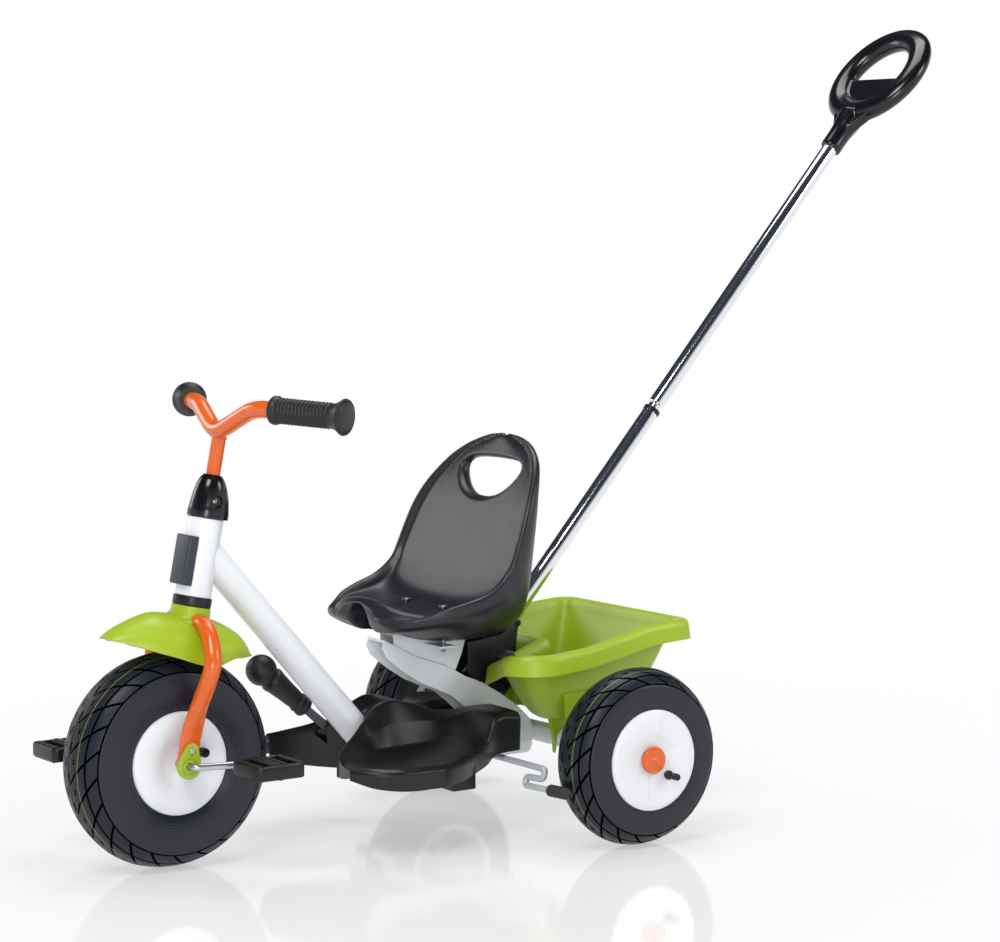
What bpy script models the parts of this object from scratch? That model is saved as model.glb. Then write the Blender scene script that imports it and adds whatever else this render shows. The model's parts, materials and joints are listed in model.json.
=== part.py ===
"""A child's pedal tricycle with a tipping bucket and a telescopic push bar.

The tricycle points along +X, its left side is +Y and up is +Z, all in metres. Places are worked
out from the ground below the middle of the rear axle, and AXLE_X then puts the origin under the
middle of the whole tricycle. Each piece is its own object. A moving piece hangs on an empty that
lies on the axis it moves about.
"""

import math

import bmesh
import bpy
from mathutils import Matrix, Vector

# Fits
GAP = 0.0003
RUNNING = 0.0004
SKIN = 0.0025

# Wheels
WHEELBASE = 0.532
TRACK = 0.4514
FRONT_TYRE_R = 0.130
FRONT_TYRE_W = 0.084
REAR_TYRE_R = 0.1099
REAR_TYRE_W = 0.069
TYRE_WALL = 0.006
RIM_R = 0.0623
RIM_W = 0.072
RIM_SEAT_DEPTH = 0.006
RIM_LIP = 0.0025
RIM_WALL = 0.003
HUB_R = 0.0125
RIM_RIBS = 6
VALVE_R = 0.003
VALVE_RING = 0.031
FRONT_VALVE_OUT = 0.0080
REAR_VALVE_OUT = 0.0160
VALVE_CAP_GRIP = 0.0062
TUBE_WALL = 0.0015

# Rear axle
AXLE_ROD_R = 0.005
AXLE_TUBE_R = 0.013
AXLE_END_GAP = 0.0022
AXLE_TUBE_WALL = 0.002
HUB_CAP_R = 0.0165
HUB_CAP_DEPTH = 0.013
HUB_SINK = 0.0025
AXLE_TUBE_HALF = (TRACK - RIM_W) / 2 + HUB_SINK - AXLE_END_GAP

# Steering
RAKE = math.radians(11.5)
HEAD_LOW = 0.197
HEAD_HIGH = 0.292
HEAD_R = 0.0219
HEAD_WALL = 0.0032
STEERER_R = 0.013
STEM_R = 0.00875
STEM_FOOT = 0.262
LOWER_RING_R = 0.0235
LOWER_RING_LOW = 0.1857
CAP_TOP = 0.344
CAP_BASE_R = 0.023
CAP_TOP_R = 0.0118
BAR_R = 0.0105
BAR_JOINT = 0.397
GRIP_IN = Vector((-0.0111, 0.1026, 0.4301))
GRIP_OUT = Vector((-0.0534, 0.1874, 0.4337))
GRIP_R = 0.0158
GRIP_COLLAR_R = 0.0178
GRIP_END_R = 0.0205
BLOCK_LOW = 0.209
BLOCK_HIGH = 0.2685
BLOCK_FACE = 0.0363
BLOCK_HALF_W = 0.0215

# Fork and pedals
FORK_R = 0.0105
CROWN_S = 0.1690
BLADE_Y = 0.0515
BLADE_T = 0.007
BLADE_W = 0.027
BEARING_R = 0.0155
BEARING_T = 0.005
BEARING_TOP = 0.0275
CRANK_R = 0.00425
CRANK_ARM = 0.070
CRANK_BEND_Y = 0.0695
CRANK_OUT_Y = 0.084
SPINDLE_END = 0.152
PEDAL_IN = 0.0915
PEDAL_OUT = 0.157
PEDAL_L = 0.066
PEDAL_T = 0.020
FENDER_WALL = 0.0025
COLLAR_R = 0.024

# Frame
MAIN_TUBE_R = 0.019
MAIN_TUBE_WALL = 0.002
MAIN_TUBE_HEAD_S = 0.2579
MAIN_TUBE_FOOT = Vector((0.2613, 0.0, 0.1304))
SPINE_Z = 0.100
BEAM_HALF_W = 0.020
BEAM_WALL = 0.0025
SUPPORT_HALF_W = 0.0165
STRAP_HALF_W = 0.055
SEAT_SCREW_X = 0.164
SEAT_SCREW_Y = 0.043
SEAT_SCREW_R = 0.0025

# Push bar: it lies in the middle plane, BAR_FOOT is its zero and it leans back by BAR_ANGLE
BAR_FOOT = Vector((-0.0172, 0.0, 0.3155))
BAR_ANGLE = math.radians(48.52)
PUSH_R = 0.01075
PUSH_WALL = 0.0015
NECK_R = 0.0085
LOWER_BAR_LOW = -0.160
LOWER_BAR_HIGH = 0.262
UPPER_BAR_LOW = 0.2765
NECK_DEPTH = 0.110
UPPER_BAR_HIGH = 0.770
PIN_T = -0.0815
PIN_R = 0.003
RING_T = 0.858
RING_R = 0.066
RING_HALF_WIDE = 0.017
RING_HALF_THICK = 0.013
SOCKET_LOW = 0.7241
SOCKET_R = 0.0145
WEB_TOP = 0.8507
WEB_THICK = 0.007

# Brake
LEVER_Y = -0.040
LEVER_PIVOT = Vector((0.260, LEVER_Y, 0.115))
LEVER_ANGLE = math.radians(41.0)
LEVER_LONG = 0.156
LEVER_SHORT = 0.0095
LEVER_SWING = math.radians(18.0)
STRIP_W = 0.012
STRIP_T = 0.004
KNOB_R = 0.0195
BRAKE_BAR = Vector((0.108, 0.0, 0.0985))
BRAKE_WIRE_R = 0.004
BRAKE_ARM = 0.018
BRAKE_ARM_ANGLE = math.radians(53.13)
ROD_R = 0.0022
ROD_Y = -0.0485
PAD_R = 0.0075

# Bucket
BUCKET_REAR = -0.156
BUCKET_FRONT = 0.105
BUCKET_HALF_W = 0.137
BUCKET_WALL = 0.0025
BUCKET_FLOOR = 0.137
SKIRT = 0.023
NOTCH_HALF_W = 0.031
LUG_T = 0.005

RING_STEPS = 18
RIM_STEPS = 18
AIR_TUBE_STEPS = 12
FRONT_TYRE_STEPS = 28
REAR_TYRE_STEPS = 24
BEAD_GAP = 0.0008
TREAD_FLAT = 0.020

FORWARD = Vector((1.0, 0.0, 0.0))
LEFT = Vector((0.0, 1.0, 0.0))
UP = Vector((0.0, 0.0, 1.0))

STEER_UP = Vector((-math.sin(RAKE), 0.0, math.cos(RAKE)))
STEER_FORWARD = Vector((math.cos(RAKE), 0.0, math.sin(RAKE)))
PUSH_UP = Vector((-math.cos(BAR_ANGLE), 0.0, math.sin(BAR_ANGLE)))
PUSH_BACK = Vector((math.sin(BAR_ANGLE), 0.0, math.cos(BAR_ANGLE)))

# The origin lies under the middle of the length, from the front tyre back to the handle's ring
RING_TOP = BAR_FOOT + PUSH_UP * (RING_T + RING_R)
RING_BACK = math.hypot(RING_HALF_WIDE * PUSH_UP.x, RING_HALF_THICK * PUSH_BACK.x)
AXLE_X = -(WHEELBASE + FRONT_TYRE_R + RING_TOP.x - RING_BACK) / 2.0


def at(x, y, z):
    """A place given from the ground below the rear axle."""
    return Vector((x + AXLE_X, y, z))


def steer(forward, left, up):
    """A place given from the front hub, along the leaning steering axis."""
    hub = at(WHEELBASE, 0.0, FRONT_TYRE_R)
    return hub + STEER_FORWARD * forward + LEFT * left + STEER_UP * up


def push(along, left=0.0, back=0.0):
    """A place given along the push bar, from its zero."""
    foot = at(BAR_FOOT.x, BAR_FOOT.y, BAR_FOOT.z)
    return foot + PUSH_UP * along + LEFT * left + PUSH_BACK * back


def clear_scene():
    """Remove every object that is in the scene."""
    for obj in list(bpy.data.objects):
        bpy.data.objects.remove(obj, do_unlink=True)


def new_collection(name):
    """Make a collection in the scene."""
    collection = bpy.data.collections.new(name)
    bpy.context.scene.collection.children.link(collection)
    return collection


def finish(name, colour, roughness, metallic=0.0):
    """Make a plain Principled material."""
    material = bpy.data.materials.new(name)
    material.use_nodes = True
    shader = material.node_tree.nodes["Principled BSDF"]
    shader.inputs["Base Color"].default_value = (*colour, 1.0)
    shader.inputs["Roughness"].default_value = roughness
    shader.inputs["Metallic"].default_value = metallic
    return material


clear_scene()
PARTS = new_collection("tricycle")
CUTTERS = new_collection("cutters")

WHITE_PAINT = (0.80, 0.81, 0.82)
ORANGE = (0.82, 0.15, 0.02)
LIME = (0.38, 0.56, 0.02)
CHARCOAL = (0.03, 0.032, 0.036)
DARK_GREY = (0.06, 0.065, 0.07)
CHROME_TONE = (0.75, 0.76, 0.78)
STEEL_TONE = (0.55, 0.56, 0.57)


def add_object(name, mesh, material=None):
    """Put a mesh in the parts, or in the cutters where it has no material."""
    obj = bpy.data.objects.new(name, mesh)
    if material is None:
        CUTTERS.objects.link(obj)
        obj.hide_render = True
        obj.display_type = "WIRE"
    else:
        PARTS.objects.link(obj)
        mesh.materials.append(material)
    return obj


def mesh_from(name, bm, smooth=True):
    """Turn a bmesh into a mesh."""
    mesh = bpy.data.meshes.new(name)
    bm.to_mesh(mesh)
    bm.free()
    if smooth:
        mesh.shade_smooth()
        mesh.set_sharp_from_angle(angle=math.radians(35.0))
    return mesh


def facing(origin, axis, guide=FORWARD):
    """A frame at origin whose Z is the axis, with X as near as may be to the guide."""
    z_axis = axis.normalized()
    x_axis = guide - z_axis * guide.dot(z_axis)
    if x_axis.length < 1e-6:
        x_axis = UP - z_axis * UP.dot(z_axis)
    x_axis.normalize()
    y_axis = z_axis.cross(x_axis)
    turned_axes = Matrix((x_axis, y_axis, z_axis)).transposed().to_4x4()
    return Matrix.Translation(origin) @ turned_axes


def turned(name, profile, origin, axis, steps, material=None, guide=FORWARD):
    """Turn a profile of (radius, height) points about an axis."""
    signed_area = 0.0
    for (r0, h0), (r1, h1) in zip(profile, profile[1:] + profile[:1]):
        signed_area += r0 * h1 - r1 * h0
    points = profile if signed_area < 0.0 else profile[::-1]
    bm = bmesh.new()
    verts = [bm.verts.new((radius, 0.0, height)) for radius, height in points]
    for start, end in zip(verts, verts[1:]):
        bm.edges.new((start, end))
    if points[0][0] > 1e-9 or points[-1][0] > 1e-9:
        bm.edges.new((verts[-1], verts[0]))
    obj = add_object(name, mesh_from(name, bm, smooth=False), material)
    obj.matrix_world = facing(origin, axis, guide)
    screw = obj.modifiers.new("Turn", "SCREW")
    screw.axis = "Z"
    screw.angle = math.tau
    screw.steps = steps
    screw.render_steps = steps
    screw.use_merge_vertices = True
    screw.merge_threshold = 0.00001
    screw.use_smooth_shade = True
    return obj


def rod(name, start, end, radius, steps=12, material=None):
    """A plain round bar from start to end."""
    length = (end - start).length
    profile = [(0.0, length), (radius, length), (radius, 0.0), (0.0, 0.0)]
    return turned(name, profile, start, end - start, steps, material)


def bent(points, radius, steps=3):
    """Round each inner corner of a path to a bend."""
    path = [points[0]]
    for before, corner, after in zip(points, points[1:], points[2:]):
        back = before - corner
        ahead = after - corner
        half = back.angle(ahead) / 2.0
        reach = min(radius / math.tan(half), 0.45 * back.length, 0.45 * ahead.length)
        start = corner + back.normalized() * reach
        end = corner + ahead.normalized() * reach
        for step in range(steps + 1):
            t = step / steps
            path.append(start * (1 - t) ** 2 + corner * (2 * t * (1 - t)) + end * t ** 2)
    path.append(points[-1])
    return path


def pipe(name, path, radius, material=None, roundness=3, taper=None):
    """A round wire or tube along a path, as a welded mesh with filled ends."""
    curve = bpy.data.curves.new(name, "CURVE")
    curve.dimensions = "3D"
    curve.bevel_depth = radius
    curve.bevel_resolution = roundness
    curve.use_fill_caps = True
    spline = curve.splines.new("POLY")
    spline.points.add(len(path) - 1)
    for index, place in enumerate(path):
        spline.points[index].co = (*place, 1.0)
        spline.points[index].radius = taper[index] if taper else 1.0
    draft = bpy.data.objects.new(name + "_curve", curve)
    CUTTERS.objects.link(draft)
    bpy.context.view_layer.update()
    evaluated = draft.evaluated_get(bpy.context.evaluated_depsgraph_get())
    mesh = bpy.data.meshes.new_from_object(evaluated)
    bpy.data.objects.remove(draft, do_unlink=True)
    bm = bmesh.new()
    bm.from_mesh(mesh)
    bmesh.ops.remove_doubles(bm, verts=bm.verts, dist=0.00002)
    bmesh.ops.recalc_face_normals(bm, faces=bm.faces)
    bpy.data.meshes.remove(mesh)
    return add_object(name, mesh_from(name, bm), material)


def prism(name, outline, thick, frame, material=None):
    """A flat outline, half its thickness to each side of the frame's XY plane."""
    curve = bpy.data.curves.new(name, "CURVE")
    curve.dimensions = "2D"
    curve.fill_mode = "BOTH"
    curve.extrude = thick / 2.0
    spline = curve.splines.new("POLY")
    spline.points.add(len(outline) - 1)
    for point, (u, v) in zip(spline.points, outline):
        point.co = (u, v, 0.0, 1.0)
    spline.use_cyclic_u = True
    draft = bpy.data.objects.new(name + "_curve", curve)
    CUTTERS.objects.link(draft)
    bpy.context.view_layer.update()
    evaluated = draft.evaluated_get(bpy.context.evaluated_depsgraph_get())
    mesh = bpy.data.meshes.new_from_object(evaluated)
    bpy.data.objects.remove(draft, do_unlink=True)
    bm = bmesh.new()
    bm.from_mesh(mesh)
    bmesh.ops.remove_doubles(bm, verts=bm.verts, dist=0.00002)
    bmesh.ops.recalc_face_normals(bm, faces=bm.faces)
    bpy.data.meshes.remove(mesh)
    obj = add_object(name, mesh_from(name, bm), material)
    obj.matrix_world = frame
    return obj


def side_frame(y):
    """The frame of a side view at y: u runs along X and v along Z, from the ground at the axle."""
    origin = at(0.0, y, 0.0)
    axes = Matrix((FORWARD, UP, -LEFT)).transposed().to_4x4()
    return Matrix.Translation(origin) @ axes


def steer_frame(y):
    """The frame of a side view at y, from the front hub along the steering axis."""
    axes = Matrix((STEER_FORWARD, STEER_UP, -LEFT)).transposed().to_4x4()
    return Matrix.Translation(steer(0.0, y, 0.0)) @ axes


def arc(centre, radius, start, end, steps):
    """Points on an arc, with angles in degrees."""
    points = []
    for step in range(steps + 1):
        angle = math.radians(start + (end - start) * step / steps)
        points.append((centre[0] + radius * math.cos(angle), centre[1] + radius * math.sin(angle)))
    return points


def block(name, size, centre, material=None, axes=None, bevel=0.0):
    """A box of a size, with its edges rounded where a bevel is given."""
    bm = bmesh.new()
    bmesh.ops.create_cube(bm, size=1.0)
    bmesh.ops.scale(bm, vec=size, verts=bm.verts)
    if bevel > 0.0:
        bmesh.ops.bevel(bm, geom=list(bm.edges), offset=bevel, segments=2, profile=0.5,
                        affect="EDGES", material=-1)
    obj = add_object(name, mesh_from(name, bm), material)
    turn = axes.to_4x4() if axes else Matrix.Identity(4)
    obj.matrix_world = Matrix.Translation(centre) @ turn
    return obj


def loft(name, rings, material=None, closed=True, start_cap=True, end_cap=True):
    """Skin a row of rings, each with the same number of points."""
    bm = bmesh.new()
    rows = [[bm.verts.new(place) for place in ring] for ring in rings]
    count = len(rings[0])
    spans = count if closed else count - 1
    for row, following in zip(rows, rows[1:]):
        for index in range(spans):
            other = (index + 1) % count
            bm.faces.new((row[index], row[other], following[other], following[index]))
    if start_cap:
        bm.faces.new(rows[0][::-1])
    if end_cap:
        bm.faces.new(rows[-1])
    bmesh.ops.remove_doubles(bm, verts=bm.verts, dist=0.00001)
    bmesh.ops.recalc_face_normals(bm, faces=bm.faces)
    return add_object(name, mesh_from(name, bm), material)


def boolean(obj, other, operation):
    """Cut another object from this one, or join it on."""
    modifier = obj.modifiers.new(operation.title() + " " + other.name, "BOOLEAN")
    modifier.operation = operation
    modifier.solver = "EXACT"
    modifier.object = other


def cut(obj, *cutters):
    """Cut each cutter out of a piece."""
    for cutter in cutters:
        boolean(obj, cutter, "DIFFERENCE")


def weld(obj, *others):
    """Join each other shape to a piece."""
    for other in others:
        boolean(obj, other, "UNION")


def shell(obj, thick, offset=-1.0):
    """Give an open or closed skin its wall."""
    modifier = obj.modifiers.new("Wall", "SOLIDIFY")
    modifier.thickness = thick
    modifier.offset = offset
    modifier.use_even_offset = True
    modifier.use_quality_normals = True


def pivot(name, place, axis=UP, parent=None):
    """An empty on a joint's axis, with its Z along that axis."""
    empty = bpy.data.objects.new(name, None)
    PARTS.objects.link(empty)
    empty.empty_display_size = 0.02
    world = facing(place, axis)
    empty.matrix_world = world
    if parent is not None:
        empty.parent = parent
        empty.matrix_parent_inverse = parent.matrix_world.inverted()
        empty.matrix_world = world
    bpy.context.view_layer.update()
    return empty


def carry(empty, *objects):
    """Hang pieces, and what cuts or joins them alone, on an empty, where they are."""
    bpy.context.view_layer.update()
    for obj in objects:
        if obj.parent is not None:
            continue
        obj.parent = empty
        obj.matrix_parent_inverse = empty.matrix_world.inverted()
        for modifier in obj.modifiers:
            if modifier.type == "BOOLEAN":
                carry(empty, modifier.object)


# Shared lines of the frame

def main_tube_path():
    """The main tube's line, from inside the head tube down and back to the rear axle tube."""
    top = Vector((WHEELBASE, 0.0, FRONT_TYRE_R)) + STEER_UP * MAIN_TUBE_HEAD_S
    run = top - MAIN_TUBE_FOOT
    corner = MAIN_TUBE_FOOT - run * ((MAIN_TUBE_FOOT.z - SPINE_Z) / run.z)
    rear = Vector((AXLE_TUBE_R, 0.0, SPINE_Z))
    return [at(*place) for place in bent([top, corner, rear], 0.060, 4)]


def fat_main_tube(name):
    """The room that other pieces leave for the main tube."""
    path = main_tube_path()
    return pipe(name, path, MAIN_TUBE_R + 1.3 * GAP, roundness=3)


def fat_axle_tube(name):
    """The room that other pieces leave for the rear axle tube."""
    half = LEFT * 0.16
    centre = at(0.0, 0.0, REAR_TYRE_R)
    return rod(name, centre - half, centre + half, AXLE_TUBE_R + 2 * GAP, 16)


BEAM_TOP = [(0.2355, 0.2490), (0.2180, 0.2400), (0.1901, 0.2245), (0.1424, 0.2080),
            (0.1153, 0.1925), (0.0926, 0.1840), (0.0634, 0.1665), (0.0364, 0.1475),
            (0.0190, 0.1310), (0.0125, 0.1180)]
BEAM_LOW = [(0.0135, 0.1040), (0.0800, 0.1040), (0.0880, 0.1290), (0.0960, 0.1385),
            (0.1071, 0.1438), (0.1200, 0.1558), (0.1381, 0.1705), (0.1545, 0.1777),
            (0.1837, 0.1907), (0.2100, 0.2079), (0.2320, 0.2256), (0.2393, 0.2390)]


def beam_top_z(x):
    """The height of the seat beam's top at x."""
    points = sorted(BEAM_TOP)
    for (x0, z0), (x1, z1) in zip(points, points[1:]):
        if x0 <= x <= x1:
            return z0 + (z1 - z0) * (x - x0) / (x1 - x0)
    return points[-1][1]


# Seat stations from the front edge to the top: inner middle (x, z), rim (x, y, z), outer middle
SEAT_STATIONS = [
    ((0.2635, 0.2965), (0.2670, 0.0560, 0.2845), (0.2600, 0.2700)),
    ((0.2505, 0.3020), (0.2555, 0.0850, 0.2815), (0.2480, 0.2600)),
    ((0.2350, 0.2955), (0.2330, 0.1075, 0.2865), (0.2300, 0.2575)),
    ((0.2120, 0.2885), (0.2140, 0.1205, 0.2945), (0.2080, 0.2525)),
    ((0.1850, 0.2840), (0.1880, 0.1295, 0.3025), (0.1800, 0.2450)),
    ((0.1600, 0.2845), (0.1600, 0.1345, 0.3105), (0.1450, 0.2400)),
    ((0.1435, 0.2945), (0.1400, 0.1354, 0.3225), (0.1050, 0.2395)),
    ((0.1315, 0.3130), (0.1290, 0.1345, 0.3345), (0.0700, 0.2460)),
    ((0.1205, 0.3360), (0.1200, 0.1362, 0.3505), (0.0530, 0.2750)),
    ((0.0980, 0.3850), (0.1010, 0.1318, 0.3960), (0.0490, 0.3600)),
    ((0.0810, 0.4215), (0.0845, 0.1210, 0.4285), (0.0478, 0.4110)),
    ((0.0640, 0.4540), (0.0640, 0.1000, 0.4600), (0.0450, 0.4500)),
    ((0.0545, 0.4720), (0.0520, 0.0760, 0.4780), (0.0405, 0.4720)),
    ((0.0485, 0.4845), (0.0445, 0.0500, 0.4890), (0.0365, 0.4840)),
    ((0.0450, 0.4915), (0.0425, 0.0250, 0.4955), (0.0355, 0.4905)),
]
SEAT_ARCH_R = 0.0215
SEAT_BACK_SQUARE = 0.78
SEAT_GRIP = (0.0600, 0.0, 0.4445)
SEAT_GRIP_HALF_W = 0.048
SEAT_GRIP_HIGH = 0.034
SEAT_GRIP_LOW = 0.023
SEAT_GRIP_POCKET = 0.012
SEAT_GRIP_STEP = 0.004
SEAT_GRIP_PLANE = 0.001


def grip_outline(half_w, high, low):
    """The outline of the seat's handle hole, rounder at its top corners."""
    above, below = 0.013, 0.011
    outline = arc((half_w - above, high - above), above, 0, 90, 3)
    outline += arc((above - half_w, high - above), above, 90, 180, 3)
    outline += arc((below - half_w, below - low), below, 180, 270, 3)
    return outline + arc((half_w - below, below - low), below, 270, 360, 3)


def seat_ring(station):
    """One closed section of the seat: the bowl, over the rolled rim and round the back."""
    inner, rim, outer = station
    middle = Vector((inner[0], 0.0, inner[1]))
    crest = Vector(rim)
    base = Vector((outer[0], 0.0, outer[1]))
    down = (base - middle).normalized()
    roll = min(0.014, 0.35 * crest.y)
    inside = crest - LEFT * roll + down * 0.006
    peak = crest - LEFT * (roll * 0.45)
    outside = crest + down * 0.008
    half = [middle]
    for t in (0.42, 0.76):
        side = math.sin(t * math.pi / 2) ** 0.9
        rise = 1.0 - math.cos(t * math.pi / 2) ** 0.9
        flat = middle + (inside - middle) * rise
        half.append(Vector((flat.x, inside.y * side, flat.z)))
    half += [inside, peak, outside]
    for t in (0.36, 0.64):
        side = math.cos(t * math.pi / 2) ** SEAT_BACK_SQUARE
        drop = math.sin(t * math.pi / 2) ** SEAT_BACK_SQUARE
        flat = outside + (base - outside) * drop
        half.append(Vector((flat.x, outside.y * side, flat.z)))
    half.append(base)
    mirrored = [Vector((place.x, -place.y, place.z)) for place in half[-2:0:-1]]
    return [at(*place) for place in half + mirrored]


def make_frame(finishes):
    """The welded steel frame with its brackets and bearings."""
    white, black, grey, steel = finishes
    head = turned("head_tube", [(HEAD_R - HEAD_WALL, HEAD_HIGH), (HEAD_R, HEAD_HIGH), (HEAD_R, HEAD_LOW),
                                (HEAD_R - HEAD_WALL, HEAD_LOW)],
                  steer(0, 0, 0), STEER_UP, RING_STEPS, white)

    path = main_tube_path()
    tube = pipe("main_tube", path, MAIN_TUBE_R, white, roundness=3)
    long_path = [path[0] + (path[0] - path[1])] + path[1:-1] + [path[-1] - FORWARD * 0.02]
    cut(tube, pipe("main_tube_bore", long_path, MAIN_TUBE_R - MAIN_TUBE_WALL, roundness=3))
    cut(tube, rod("head_room", steer(0, 0, 0.12), steer(0, 0, 0.50), HEAD_R + GAP, RING_STEPS))
    cut(tube, rod("brake_bar_room", at(BRAKE_BAR.x, -0.03, BRAKE_BAR.z),
                  at(BRAKE_BAR.x, 0.03, BRAKE_BAR.z), BRAKE_WIRE_R + RUNNING, 12))
    cut(tube, fat_axle_tube("main_tube_axle_room"))

    beam = prism("seat_beam", BEAM_TOP + BEAM_LOW, 2 * BEAM_HALF_W, side_frame(0), white)
    hollow = [(x + BEAM_WALL * 0.5, z - BEAM_WALL * 1.2) for x, z in BEAM_TOP[:-2]]
    hollow += [(0.0160, 0.1270), (0.0160, 0.0900), (0.2700, 0.0900), (0.2700, 0.2450)]
    cut(beam, prism("beam_hollow", hollow, 2 * (BEAM_HALF_W - BEAM_WALL), side_frame(0)))
    cut(beam, fat_main_tube("beam_spine_room"), fat_axle_tube("beam_axle_room"))

    top = [(x, z - 1.6 * GAP) for x, z in seat_bottom_line(0.114, 0.2202)]
    low = [(x, beam_top_z(x) + GAP) for x in (0.2202, 0.1901, 0.1424, 0.1290)]
    support = prism("seat_support", top + low + [(0.1190, 0.2230)], 2 * SUPPORT_HALF_W,
                    side_frame(0), white)
    inner_low = min(z for _, z in low) - 0.01
    pocket = [(x, z - SKIN) for x, z in seat_bottom_line(0.118, 0.2202)]
    pocket += [(0.2400, pocket[-1][1]), (0.2400, inner_low), (0.1180, inner_low)]
    strap_z = min(z for _, z in seat_bottom_line(0.150, 0.172)) - 3 * GAP - SKIN / 2
    cut(support, prism("support_hollow", pocket, 2 * (SUPPORT_HALF_W - SKIN), side_frame(0)))
    strap = block("support_strap", (0.022, 2 * STRAP_HALF_W, SKIN), at(SEAT_SCREW_X, 0, strap_z))
    weld(support, strap)
    for side, label in ((1, "left"), (-1, "right")):
        hole = rod("strap_hole_" + label, at(SEAT_SCREW_X, side * SEAT_SCREW_Y, strap_z - 0.01),
                   at(SEAT_SCREW_X, side * SEAT_SCREW_Y, strap_z + 0.01), SEAT_SCREW_R + GAP, 10)
        cut(support, hole)

    inner = AXLE_TUBE_R - AXLE_TUBE_WALL
    end = AXLE_TUBE_HALF
    neck = end - 0.015
    bore = AXLE_ROD_R + GAP
    axle_tube = turned("rear_axle_tube",
                       [(bore, end), (AXLE_TUBE_R, end), (AXLE_TUBE_R, -end), (bore, -end),
                        (bore, -neck), (inner, -neck), (inner, neck), (bore, neck)],
                       at(0, 0, REAR_TYRE_R), LEFT, 16, white)
    tip = TRACK / 2 + RIM_W / 2 + 0.0015
    axle = rod("rear_axle", at(0, -tip, REAR_TYRE_R), at(0, tip, REAR_TYRE_R), AXLE_ROD_R, 12, steel)

    lower = turned("lower_head_bearing",
                   [(STEERER_R + GAP, 0.216), (HEAD_R - HEAD_WALL - GAP, 0.216),
                    (HEAD_R - HEAD_WALL - GAP, HEAD_LOW - GAP), (LOWER_RING_R, HEAD_LOW - GAP),
                    (LOWER_RING_R, LOWER_RING_LOW), (STEERER_R + GAP, LOWER_RING_LOW)],
                   steer(0, 0, 0), STEER_UP, RING_STEPS, black)
    upper = turned("upper_head_bearing",
                   [(STEERER_R + GAP, HEAD_HIGH + 0.0035), (HEAD_R - 0.001, HEAD_HIGH + 0.0035),
                    (HEAD_R - 0.001, HEAD_HIGH + GAP), (HEAD_R - HEAD_WALL - GAP, HEAD_HIGH + GAP),
                    (HEAD_R - HEAD_WALL - GAP, 0.274), (STEERER_R + GAP, 0.274)],
                   steer(0, 0, 0), STEER_UP, RING_STEPS, black)

    side = [(0.0100, BLOCK_HALF_W - 0.001), (0.0158, BLOCK_HALF_W), (0.0240, 0.0180),
            (0.0320, 0.0110), (BLOCK_FACE, 0.0060)]
    outline = side + [(x, -y) for x, y in reversed(side)]
    middle_s = (BLOCK_LOW + BLOCK_HIGH) / 2
    across = Matrix((STEER_FORWARD, LEFT, STEER_UP)).transposed().to_4x4()
    badge = prism("head_block", outline, BLOCK_HIGH - BLOCK_LOW,
                  Matrix.Translation(steer(0, 0, middle_s)) @ across, grey)
    cut(badge, rod("block_head_room", steer(0, 0, 0.19), steer(0, 0, 0.30), HEAD_R + GAP, RING_STEPS))
    return [head, tube, beam, support, axle_tube, axle, lower, upper, badge]


def seat_bottom_line(low_x, high_x):
    """Points along the middle of the seat's underside between two places."""
    line = sorted(outer for _, _, outer in SEAT_STATIONS if outer[1] < 0.262)
    inside = [point for point in line if low_x < point[0] < high_x]
    ends = []
    for x in (low_x, high_x):
        for (x0, z0), (x1, z1) in zip(line, line[1:]):
            if x0 <= x <= x1:
                ends.append((x, z0 + (z1 - z0) * (x - x0) / (x1 - x0)))
    return [ends[0]] + inside + [ends[-1]]


def make_seat(black, steel):
    """The moulded double-walled seat and the two screws that hold it."""
    seat = loft("seat", [seat_ring(station) for station in SEAT_STATIONS], black)
    centre = at(*SEAT_GRIP)
    look = Vector((0.93, 0.0, 0.37)).normalized()
    rise = look.cross(LEFT) * -1.0
    tilt = Matrix((LEFT, rise, LEFT.cross(rise))).transposed().to_4x4()
    frame = Matrix.Translation(centre) @ tilt
    deep = 0.060
    pocket_frame = Matrix.Translation(centre - look * (SEAT_GRIP_PLANE + deep / 2)) @ tilt
    pocket = grip_outline(SEAT_GRIP_HALF_W + SEAT_GRIP_POCKET, SEAT_GRIP_HIGH - SEAT_GRIP_STEP,
                          SEAT_GRIP_LOW + SEAT_GRIP_STEP)
    cut(seat, prism("seat_handle_pocket", pocket, deep, pocket_frame))
    hole = grip_outline(SEAT_GRIP_HALF_W, SEAT_GRIP_HIGH, SEAT_GRIP_LOW)
    cut(seat, prism("seat_handle_hole", hole, 0.10, frame))
    cut(seat, rod("seat_front_arch", at(0.2200, 0, 0.2740), at(0.3000, 0, 0.2740), SEAT_ARCH_R, 16))
    shell(seat, 0.0028)
    screws = []
    for side, label in ((1, "left"), (-1, "right")):
        y = side * SEAT_SCREW_Y
        cut(seat, rod("seat_screw_hole_" + label, at(SEAT_SCREW_X, y, 0.225),
                      at(SEAT_SCREW_X, y, 0.300), SEAT_SCREW_R + RUNNING, 10))
        screws.append(turned("seat_screw_" + label,
                             [(0.0, 0.0613), (0.0035, 0.0613), (0.0060, 0.0590), (0.0060, 0.0570),
                              (SEAT_SCREW_R, 0.0570), (SEAT_SCREW_R, 0.0), (0.0, 0.0)],
                             at(SEAT_SCREW_X, y, 0.2315), UP, 12, steel))
    return [seat] + screws


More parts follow.
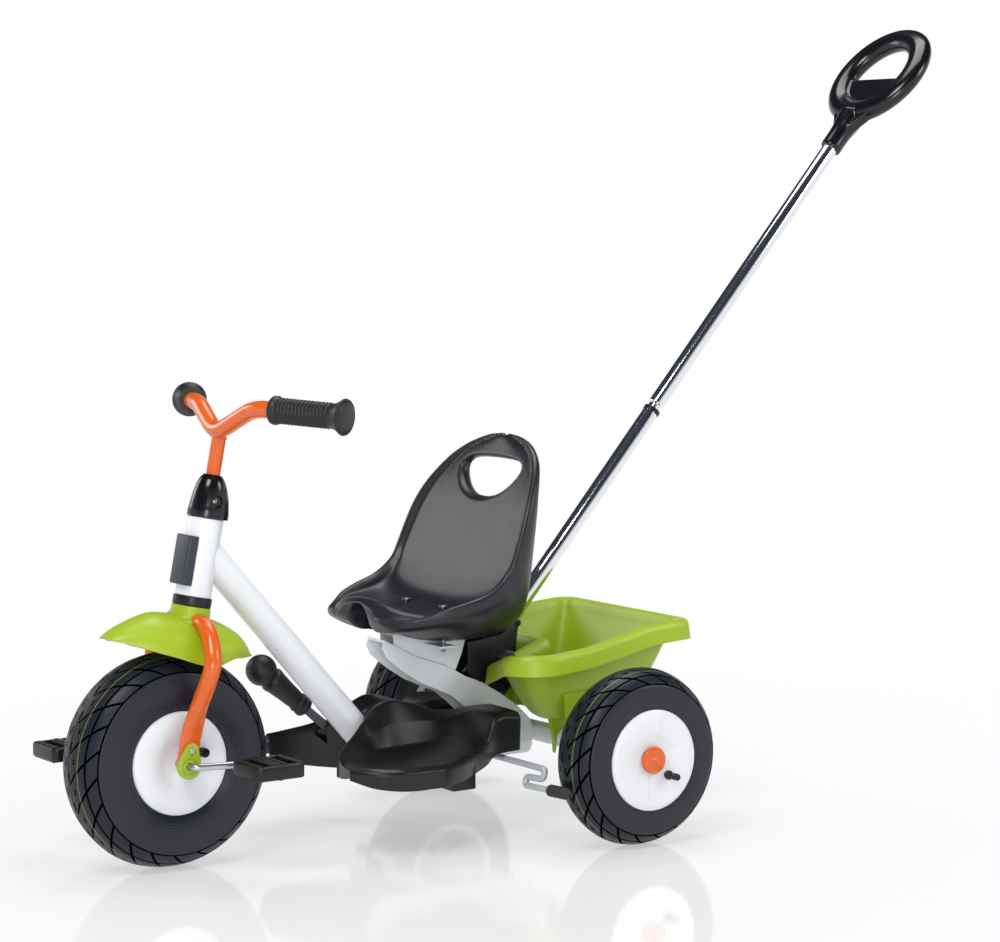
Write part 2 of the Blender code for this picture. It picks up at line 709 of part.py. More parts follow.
def make_footrest(side, label, black):
    """One half of the moulded footrest that clasps the spine."""
    stations = [
        (0.3440, 0.0820, 0.1200, (0.0860, 0.1290), (0.0920, 0.1240), (0.0980, 0.1180),
         (0.1080, 0.1150), (0.1140, 0.1100), 0.1000),
        (0.3250, 0.0640, 0.1250, (0.0690, 0.1360), (0.0780, 0.1260), (0.0900, 0.1180),
         (0.1300, 0.1150), (0.1390, 0.1100), 0.0920),
        (0.3000, 0.0440, 0.1320, (0.0500, 0.1450), (0.0600, 0.1300), (0.0750, 0.1180),
         (0.1440, 0.1145), (0.1530, 0.1100), 0.0880),
        (0.2750, 0.0250, 0.1430, (0.0330, 0.1580), (0.0460, 0.1380), (0.0600, 0.1190),
         (0.1470, 0.1140), (0.1555, 0.1090), 0.0860),
        (0.2530, 0.0006, 0.1600, (0.0300, 0.1700), (0.0450, 0.1460), (0.0560, 0.1200),
         (0.1470, 0.1135), (0.1555, 0.1085), 0.0860),
        (0.2320, 0.0006, 0.1670, (0.0300, 0.1760), (0.0450, 0.1490), (0.0570, 0.1210),
         (0.1465, 0.1130), (0.1550, 0.1080), 0.0860),
        (0.2000, 0.0006, 0.1610, (0.0300, 0.1680), (0.0460, 0.1480), (0.0590, 0.1220),
         (0.1330, 0.1135), (0.1410, 0.1090), 0.0870),
        (0.1700, 0.0006, 0.1520, (0.0300, 0.1580), (0.0470, 0.1470), (0.0630, 0.1280),
         (0.1150, 0.1180), (0.1240, 0.1130), 0.0900),
        (0.1450, 0.0210, 0.1500, (0.0330, 0.1560), (0.0520, 0.1515), (0.0710, 0.1400),
         (0.1010, 0.1290), (0.1130, 0.1220), 0.0960),
        (0.1250, 0.0210, 0.1530, (0.0330, 0.1570), (0.0560, 0.1565), (0.0800, 0.1560),
         (0.0990, 0.1550), (0.1060, 0.1490), 0.1060),
        (0.0880, 0.0210, 0.1530, (0.0330, 0.1570), (0.0560, 0.1568), (0.0800, 0.1562),
         (0.0960, 0.1555), (0.1025, 0.1490), 0.1080),
    ]
    rows = []
    for x, y_in, z_in, crest, slope, toe, tread, lip, low in stations:
        points = [(y_in, low), (y_in, z_in), crest, slope, toe, tread, lip, (lip[0] - 0.002, low)]
        rows.append([at(x, side * y, z) for y, z in points])
    rest = loft("footrest_" + label, rows, black, closed=False)
    shell(rest, 0.003)
    boss = block("footrest_boss_" + label, (0.034, 0.026, 0.0440), at(0.1865, side * 0.1110, 0.0935))
    weld(rest, boss)
    cut(rest, fat_main_tube("footrest_tube_room_" + label))
    if side * LEVER_Y > 0:
        slot = [(0.0, -0.012), (0.085, 0.045)]
        low_angle = LEVER_ANGLE - math.radians(9)
        high_angle = LEVER_ANGLE + LEVER_SWING + math.radians(9)
        centre = (LEVER_PIVOT.x, LEVER_PIVOT.z)
        reach = 0.085
        fan = [(centre[0] - 0.012, centre[1] - 0.020), (centre[0] + 0.014, centre[1] - 0.012)]
        for angle in (low_angle, (low_angle + high_angle) / 2, high_angle):
            fan.append((centre[0] + reach * math.cos(angle), centre[1] + reach * math.sin(angle)))
        fan.append((centre[0] - 0.012, centre[1] + 0.010))
        cut(rest, prism("lever_slot", fan, STRIP_T + 0.006, side_frame(LEVER_Y)))
        cut(rest, rod("pin_room", at(LEVER_PIVOT.x, -0.008, LEVER_PIVOT.z),
                      at(LEVER_PIVOT.x, -0.053, LEVER_PIVOT.z), 0.0095, 12))
    return rest


def make_push_bracket(black):
    """The plastic bracket behind the seat that holds the push bar."""
    across = Matrix((PUSH_BACK, PUSH_UP, PUSH_BACK.cross(PUSH_UP))).transposed().to_4x4()
    frame = Matrix.Translation(push(0)) @ across
    outline = [(0.0, -0.0776), (-0.0240, -0.1120), (-0.0460, -0.1440), (-0.0460, -0.1800),
               (-0.0300, -0.1800), (0.0, -0.1720)]
    bracket = prism("push_bar_bracket", outline, 2 * BEAM_HALF_W, frame, black)
    half_round = turned("bracket_round", [(0.0, -0.0780), (PUSH_R + SKIN, -0.0780),
                                          (PUSH_R + SKIN, -0.1715), (0.0, -0.1715)],
                        push(0), PUSH_UP, 16)
    weld(bracket, half_round)
    cut(bracket, rod("bracket_bore", push(LOWER_BAR_LOW - 0.001), push(0.02), PUSH_R + RUNNING, 16))
    hollow = [(-0.0155, -0.1060), (-0.0425, -0.1460), (-0.0425, -0.1950), (-0.0155, -0.1950)]
    cut(bracket, prism("bracket_hollow", hollow, 2 * (BEAM_HALF_W - 0.003), frame))
    slot_w = PIN_R + RUNNING
    slot = [(-slot_w, -0.0500), (-slot_w, PIN_T - slot_w), (slot_w, PIN_T - slot_w), (slot_w, -0.0500)]
    cut(bracket, prism("bracket_pin_slot", slot, 0.060, frame))
    spots = [(-0.0240, -0.1260), (-0.0340, -0.1440), (-0.0240, -0.1480), (-0.0340, -0.1640),
             (-0.0230, -0.1680)]
    for index, (back, along) in enumerate(spots):
        cut(bracket, rod("bracket_hole_%d" % index, push(along, -0.03, back), push(along, 0.03, back),
                         0.0024, 8))
    room = [(x, z + GAP) for x, z in BEAM_TOP[1:8]] + [(0.0364, 0.1000), (0.2180, 0.1000)]
    cut(bracket, prism("bracket_beam_room", room, 0.060, side_frame(0)))
    seat_room = [(x, z - 2 * GAP) for x, z in seat_bottom_line(0.0531, 0.2200)]
    seat_room = [(0.0525, 0.3000)] + seat_room + [(0.2200, 0.3000)]
    cut(bracket, prism("bracket_seat_room", seat_room, 0.060, side_frame(0)))
    wedge_room = [(0.1135, 0.2450), (0.1190 - 0.0006, 0.2230), (0.1284, 0.1985), (0.1284, 0.1900),
                  (0.2000, 0.1900), (0.2000, 0.2450)]
    cut(bracket, prism("bracket_support_room", wedge_room, 0.034, side_frame(0)))
    return bracket


def make_push_bar(chrome, black, steel):
    """The telescopic push bar in two tubes, with its cross pin and its handle."""
    inner = PUSH_R - PUSH_WALL
    lower = turned("push_bar_lower", [(inner, LOWER_BAR_HIGH), (PUSH_R, LOWER_BAR_HIGH),
                                      (PUSH_R, LOWER_BAR_LOW), (inner, LOWER_BAR_LOW)],
                   push(0), PUSH_UP, 16, chrome)
    cut(lower, rod("bar_pin_hole", push(PIN_T, -0.03), push(PIN_T, 0.03), PIN_R + GAP, 10))
    pin = turned("push_bar_pin", [(0.0, 0.0235), (0.0042, 0.0235), (0.0042, 0.0203), (PIN_R, 0.0203),
                                  (PIN_R, -0.0203), (0.0042, -0.0203), (0.0042, -0.0235), (0.0, -0.0235)],
                 push(PIN_T), LEFT, 10, black)
    neck_low = LOWER_BAR_HIGH - NECK_DEPTH
    upper = turned("push_bar_upper",
                   [(NECK_R - PUSH_WALL, UPPER_BAR_HIGH), (PUSH_R, UPPER_BAR_HIGH),
                    (PUSH_R, UPPER_BAR_LOW), (NECK_R, UPPER_BAR_LOW), (NECK_R, neck_low),
                    (NECK_R - PUSH_WALL, neck_low)],
                   push(0), PUSH_UP, 16, chrome)
    sleeve = turned("push_bar_sleeve",
                    [(PUSH_R - PUSH_WALL - GAP, LOWER_BAR_HIGH), (PUSH_R + 0.0006, LOWER_BAR_HIGH + 0.0004),
                     (PUSH_R + 0.0006, LOWER_BAR_HIGH + 0.0060), (NECK_R + GAP, LOWER_BAR_HIGH + 0.0060),
                     (NECK_R + GAP, LOWER_BAR_HIGH - 0.030), (PUSH_R - PUSH_WALL - GAP, LOWER_BAR_HIGH - 0.030)],
                    push(0), PUSH_UP, 16, black)

    ring_bm = bmesh.new()
    section = []
    for step in range(8):
        angle = math.tau * step / 8
        section.append(ring_bm.verts.new((RING_R + RING_HALF_WIDE * math.cos(angle), 0.0,
                                          RING_HALF_THICK * math.sin(angle))))
    edges = [ring_bm.edges.new((section[i], section[(i + 1) % 8])) for i in range(8)]
    bmesh.ops.spin(ring_bm, geom=section + edges, cent=(0, 0, 0), axis=(0, 0, 1), angle=math.tau,
                   steps=24, use_merge=True)
    bmesh.ops.recalc_face_normals(ring_bm, faces=ring_bm.faces)
    handle = add_object("push_handle", mesh_from("push_handle", ring_bm), black)
    axes = Matrix((LEFT, PUSH_UP, LEFT.cross(PUSH_UP))).transposed().to_4x4()
    frame = Matrix.Translation(push(RING_T)) @ axes
    handle.matrix_world = frame
    socket_top = RING_T - RING_R - RING_HALF_WIDE * 0.4
    socket = turned("handle_socket", [(0.0, socket_top), (SOCKET_R - 0.001, socket_top),
                                      (SOCKET_R, SOCKET_LOW + 0.010), (SOCKET_R - 0.001, SOCKET_LOW),
                                      (0.0, SOCKET_LOW)],
                    push(0), PUSH_UP, 16)
    web_v = WEB_TOP - RING_T
    web_half = math.sqrt(RING_R ** 2 - web_v ** 2)
    web_start = math.degrees(math.atan2(web_v, -web_half)) + 360.0
    web_end = math.degrees(math.atan2(web_v, web_half)) + 360.0
    web = arc((0.0, 0.0), RING_R, web_start, web_end, 12)
    gusset = [(-0.052, -0.052), (-0.012, -0.108), (0.012, -0.108), (0.052, -0.052)]
    weld(handle, socket, prism("handle_web", web, WEB_THICK, frame),
         prism("handle_gusset", gusset, WEB_THICK + 0.004, frame))
    cut(handle, rod("handle_bore", push(SOCKET_LOW - 0.02), push(UPPER_BAR_HIGH + GAP), PUSH_R + GAP, 16))
    return [lower, pin, sleeve], [upper, handle]


def make_steering(orange, lime, black, steel):
    """The fork, handlebar, grips, fender and headset cap, which turn together."""
    arch_half = [(0.0, CROWN_S), (0.0260, 0.1700), (0.0433, 0.1655), (0.0616, 0.1485), (0.0740, 0.1244),
                 (0.0705, 0.1025), (0.0616, 0.0799), (0.0540, 0.0540), (BLADE_Y + 0.0005, 0.0350)]
    widths = [1.0] * 7 + [0.85, 0.45]
    arch = [(-y, s) for y, s in reversed(arch_half[1:])] + arch_half
    arch_width = widths[:0:-1] + widths
    path = [steer(0, y, s) for y, s in arch]
    fork = pipe("fork", path, FORK_R, orange, roundness=2, taper=arch_width)
    steerer = turned("steerer", [(0.0, 0.262), (0.0093, 0.262), (0.0093, 0.3300), (STEERER_R, 0.3300),
                                 (STEERER_R, CROWN_S), (0.0, CROWN_S)],
                     steer(0, 0, 0), STEER_UP, 16)
    weld(fork, steerer)
    half_w = BLADE_W / 2
    blade = [(half_w * 0.75, 0.0520), (-half_w * 0.75, 0.0520), (-half_w, 0.0380)]
    blade += arc((0.0, 0.0015), half_w, 180, 360, 8) + [(half_w, 0.0380)]
    pieces = []
    for side, label in ((1, "left"), (-1, "right")):
        weld(fork, prism("fork_blade_" + label, blade, BLADE_T, steer_frame(side * BLADE_Y)))
    for side, label in ((1, "left"), (-1, "right")):
        near = side * (BLADE_Y - BLADE_T)
        far = side * (BLADE_Y + BLADE_T)
        cut(fork, rod("fork_hole_" + label, steer(0, near, 0), steer(0, far, 0), 0.0078, 12))
        cut(fork, rod("fork_screw_hole_" + label, steer(0, near, 0.019), steer(0, far, 0.019),
                      0.0020 + GAP, 8))
        face = BLADE_Y + BLADE_T / 2 + GAP
        plate = arc((0.0, 0.0), BEARING_R, 180, 360, 10)
        plate += [(0.0125, BEARING_TOP - 0.003), (0.0095, BEARING_TOP), (-0.0095, BEARING_TOP),
                  (-0.0125, BEARING_TOP - 0.003)]
        cap = prism("fork_bearing_" + label, plate, BEARING_T, steer_frame(side * (face + BEARING_T / 2)),
                    lime)
        boss_in = side * (BLADE_Y - BLADE_T / 2 - 0.0015)
        weld(cap, rod("bearing_boss_" + label, steer(0, boss_in, 0),
                      steer(0, side * (face + BEARING_T / 2), 0), 0.0075, 12))
        cut(cap, rod("bearing_bore_" + label, steer(0, side * 0.04, 0), steer(0, side * 0.07, 0),
                     CRANK_R + RUNNING, 12))
        cut(cap, rod("bearing_screw_hole_" + label, steer(0, side * 0.05, 0.019),
                     steer(0, side * 0.065, 0.019), 0.0020 + GAP, 8))
        head_y = face + BEARING_T + GAP
        screw = turned("fork_screw_" + label,
                       [(0.0, head_y + 0.0016), (0.0036, head_y + 0.0010), (0.0036, head_y),
                        (0.0020, head_y), (0.0020, BLADE_Y - 0.0025), (0.0, BLADE_Y - 0.0025)],
                       steer(0, 0, 0.019), LEFT * side, 8, steel)
        pieces += [cap, screw]

    bar_half = [Vector((0.0032, 0.0, BAR_JOINT)), Vector((0.0005, 0.0450, 0.4155)),
                Vector((-0.0030, 0.0800, 0.4290)), GRIP_IN, GRIP_OUT]
    mirrored = [Vector((place.x, -place.y, place.z)) for place in reversed(bar_half[1:])]
    bar = bent(mirrored + bar_half, 0.030, 2)
    handlebar = pipe("handlebar", [steer(*place) for place in bar], BAR_R, orange, roundness=2)
    weld(handlebar, rod("stem", steer(0, 0, STEM_FOOT + 2 * GAP), steer(0, 0, BAR_JOINT), STEM_R, 16))
    reach = (GRIP_OUT - GRIP_IN).length
    for side, label in ((1, "left"), (-1, "right")):
        start = steer(GRIP_IN.x, side * GRIP_IN.y, GRIP_IN.z)
        end = steer(GRIP_OUT.x, side * GRIP_OUT.y, GRIP_OUT.z)
        bore = BAR_R + GAP
        profile = [(0.0, reach + 0.0045), (GRIP_END_R * 0.8, reach + 0.0045), (GRIP_END_R, reach + 0.0010),
                   (GRIP_END_R * 0.97, reach - 0.0060), (GRIP_R, reach - 0.0120), (GRIP_R, 0.0055),
                   (GRIP_COLLAR_R, 0.0035), (GRIP_COLLAR_R, -0.0020), (bore, -0.0020),
                   (bore, reach + GAP), (0.0, reach + GAP)]
        pieces.append(turned("grip_" + label, profile, start, end - start, 16, black))

    ridge = [(0.1096, 0.1342), (0.1010, 0.1435), (0.0856, 0.1560), (0.0556, 0.1745), (0.0275, 0.1835),
             (0.0, 0.1850), (-0.0307, 0.1805), (-0.0589, 0.1652), (-0.0758, 0.1520), (-0.0880, 0.1375)]
    edges = [(0.1085, 0.0120, 0.1325), (0.1000, 0.0200, 0.1322), (0.0870, 0.0275, 0.1315),
             (0.0550, 0.0420, 0.1270), (0.0300, 0.0470, 0.1240), (0.0045, 0.0495, 0.1200),
             (-0.0200, 0.0490, 0.1195), (-0.0480, 0.0400, 0.1310), (-0.0680, 0.0270, 0.1330),
             (-0.0860, 0.0130, 0.1355)]
    rows = []
    for (ridge_x, ridge_s), (edge_x, edge_y, edge_s) in zip(ridge, edges):
        row = []
        for step in range(-3, 4):
            angle = math.radians(90.0 * step / 3)
            fall = 1.0 - math.cos(angle)
            row.append(steer(ridge_x + (edge_x - ridge_x) * fall, edge_y * math.sin(angle),
                             ridge_s + (edge_s - ridge_s) * fall))
        rows.append(row)
    fender = loft("fender", rows, lime, closed=False, start_cap=False, end_cap=False)
    shell(fender, FENDER_WALL)
    weld(fender, turned("fender_collar", [(0.0, LOWER_RING_LOW - GAP), (COLLAR_R, LOWER_RING_LOW - GAP),
                                          (COLLAR_R, 0.1806), (0.0, 0.1806)],
                        steer(0, 0, 0), STEER_UP, RING_STEPS))
    cut(fender, pipe("fender_crown_room", path[3:-3], FORK_R + 3 * GAP, roundness=2))
    cut(fender, rod("fender_bore", steer(0, 0, 0.10), steer(0, 0, 0.25), STEERER_R + GAP, 16))

    cap = turned("headset_cap",
                 [(STEM_R + GAP, CAP_TOP), (CAP_TOP_R - 0.001, CAP_TOP), (CAP_TOP_R, CAP_TOP - 0.001),
                  (0.0150, 0.3320), (0.0185, 0.3150), (CAP_BASE_R, HEAD_HIGH + 0.0060),
                  (CAP_BASE_R, HEAD_HIGH + GAP), (HEAD_R - 0.0002, HEAD_HIGH + GAP),
                  (HEAD_R - 0.0002, HEAD_HIGH + 0.0039), (STEERER_R + GAP, HEAD_HIGH + 0.0039),
                  (STEERER_R + GAP, 0.3303), (STEM_R + GAP, 0.3303)],
                 steer(0, 0, 0), STEER_UP, RING_STEPS, black)
    clamp_s = 0.3130
    cut(cap, rod("clamp_screw_hole", steer(0, STEERER_R - 0.002, clamp_s), steer(0, 0.03, clamp_s),
                 0.0036 + GAP, 10))
    clamp = rod("clamp_screw", steer(0, STEERER_R + GAP, clamp_s), steer(0, 0.0178, clamp_s), 0.0036, 10,
                steel)
    return [fork, handlebar, fender, cap, clamp] + pieces


def tyre_profile(radius, width, steps):
    """The tyre's casing, open at its beads, as (radius, height) points."""
    crown = radius / math.cos(math.pi / steps)
    seat = RIM_R - RIM_SEAT_DEPTH + BEAD_GAP
    bead = RIM_W / 2 - RIM_LIP - GAP
    side = RIM_R + 0.45 * (radius - RIM_R)
    half = width / 2
    outer = [(seat, bead), (RIM_R + 0.0008, bead), (side, half), (radius - 0.013, half - 0.0030),
             (radius - 0.0035, half - 0.0160)]
    inner = [(seat, bead - TYRE_WALL), (side, half - TYRE_WALL), (radius - 1.9 * TYRE_WALL, half - 0.0160)]
    flat = [(crown, TREAD_FLAT / 2), (crown, -TREAD_FLAT / 2)]
    points = outer + flat + [(r, -h) for r, h in reversed(outer)]
    return points + [(r, -h) for r, h in inner] + [(r, h) for r, h in reversed(inner)]


def flat_below(steps):
    """The guide that turns a tyre's facets so that one lies flat on the ground."""
    return Vector((math.cos(math.pi / steps), 0.0, math.sin(math.pi / steps)))


def make_inner_tube(name, centre, radius, width, rubber, valve_way, side, valve_out):
    """The air tube with its angled valve stem, which comes out through the rim's face."""
    low = (RIM_R - RIM_SEAT_DEPTH + GAP) / math.cos(math.pi / AIR_TUBE_STEPS)
    high = (radius - 1.9 * TYRE_WALL) * math.cos(math.pi / REAR_TYRE_STEPS) - GAP
    ring = (low + high) / 2
    deep = (high - low) / 2
    wide = RIM_W / 2 - RIM_LIP - TYRE_WALL - GAP
    sections = []
    for shrink in (0.0, TUBE_WALL):
        section = []
        for step in range(6):
            angle = math.radians(60.0 * step)
            section.append((ring + (deep - shrink) * math.cos(angle),
                            (wide - shrink) * math.sin(angle)))
        sections.append(section)
    axis = LEFT * side
    tube = turned(name, sections[0], centre, axis, AIR_TUBE_STEPS, rubber)
    out = RIM_W / 2 + valve_out
    stem = [centre + valve_way * (low + 0.004), centre + valve_way * VALVE_RING,
            centre + valve_way * VALVE_RING + axis * out]
    weld(tube, pipe(name + "_stem", bent(stem, 0.008, 3), VALVE_R, roundness=1))
    cut(tube, turned(name + "_air", sections[1], centre, axis, AIR_TUBE_STEPS))
    air = [centre + valve_way * (low + 0.006), centre + valve_way * VALVE_RING,
           centre + valve_way * VALVE_RING + axis * (out + 0.01)]
    cut(tube, pipe(name + "_valve_bore", bent(air, 0.008, 3), 0.0012, roundness=0))
    return tube


def valve_cap(name, centre, valve_way, side, black, valve_out):
    """The small cap on the end of a valve stem."""
    out = RIM_W / 2 + valve_out
    start = centre + valve_way * VALVE_RING
    bore = VALVE_R + GAP
    profile = [(0.0, out + 0.0030), (0.0035, out + 0.0030), (0.0043, out + 0.0015), (0.0043, out - VALVE_CAP_GRIP),
               (bore, out - VALVE_CAP_GRIP), (bore, out + GAP), (0.0, out + GAP)]
    return turned(name, profile, start, LEFT * side, 10, black)


def dish(half):
    """The outer face of a rim from its hub to its lip, as (radius, height) points."""
    return [(HUB_R, half - 0.0045), (0.0200, half - 0.0035), (0.0340, half + 0.0010),
            (0.0500, half + 0.0032), (0.0600, half + 0.0014), (RIM_R, half - 0.0005)]


def inner_dish(half):
    """The inner face of a rim's dish, from its lip back to its hub."""
    return [(RIM_R - RIM_SEAT_DEPTH - RIM_WALL, half - 0.0035), (0.0500, half + 0.0002),
            (0.0340, half - 0.0020), (0.0200, half - 0.0065), (HUB_R, half - 0.0075)]


def cut_valve_way(rim, name, centre, valve_way, side):
    """Let the valve stem pass through a rim's barrel and face."""
    start = centre + valve_way * (RIM_R + 0.005)
    elbow = centre + valve_way * VALVE_RING
    stop = elbow + LEFT * (side * (RIM_W / 2 + 0.02))
    cut(rim, pipe(name, bent([start, elbow, stop], 0.008, 3), VALVE_R + 2 * GAP, roundness=1))


def make_front_wheel(white, tyre_black, black, steel):
    """The pedal-driven front wheel on its cranked axle."""
    centre = at(WHEELBASE, 0, FRONT_TYRE_R)
    half = RIM_W / 2
    valve_way = Vector((-0.84, 0.0, 0.54)).normalized()
    pieces = [turned("front_tyre", tyre_profile(FRONT_TYRE_R, FRONT_TYRE_W, FRONT_TYRE_STEPS), centre,
                     LEFT, FRONT_TYRE_STEPS, tyre_black, flat_below(FRONT_TYRE_STEPS))]
    pieces.append(make_inner_tube("front_inner_tube", centre, FRONT_TYRE_R, FRONT_TYRE_W, black,
                                  valve_way, 1, FRONT_VALVE_OUT))
    pieces.append(valve_cap("front_valve_cap", centre, valve_way, 1, black, FRONT_VALVE_OUT))
    seat = RIM_R - RIM_SEAT_DEPTH
    bore = CRANK_R + GAP
    middle = GAP / 2
    profile = [(bore, half - 0.0045)] + dish(half)
    profile += [(RIM_R, half - RIM_LIP), (seat, half - RIM_LIP), (seat, middle), (seat - RIM_WALL, middle)]
    profile += inner_dish(half) + [(HUB_R, middle), (bore, middle)]
    for side, label in ((1, "left"), (-1, "right")):
        rim = turned("front_rim_" + label, profile, centre, LEFT * side, RIM_STEPS, white)
        cut_valve_way(rim, "front_valve_way_" + label, centre, valve_way, 1)
        pieces.append(rim)
    half_axle = [Vector((0.0, 0.0, 0.0)), Vector((0.0, CRANK_BEND_Y, 0.0)),
                 Vector((-CRANK_ARM, CRANK_OUT_Y, 0.0)), Vector((-CRANK_ARM, SPINDLE_END, 0.0))]
    other_half = [Vector((-place.x, -place.y, 0.0)) for place in reversed(half_axle[1:])]
    whole = bent(other_half + half_axle[1:], 0.008, 3)
    pieces.append(pipe("crank_axle", [centre + place for place in whole], CRANK_R, steel, roundness=2))
    return pieces


def make_pedal(side, label, black):
    """A pedal block with two open slots, bored for its spindle."""
    centre_y = side * (PEDAL_IN + PEDAL_OUT) / 2
    centre = at(WHEELBASE - side * CRANK_ARM, centre_y, FRONT_TYRE_R)
    width = PEDAL_OUT - PEDAL_IN
    pedal = block("pedal_" + label, (PEDAL_L, width, PEDAL_T), centre, black, bevel=0.003)
    slot = 0.0125
    for way, word in ((1, "front"), (-1, "rear")):
        place = centre + FORWARD * (way * PEDAL_L * 0.27)
        cut(pedal, block("pedal_slot_%s_%s" % (label, word), (slot, width - 0.016, 0.04), place))
    inner = at(WHEELBASE - side * CRANK_ARM, side * (PEDAL_IN - 0.004), FRONT_TYRE_R)
    outer = at(WHEELBASE - side * CRANK_ARM, side * (SPINDLE_END + GAP), FRONT_TYRE_R)
    cut(pedal, rod("pedal_bore_" + label, inner, outer, CRANK_R + RUNNING, 12))
    return pedal


def make_rear_wheel(side, label, white, tyre_black, black):
    """A rear wheel: tyre, air tube, ribbed rim and valve cap."""
    centre = at(0, side * TRACK / 2, REAR_TYRE_R)
    half = RIM_W / 2
    axis = LEFT * side
    valve_way = Vector((-0.74, 0.0, -0.67)).normalized()
    tyre = turned("rear_tyre_" + label, tyre_profile(REAR_TYRE_R, REAR_TYRE_W, REAR_TYRE_STEPS), centre,
                  axis, REAR_TYRE_STEPS, tyre_black, flat_below(REAR_TYRE_STEPS))
    tube = make_inner_tube("rear_inner_tube_" + label, centre, REAR_TYRE_R, REAR_TYRE_W, black, valve_way,
                           side, REAR_VALVE_OUT)
    seat = RIM_R - RIM_SEAT_DEPTH
    bore = AXLE_ROD_R + GAP
    profile = [(bore, half - 0.0045)] + dish(half)
    profile += [(RIM_R, half - RIM_LIP), (seat, half - RIM_LIP), (seat, -half + RIM_LIP),
                (RIM_R - 0.001, -half + RIM_LIP), (RIM_R - 0.001, -half), (seat - RIM_WALL, -half)]
    profile += inner_dish(half) + [(HUB_R, HUB_SINK - half), (bore, HUB_SINK - half)]
    rim = turned("rear_rim_" + label, profile, centre, axis, RIM_STEPS, white)
    rib_low = HUB_R - 0.0015
    rib_high = seat - RIM_WALL + 0.0015
    for index in range(RIM_RIBS):
        angle = math.tau * (index + 0.5) / RIM_RIBS
        way = Vector((math.cos(angle), 0.0, math.sin(angle)))
        middle = centre + way * ((rib_low + rib_high) / 2) + axis * (half * 0.21)
        turn = Matrix((way, axis, way.cross(axis))).transposed()
        weld(rim, block("rim_rib_%s_%d" % (label, index), (rib_high - rib_low, half * 1.24, 0.003), middle,
                        axes=turn))
    cut_valve_way(rim, "rear_valve_way_" + label, centre, valve_way, side)
    cap = valve_cap("rear_valve_cap_" + label, centre, valve_way, side, black,
                    REAR_VALVE_OUT)
    return [tyre, tube, rim, cap]


def make_hub_cap(side, label, orange):
    """The pressed-on cap that keeps a rear wheel on its axle."""
    face = TRACK / 2 + RIM_W / 2 - 0.0045 + GAP
    tip = TRACK / 2 + RIM_W / 2 + 0.0015 + GAP
    bore = AXLE_ROD_R + GAP
    high = face + HUB_CAP_DEPTH
    profile = [(0.0, high), (0.0045, high), (0.0055, high - 0.0035), (HUB_CAP_R - 0.002, high - 0.0045),
               (HUB_CAP_R, high - 0.0070), (HUB_CAP_R, face + 0.0015), (0.0120, face), (bore, face),
               (bore, tip), (0.0, tip)]
    return turned("hub_cap_" + label, profile, at(0, 0, REAR_TYRE_R), LEFT * side, 16, orange)


def lever_place(along, across=0.0, y=LEVER_Y):
    """A place on the brake lever, from its pivot."""
    way = Vector((math.cos(LEVER_ANGLE), 0.0, math.sin(LEVER_ANGLE)))
    over = Vector((-way.z, 0.0, way.x))
    place = Vector((LEVER_PIVOT.x, y, LEVER_PIVOT.z)) + way * along + over * across
    return at(*place)


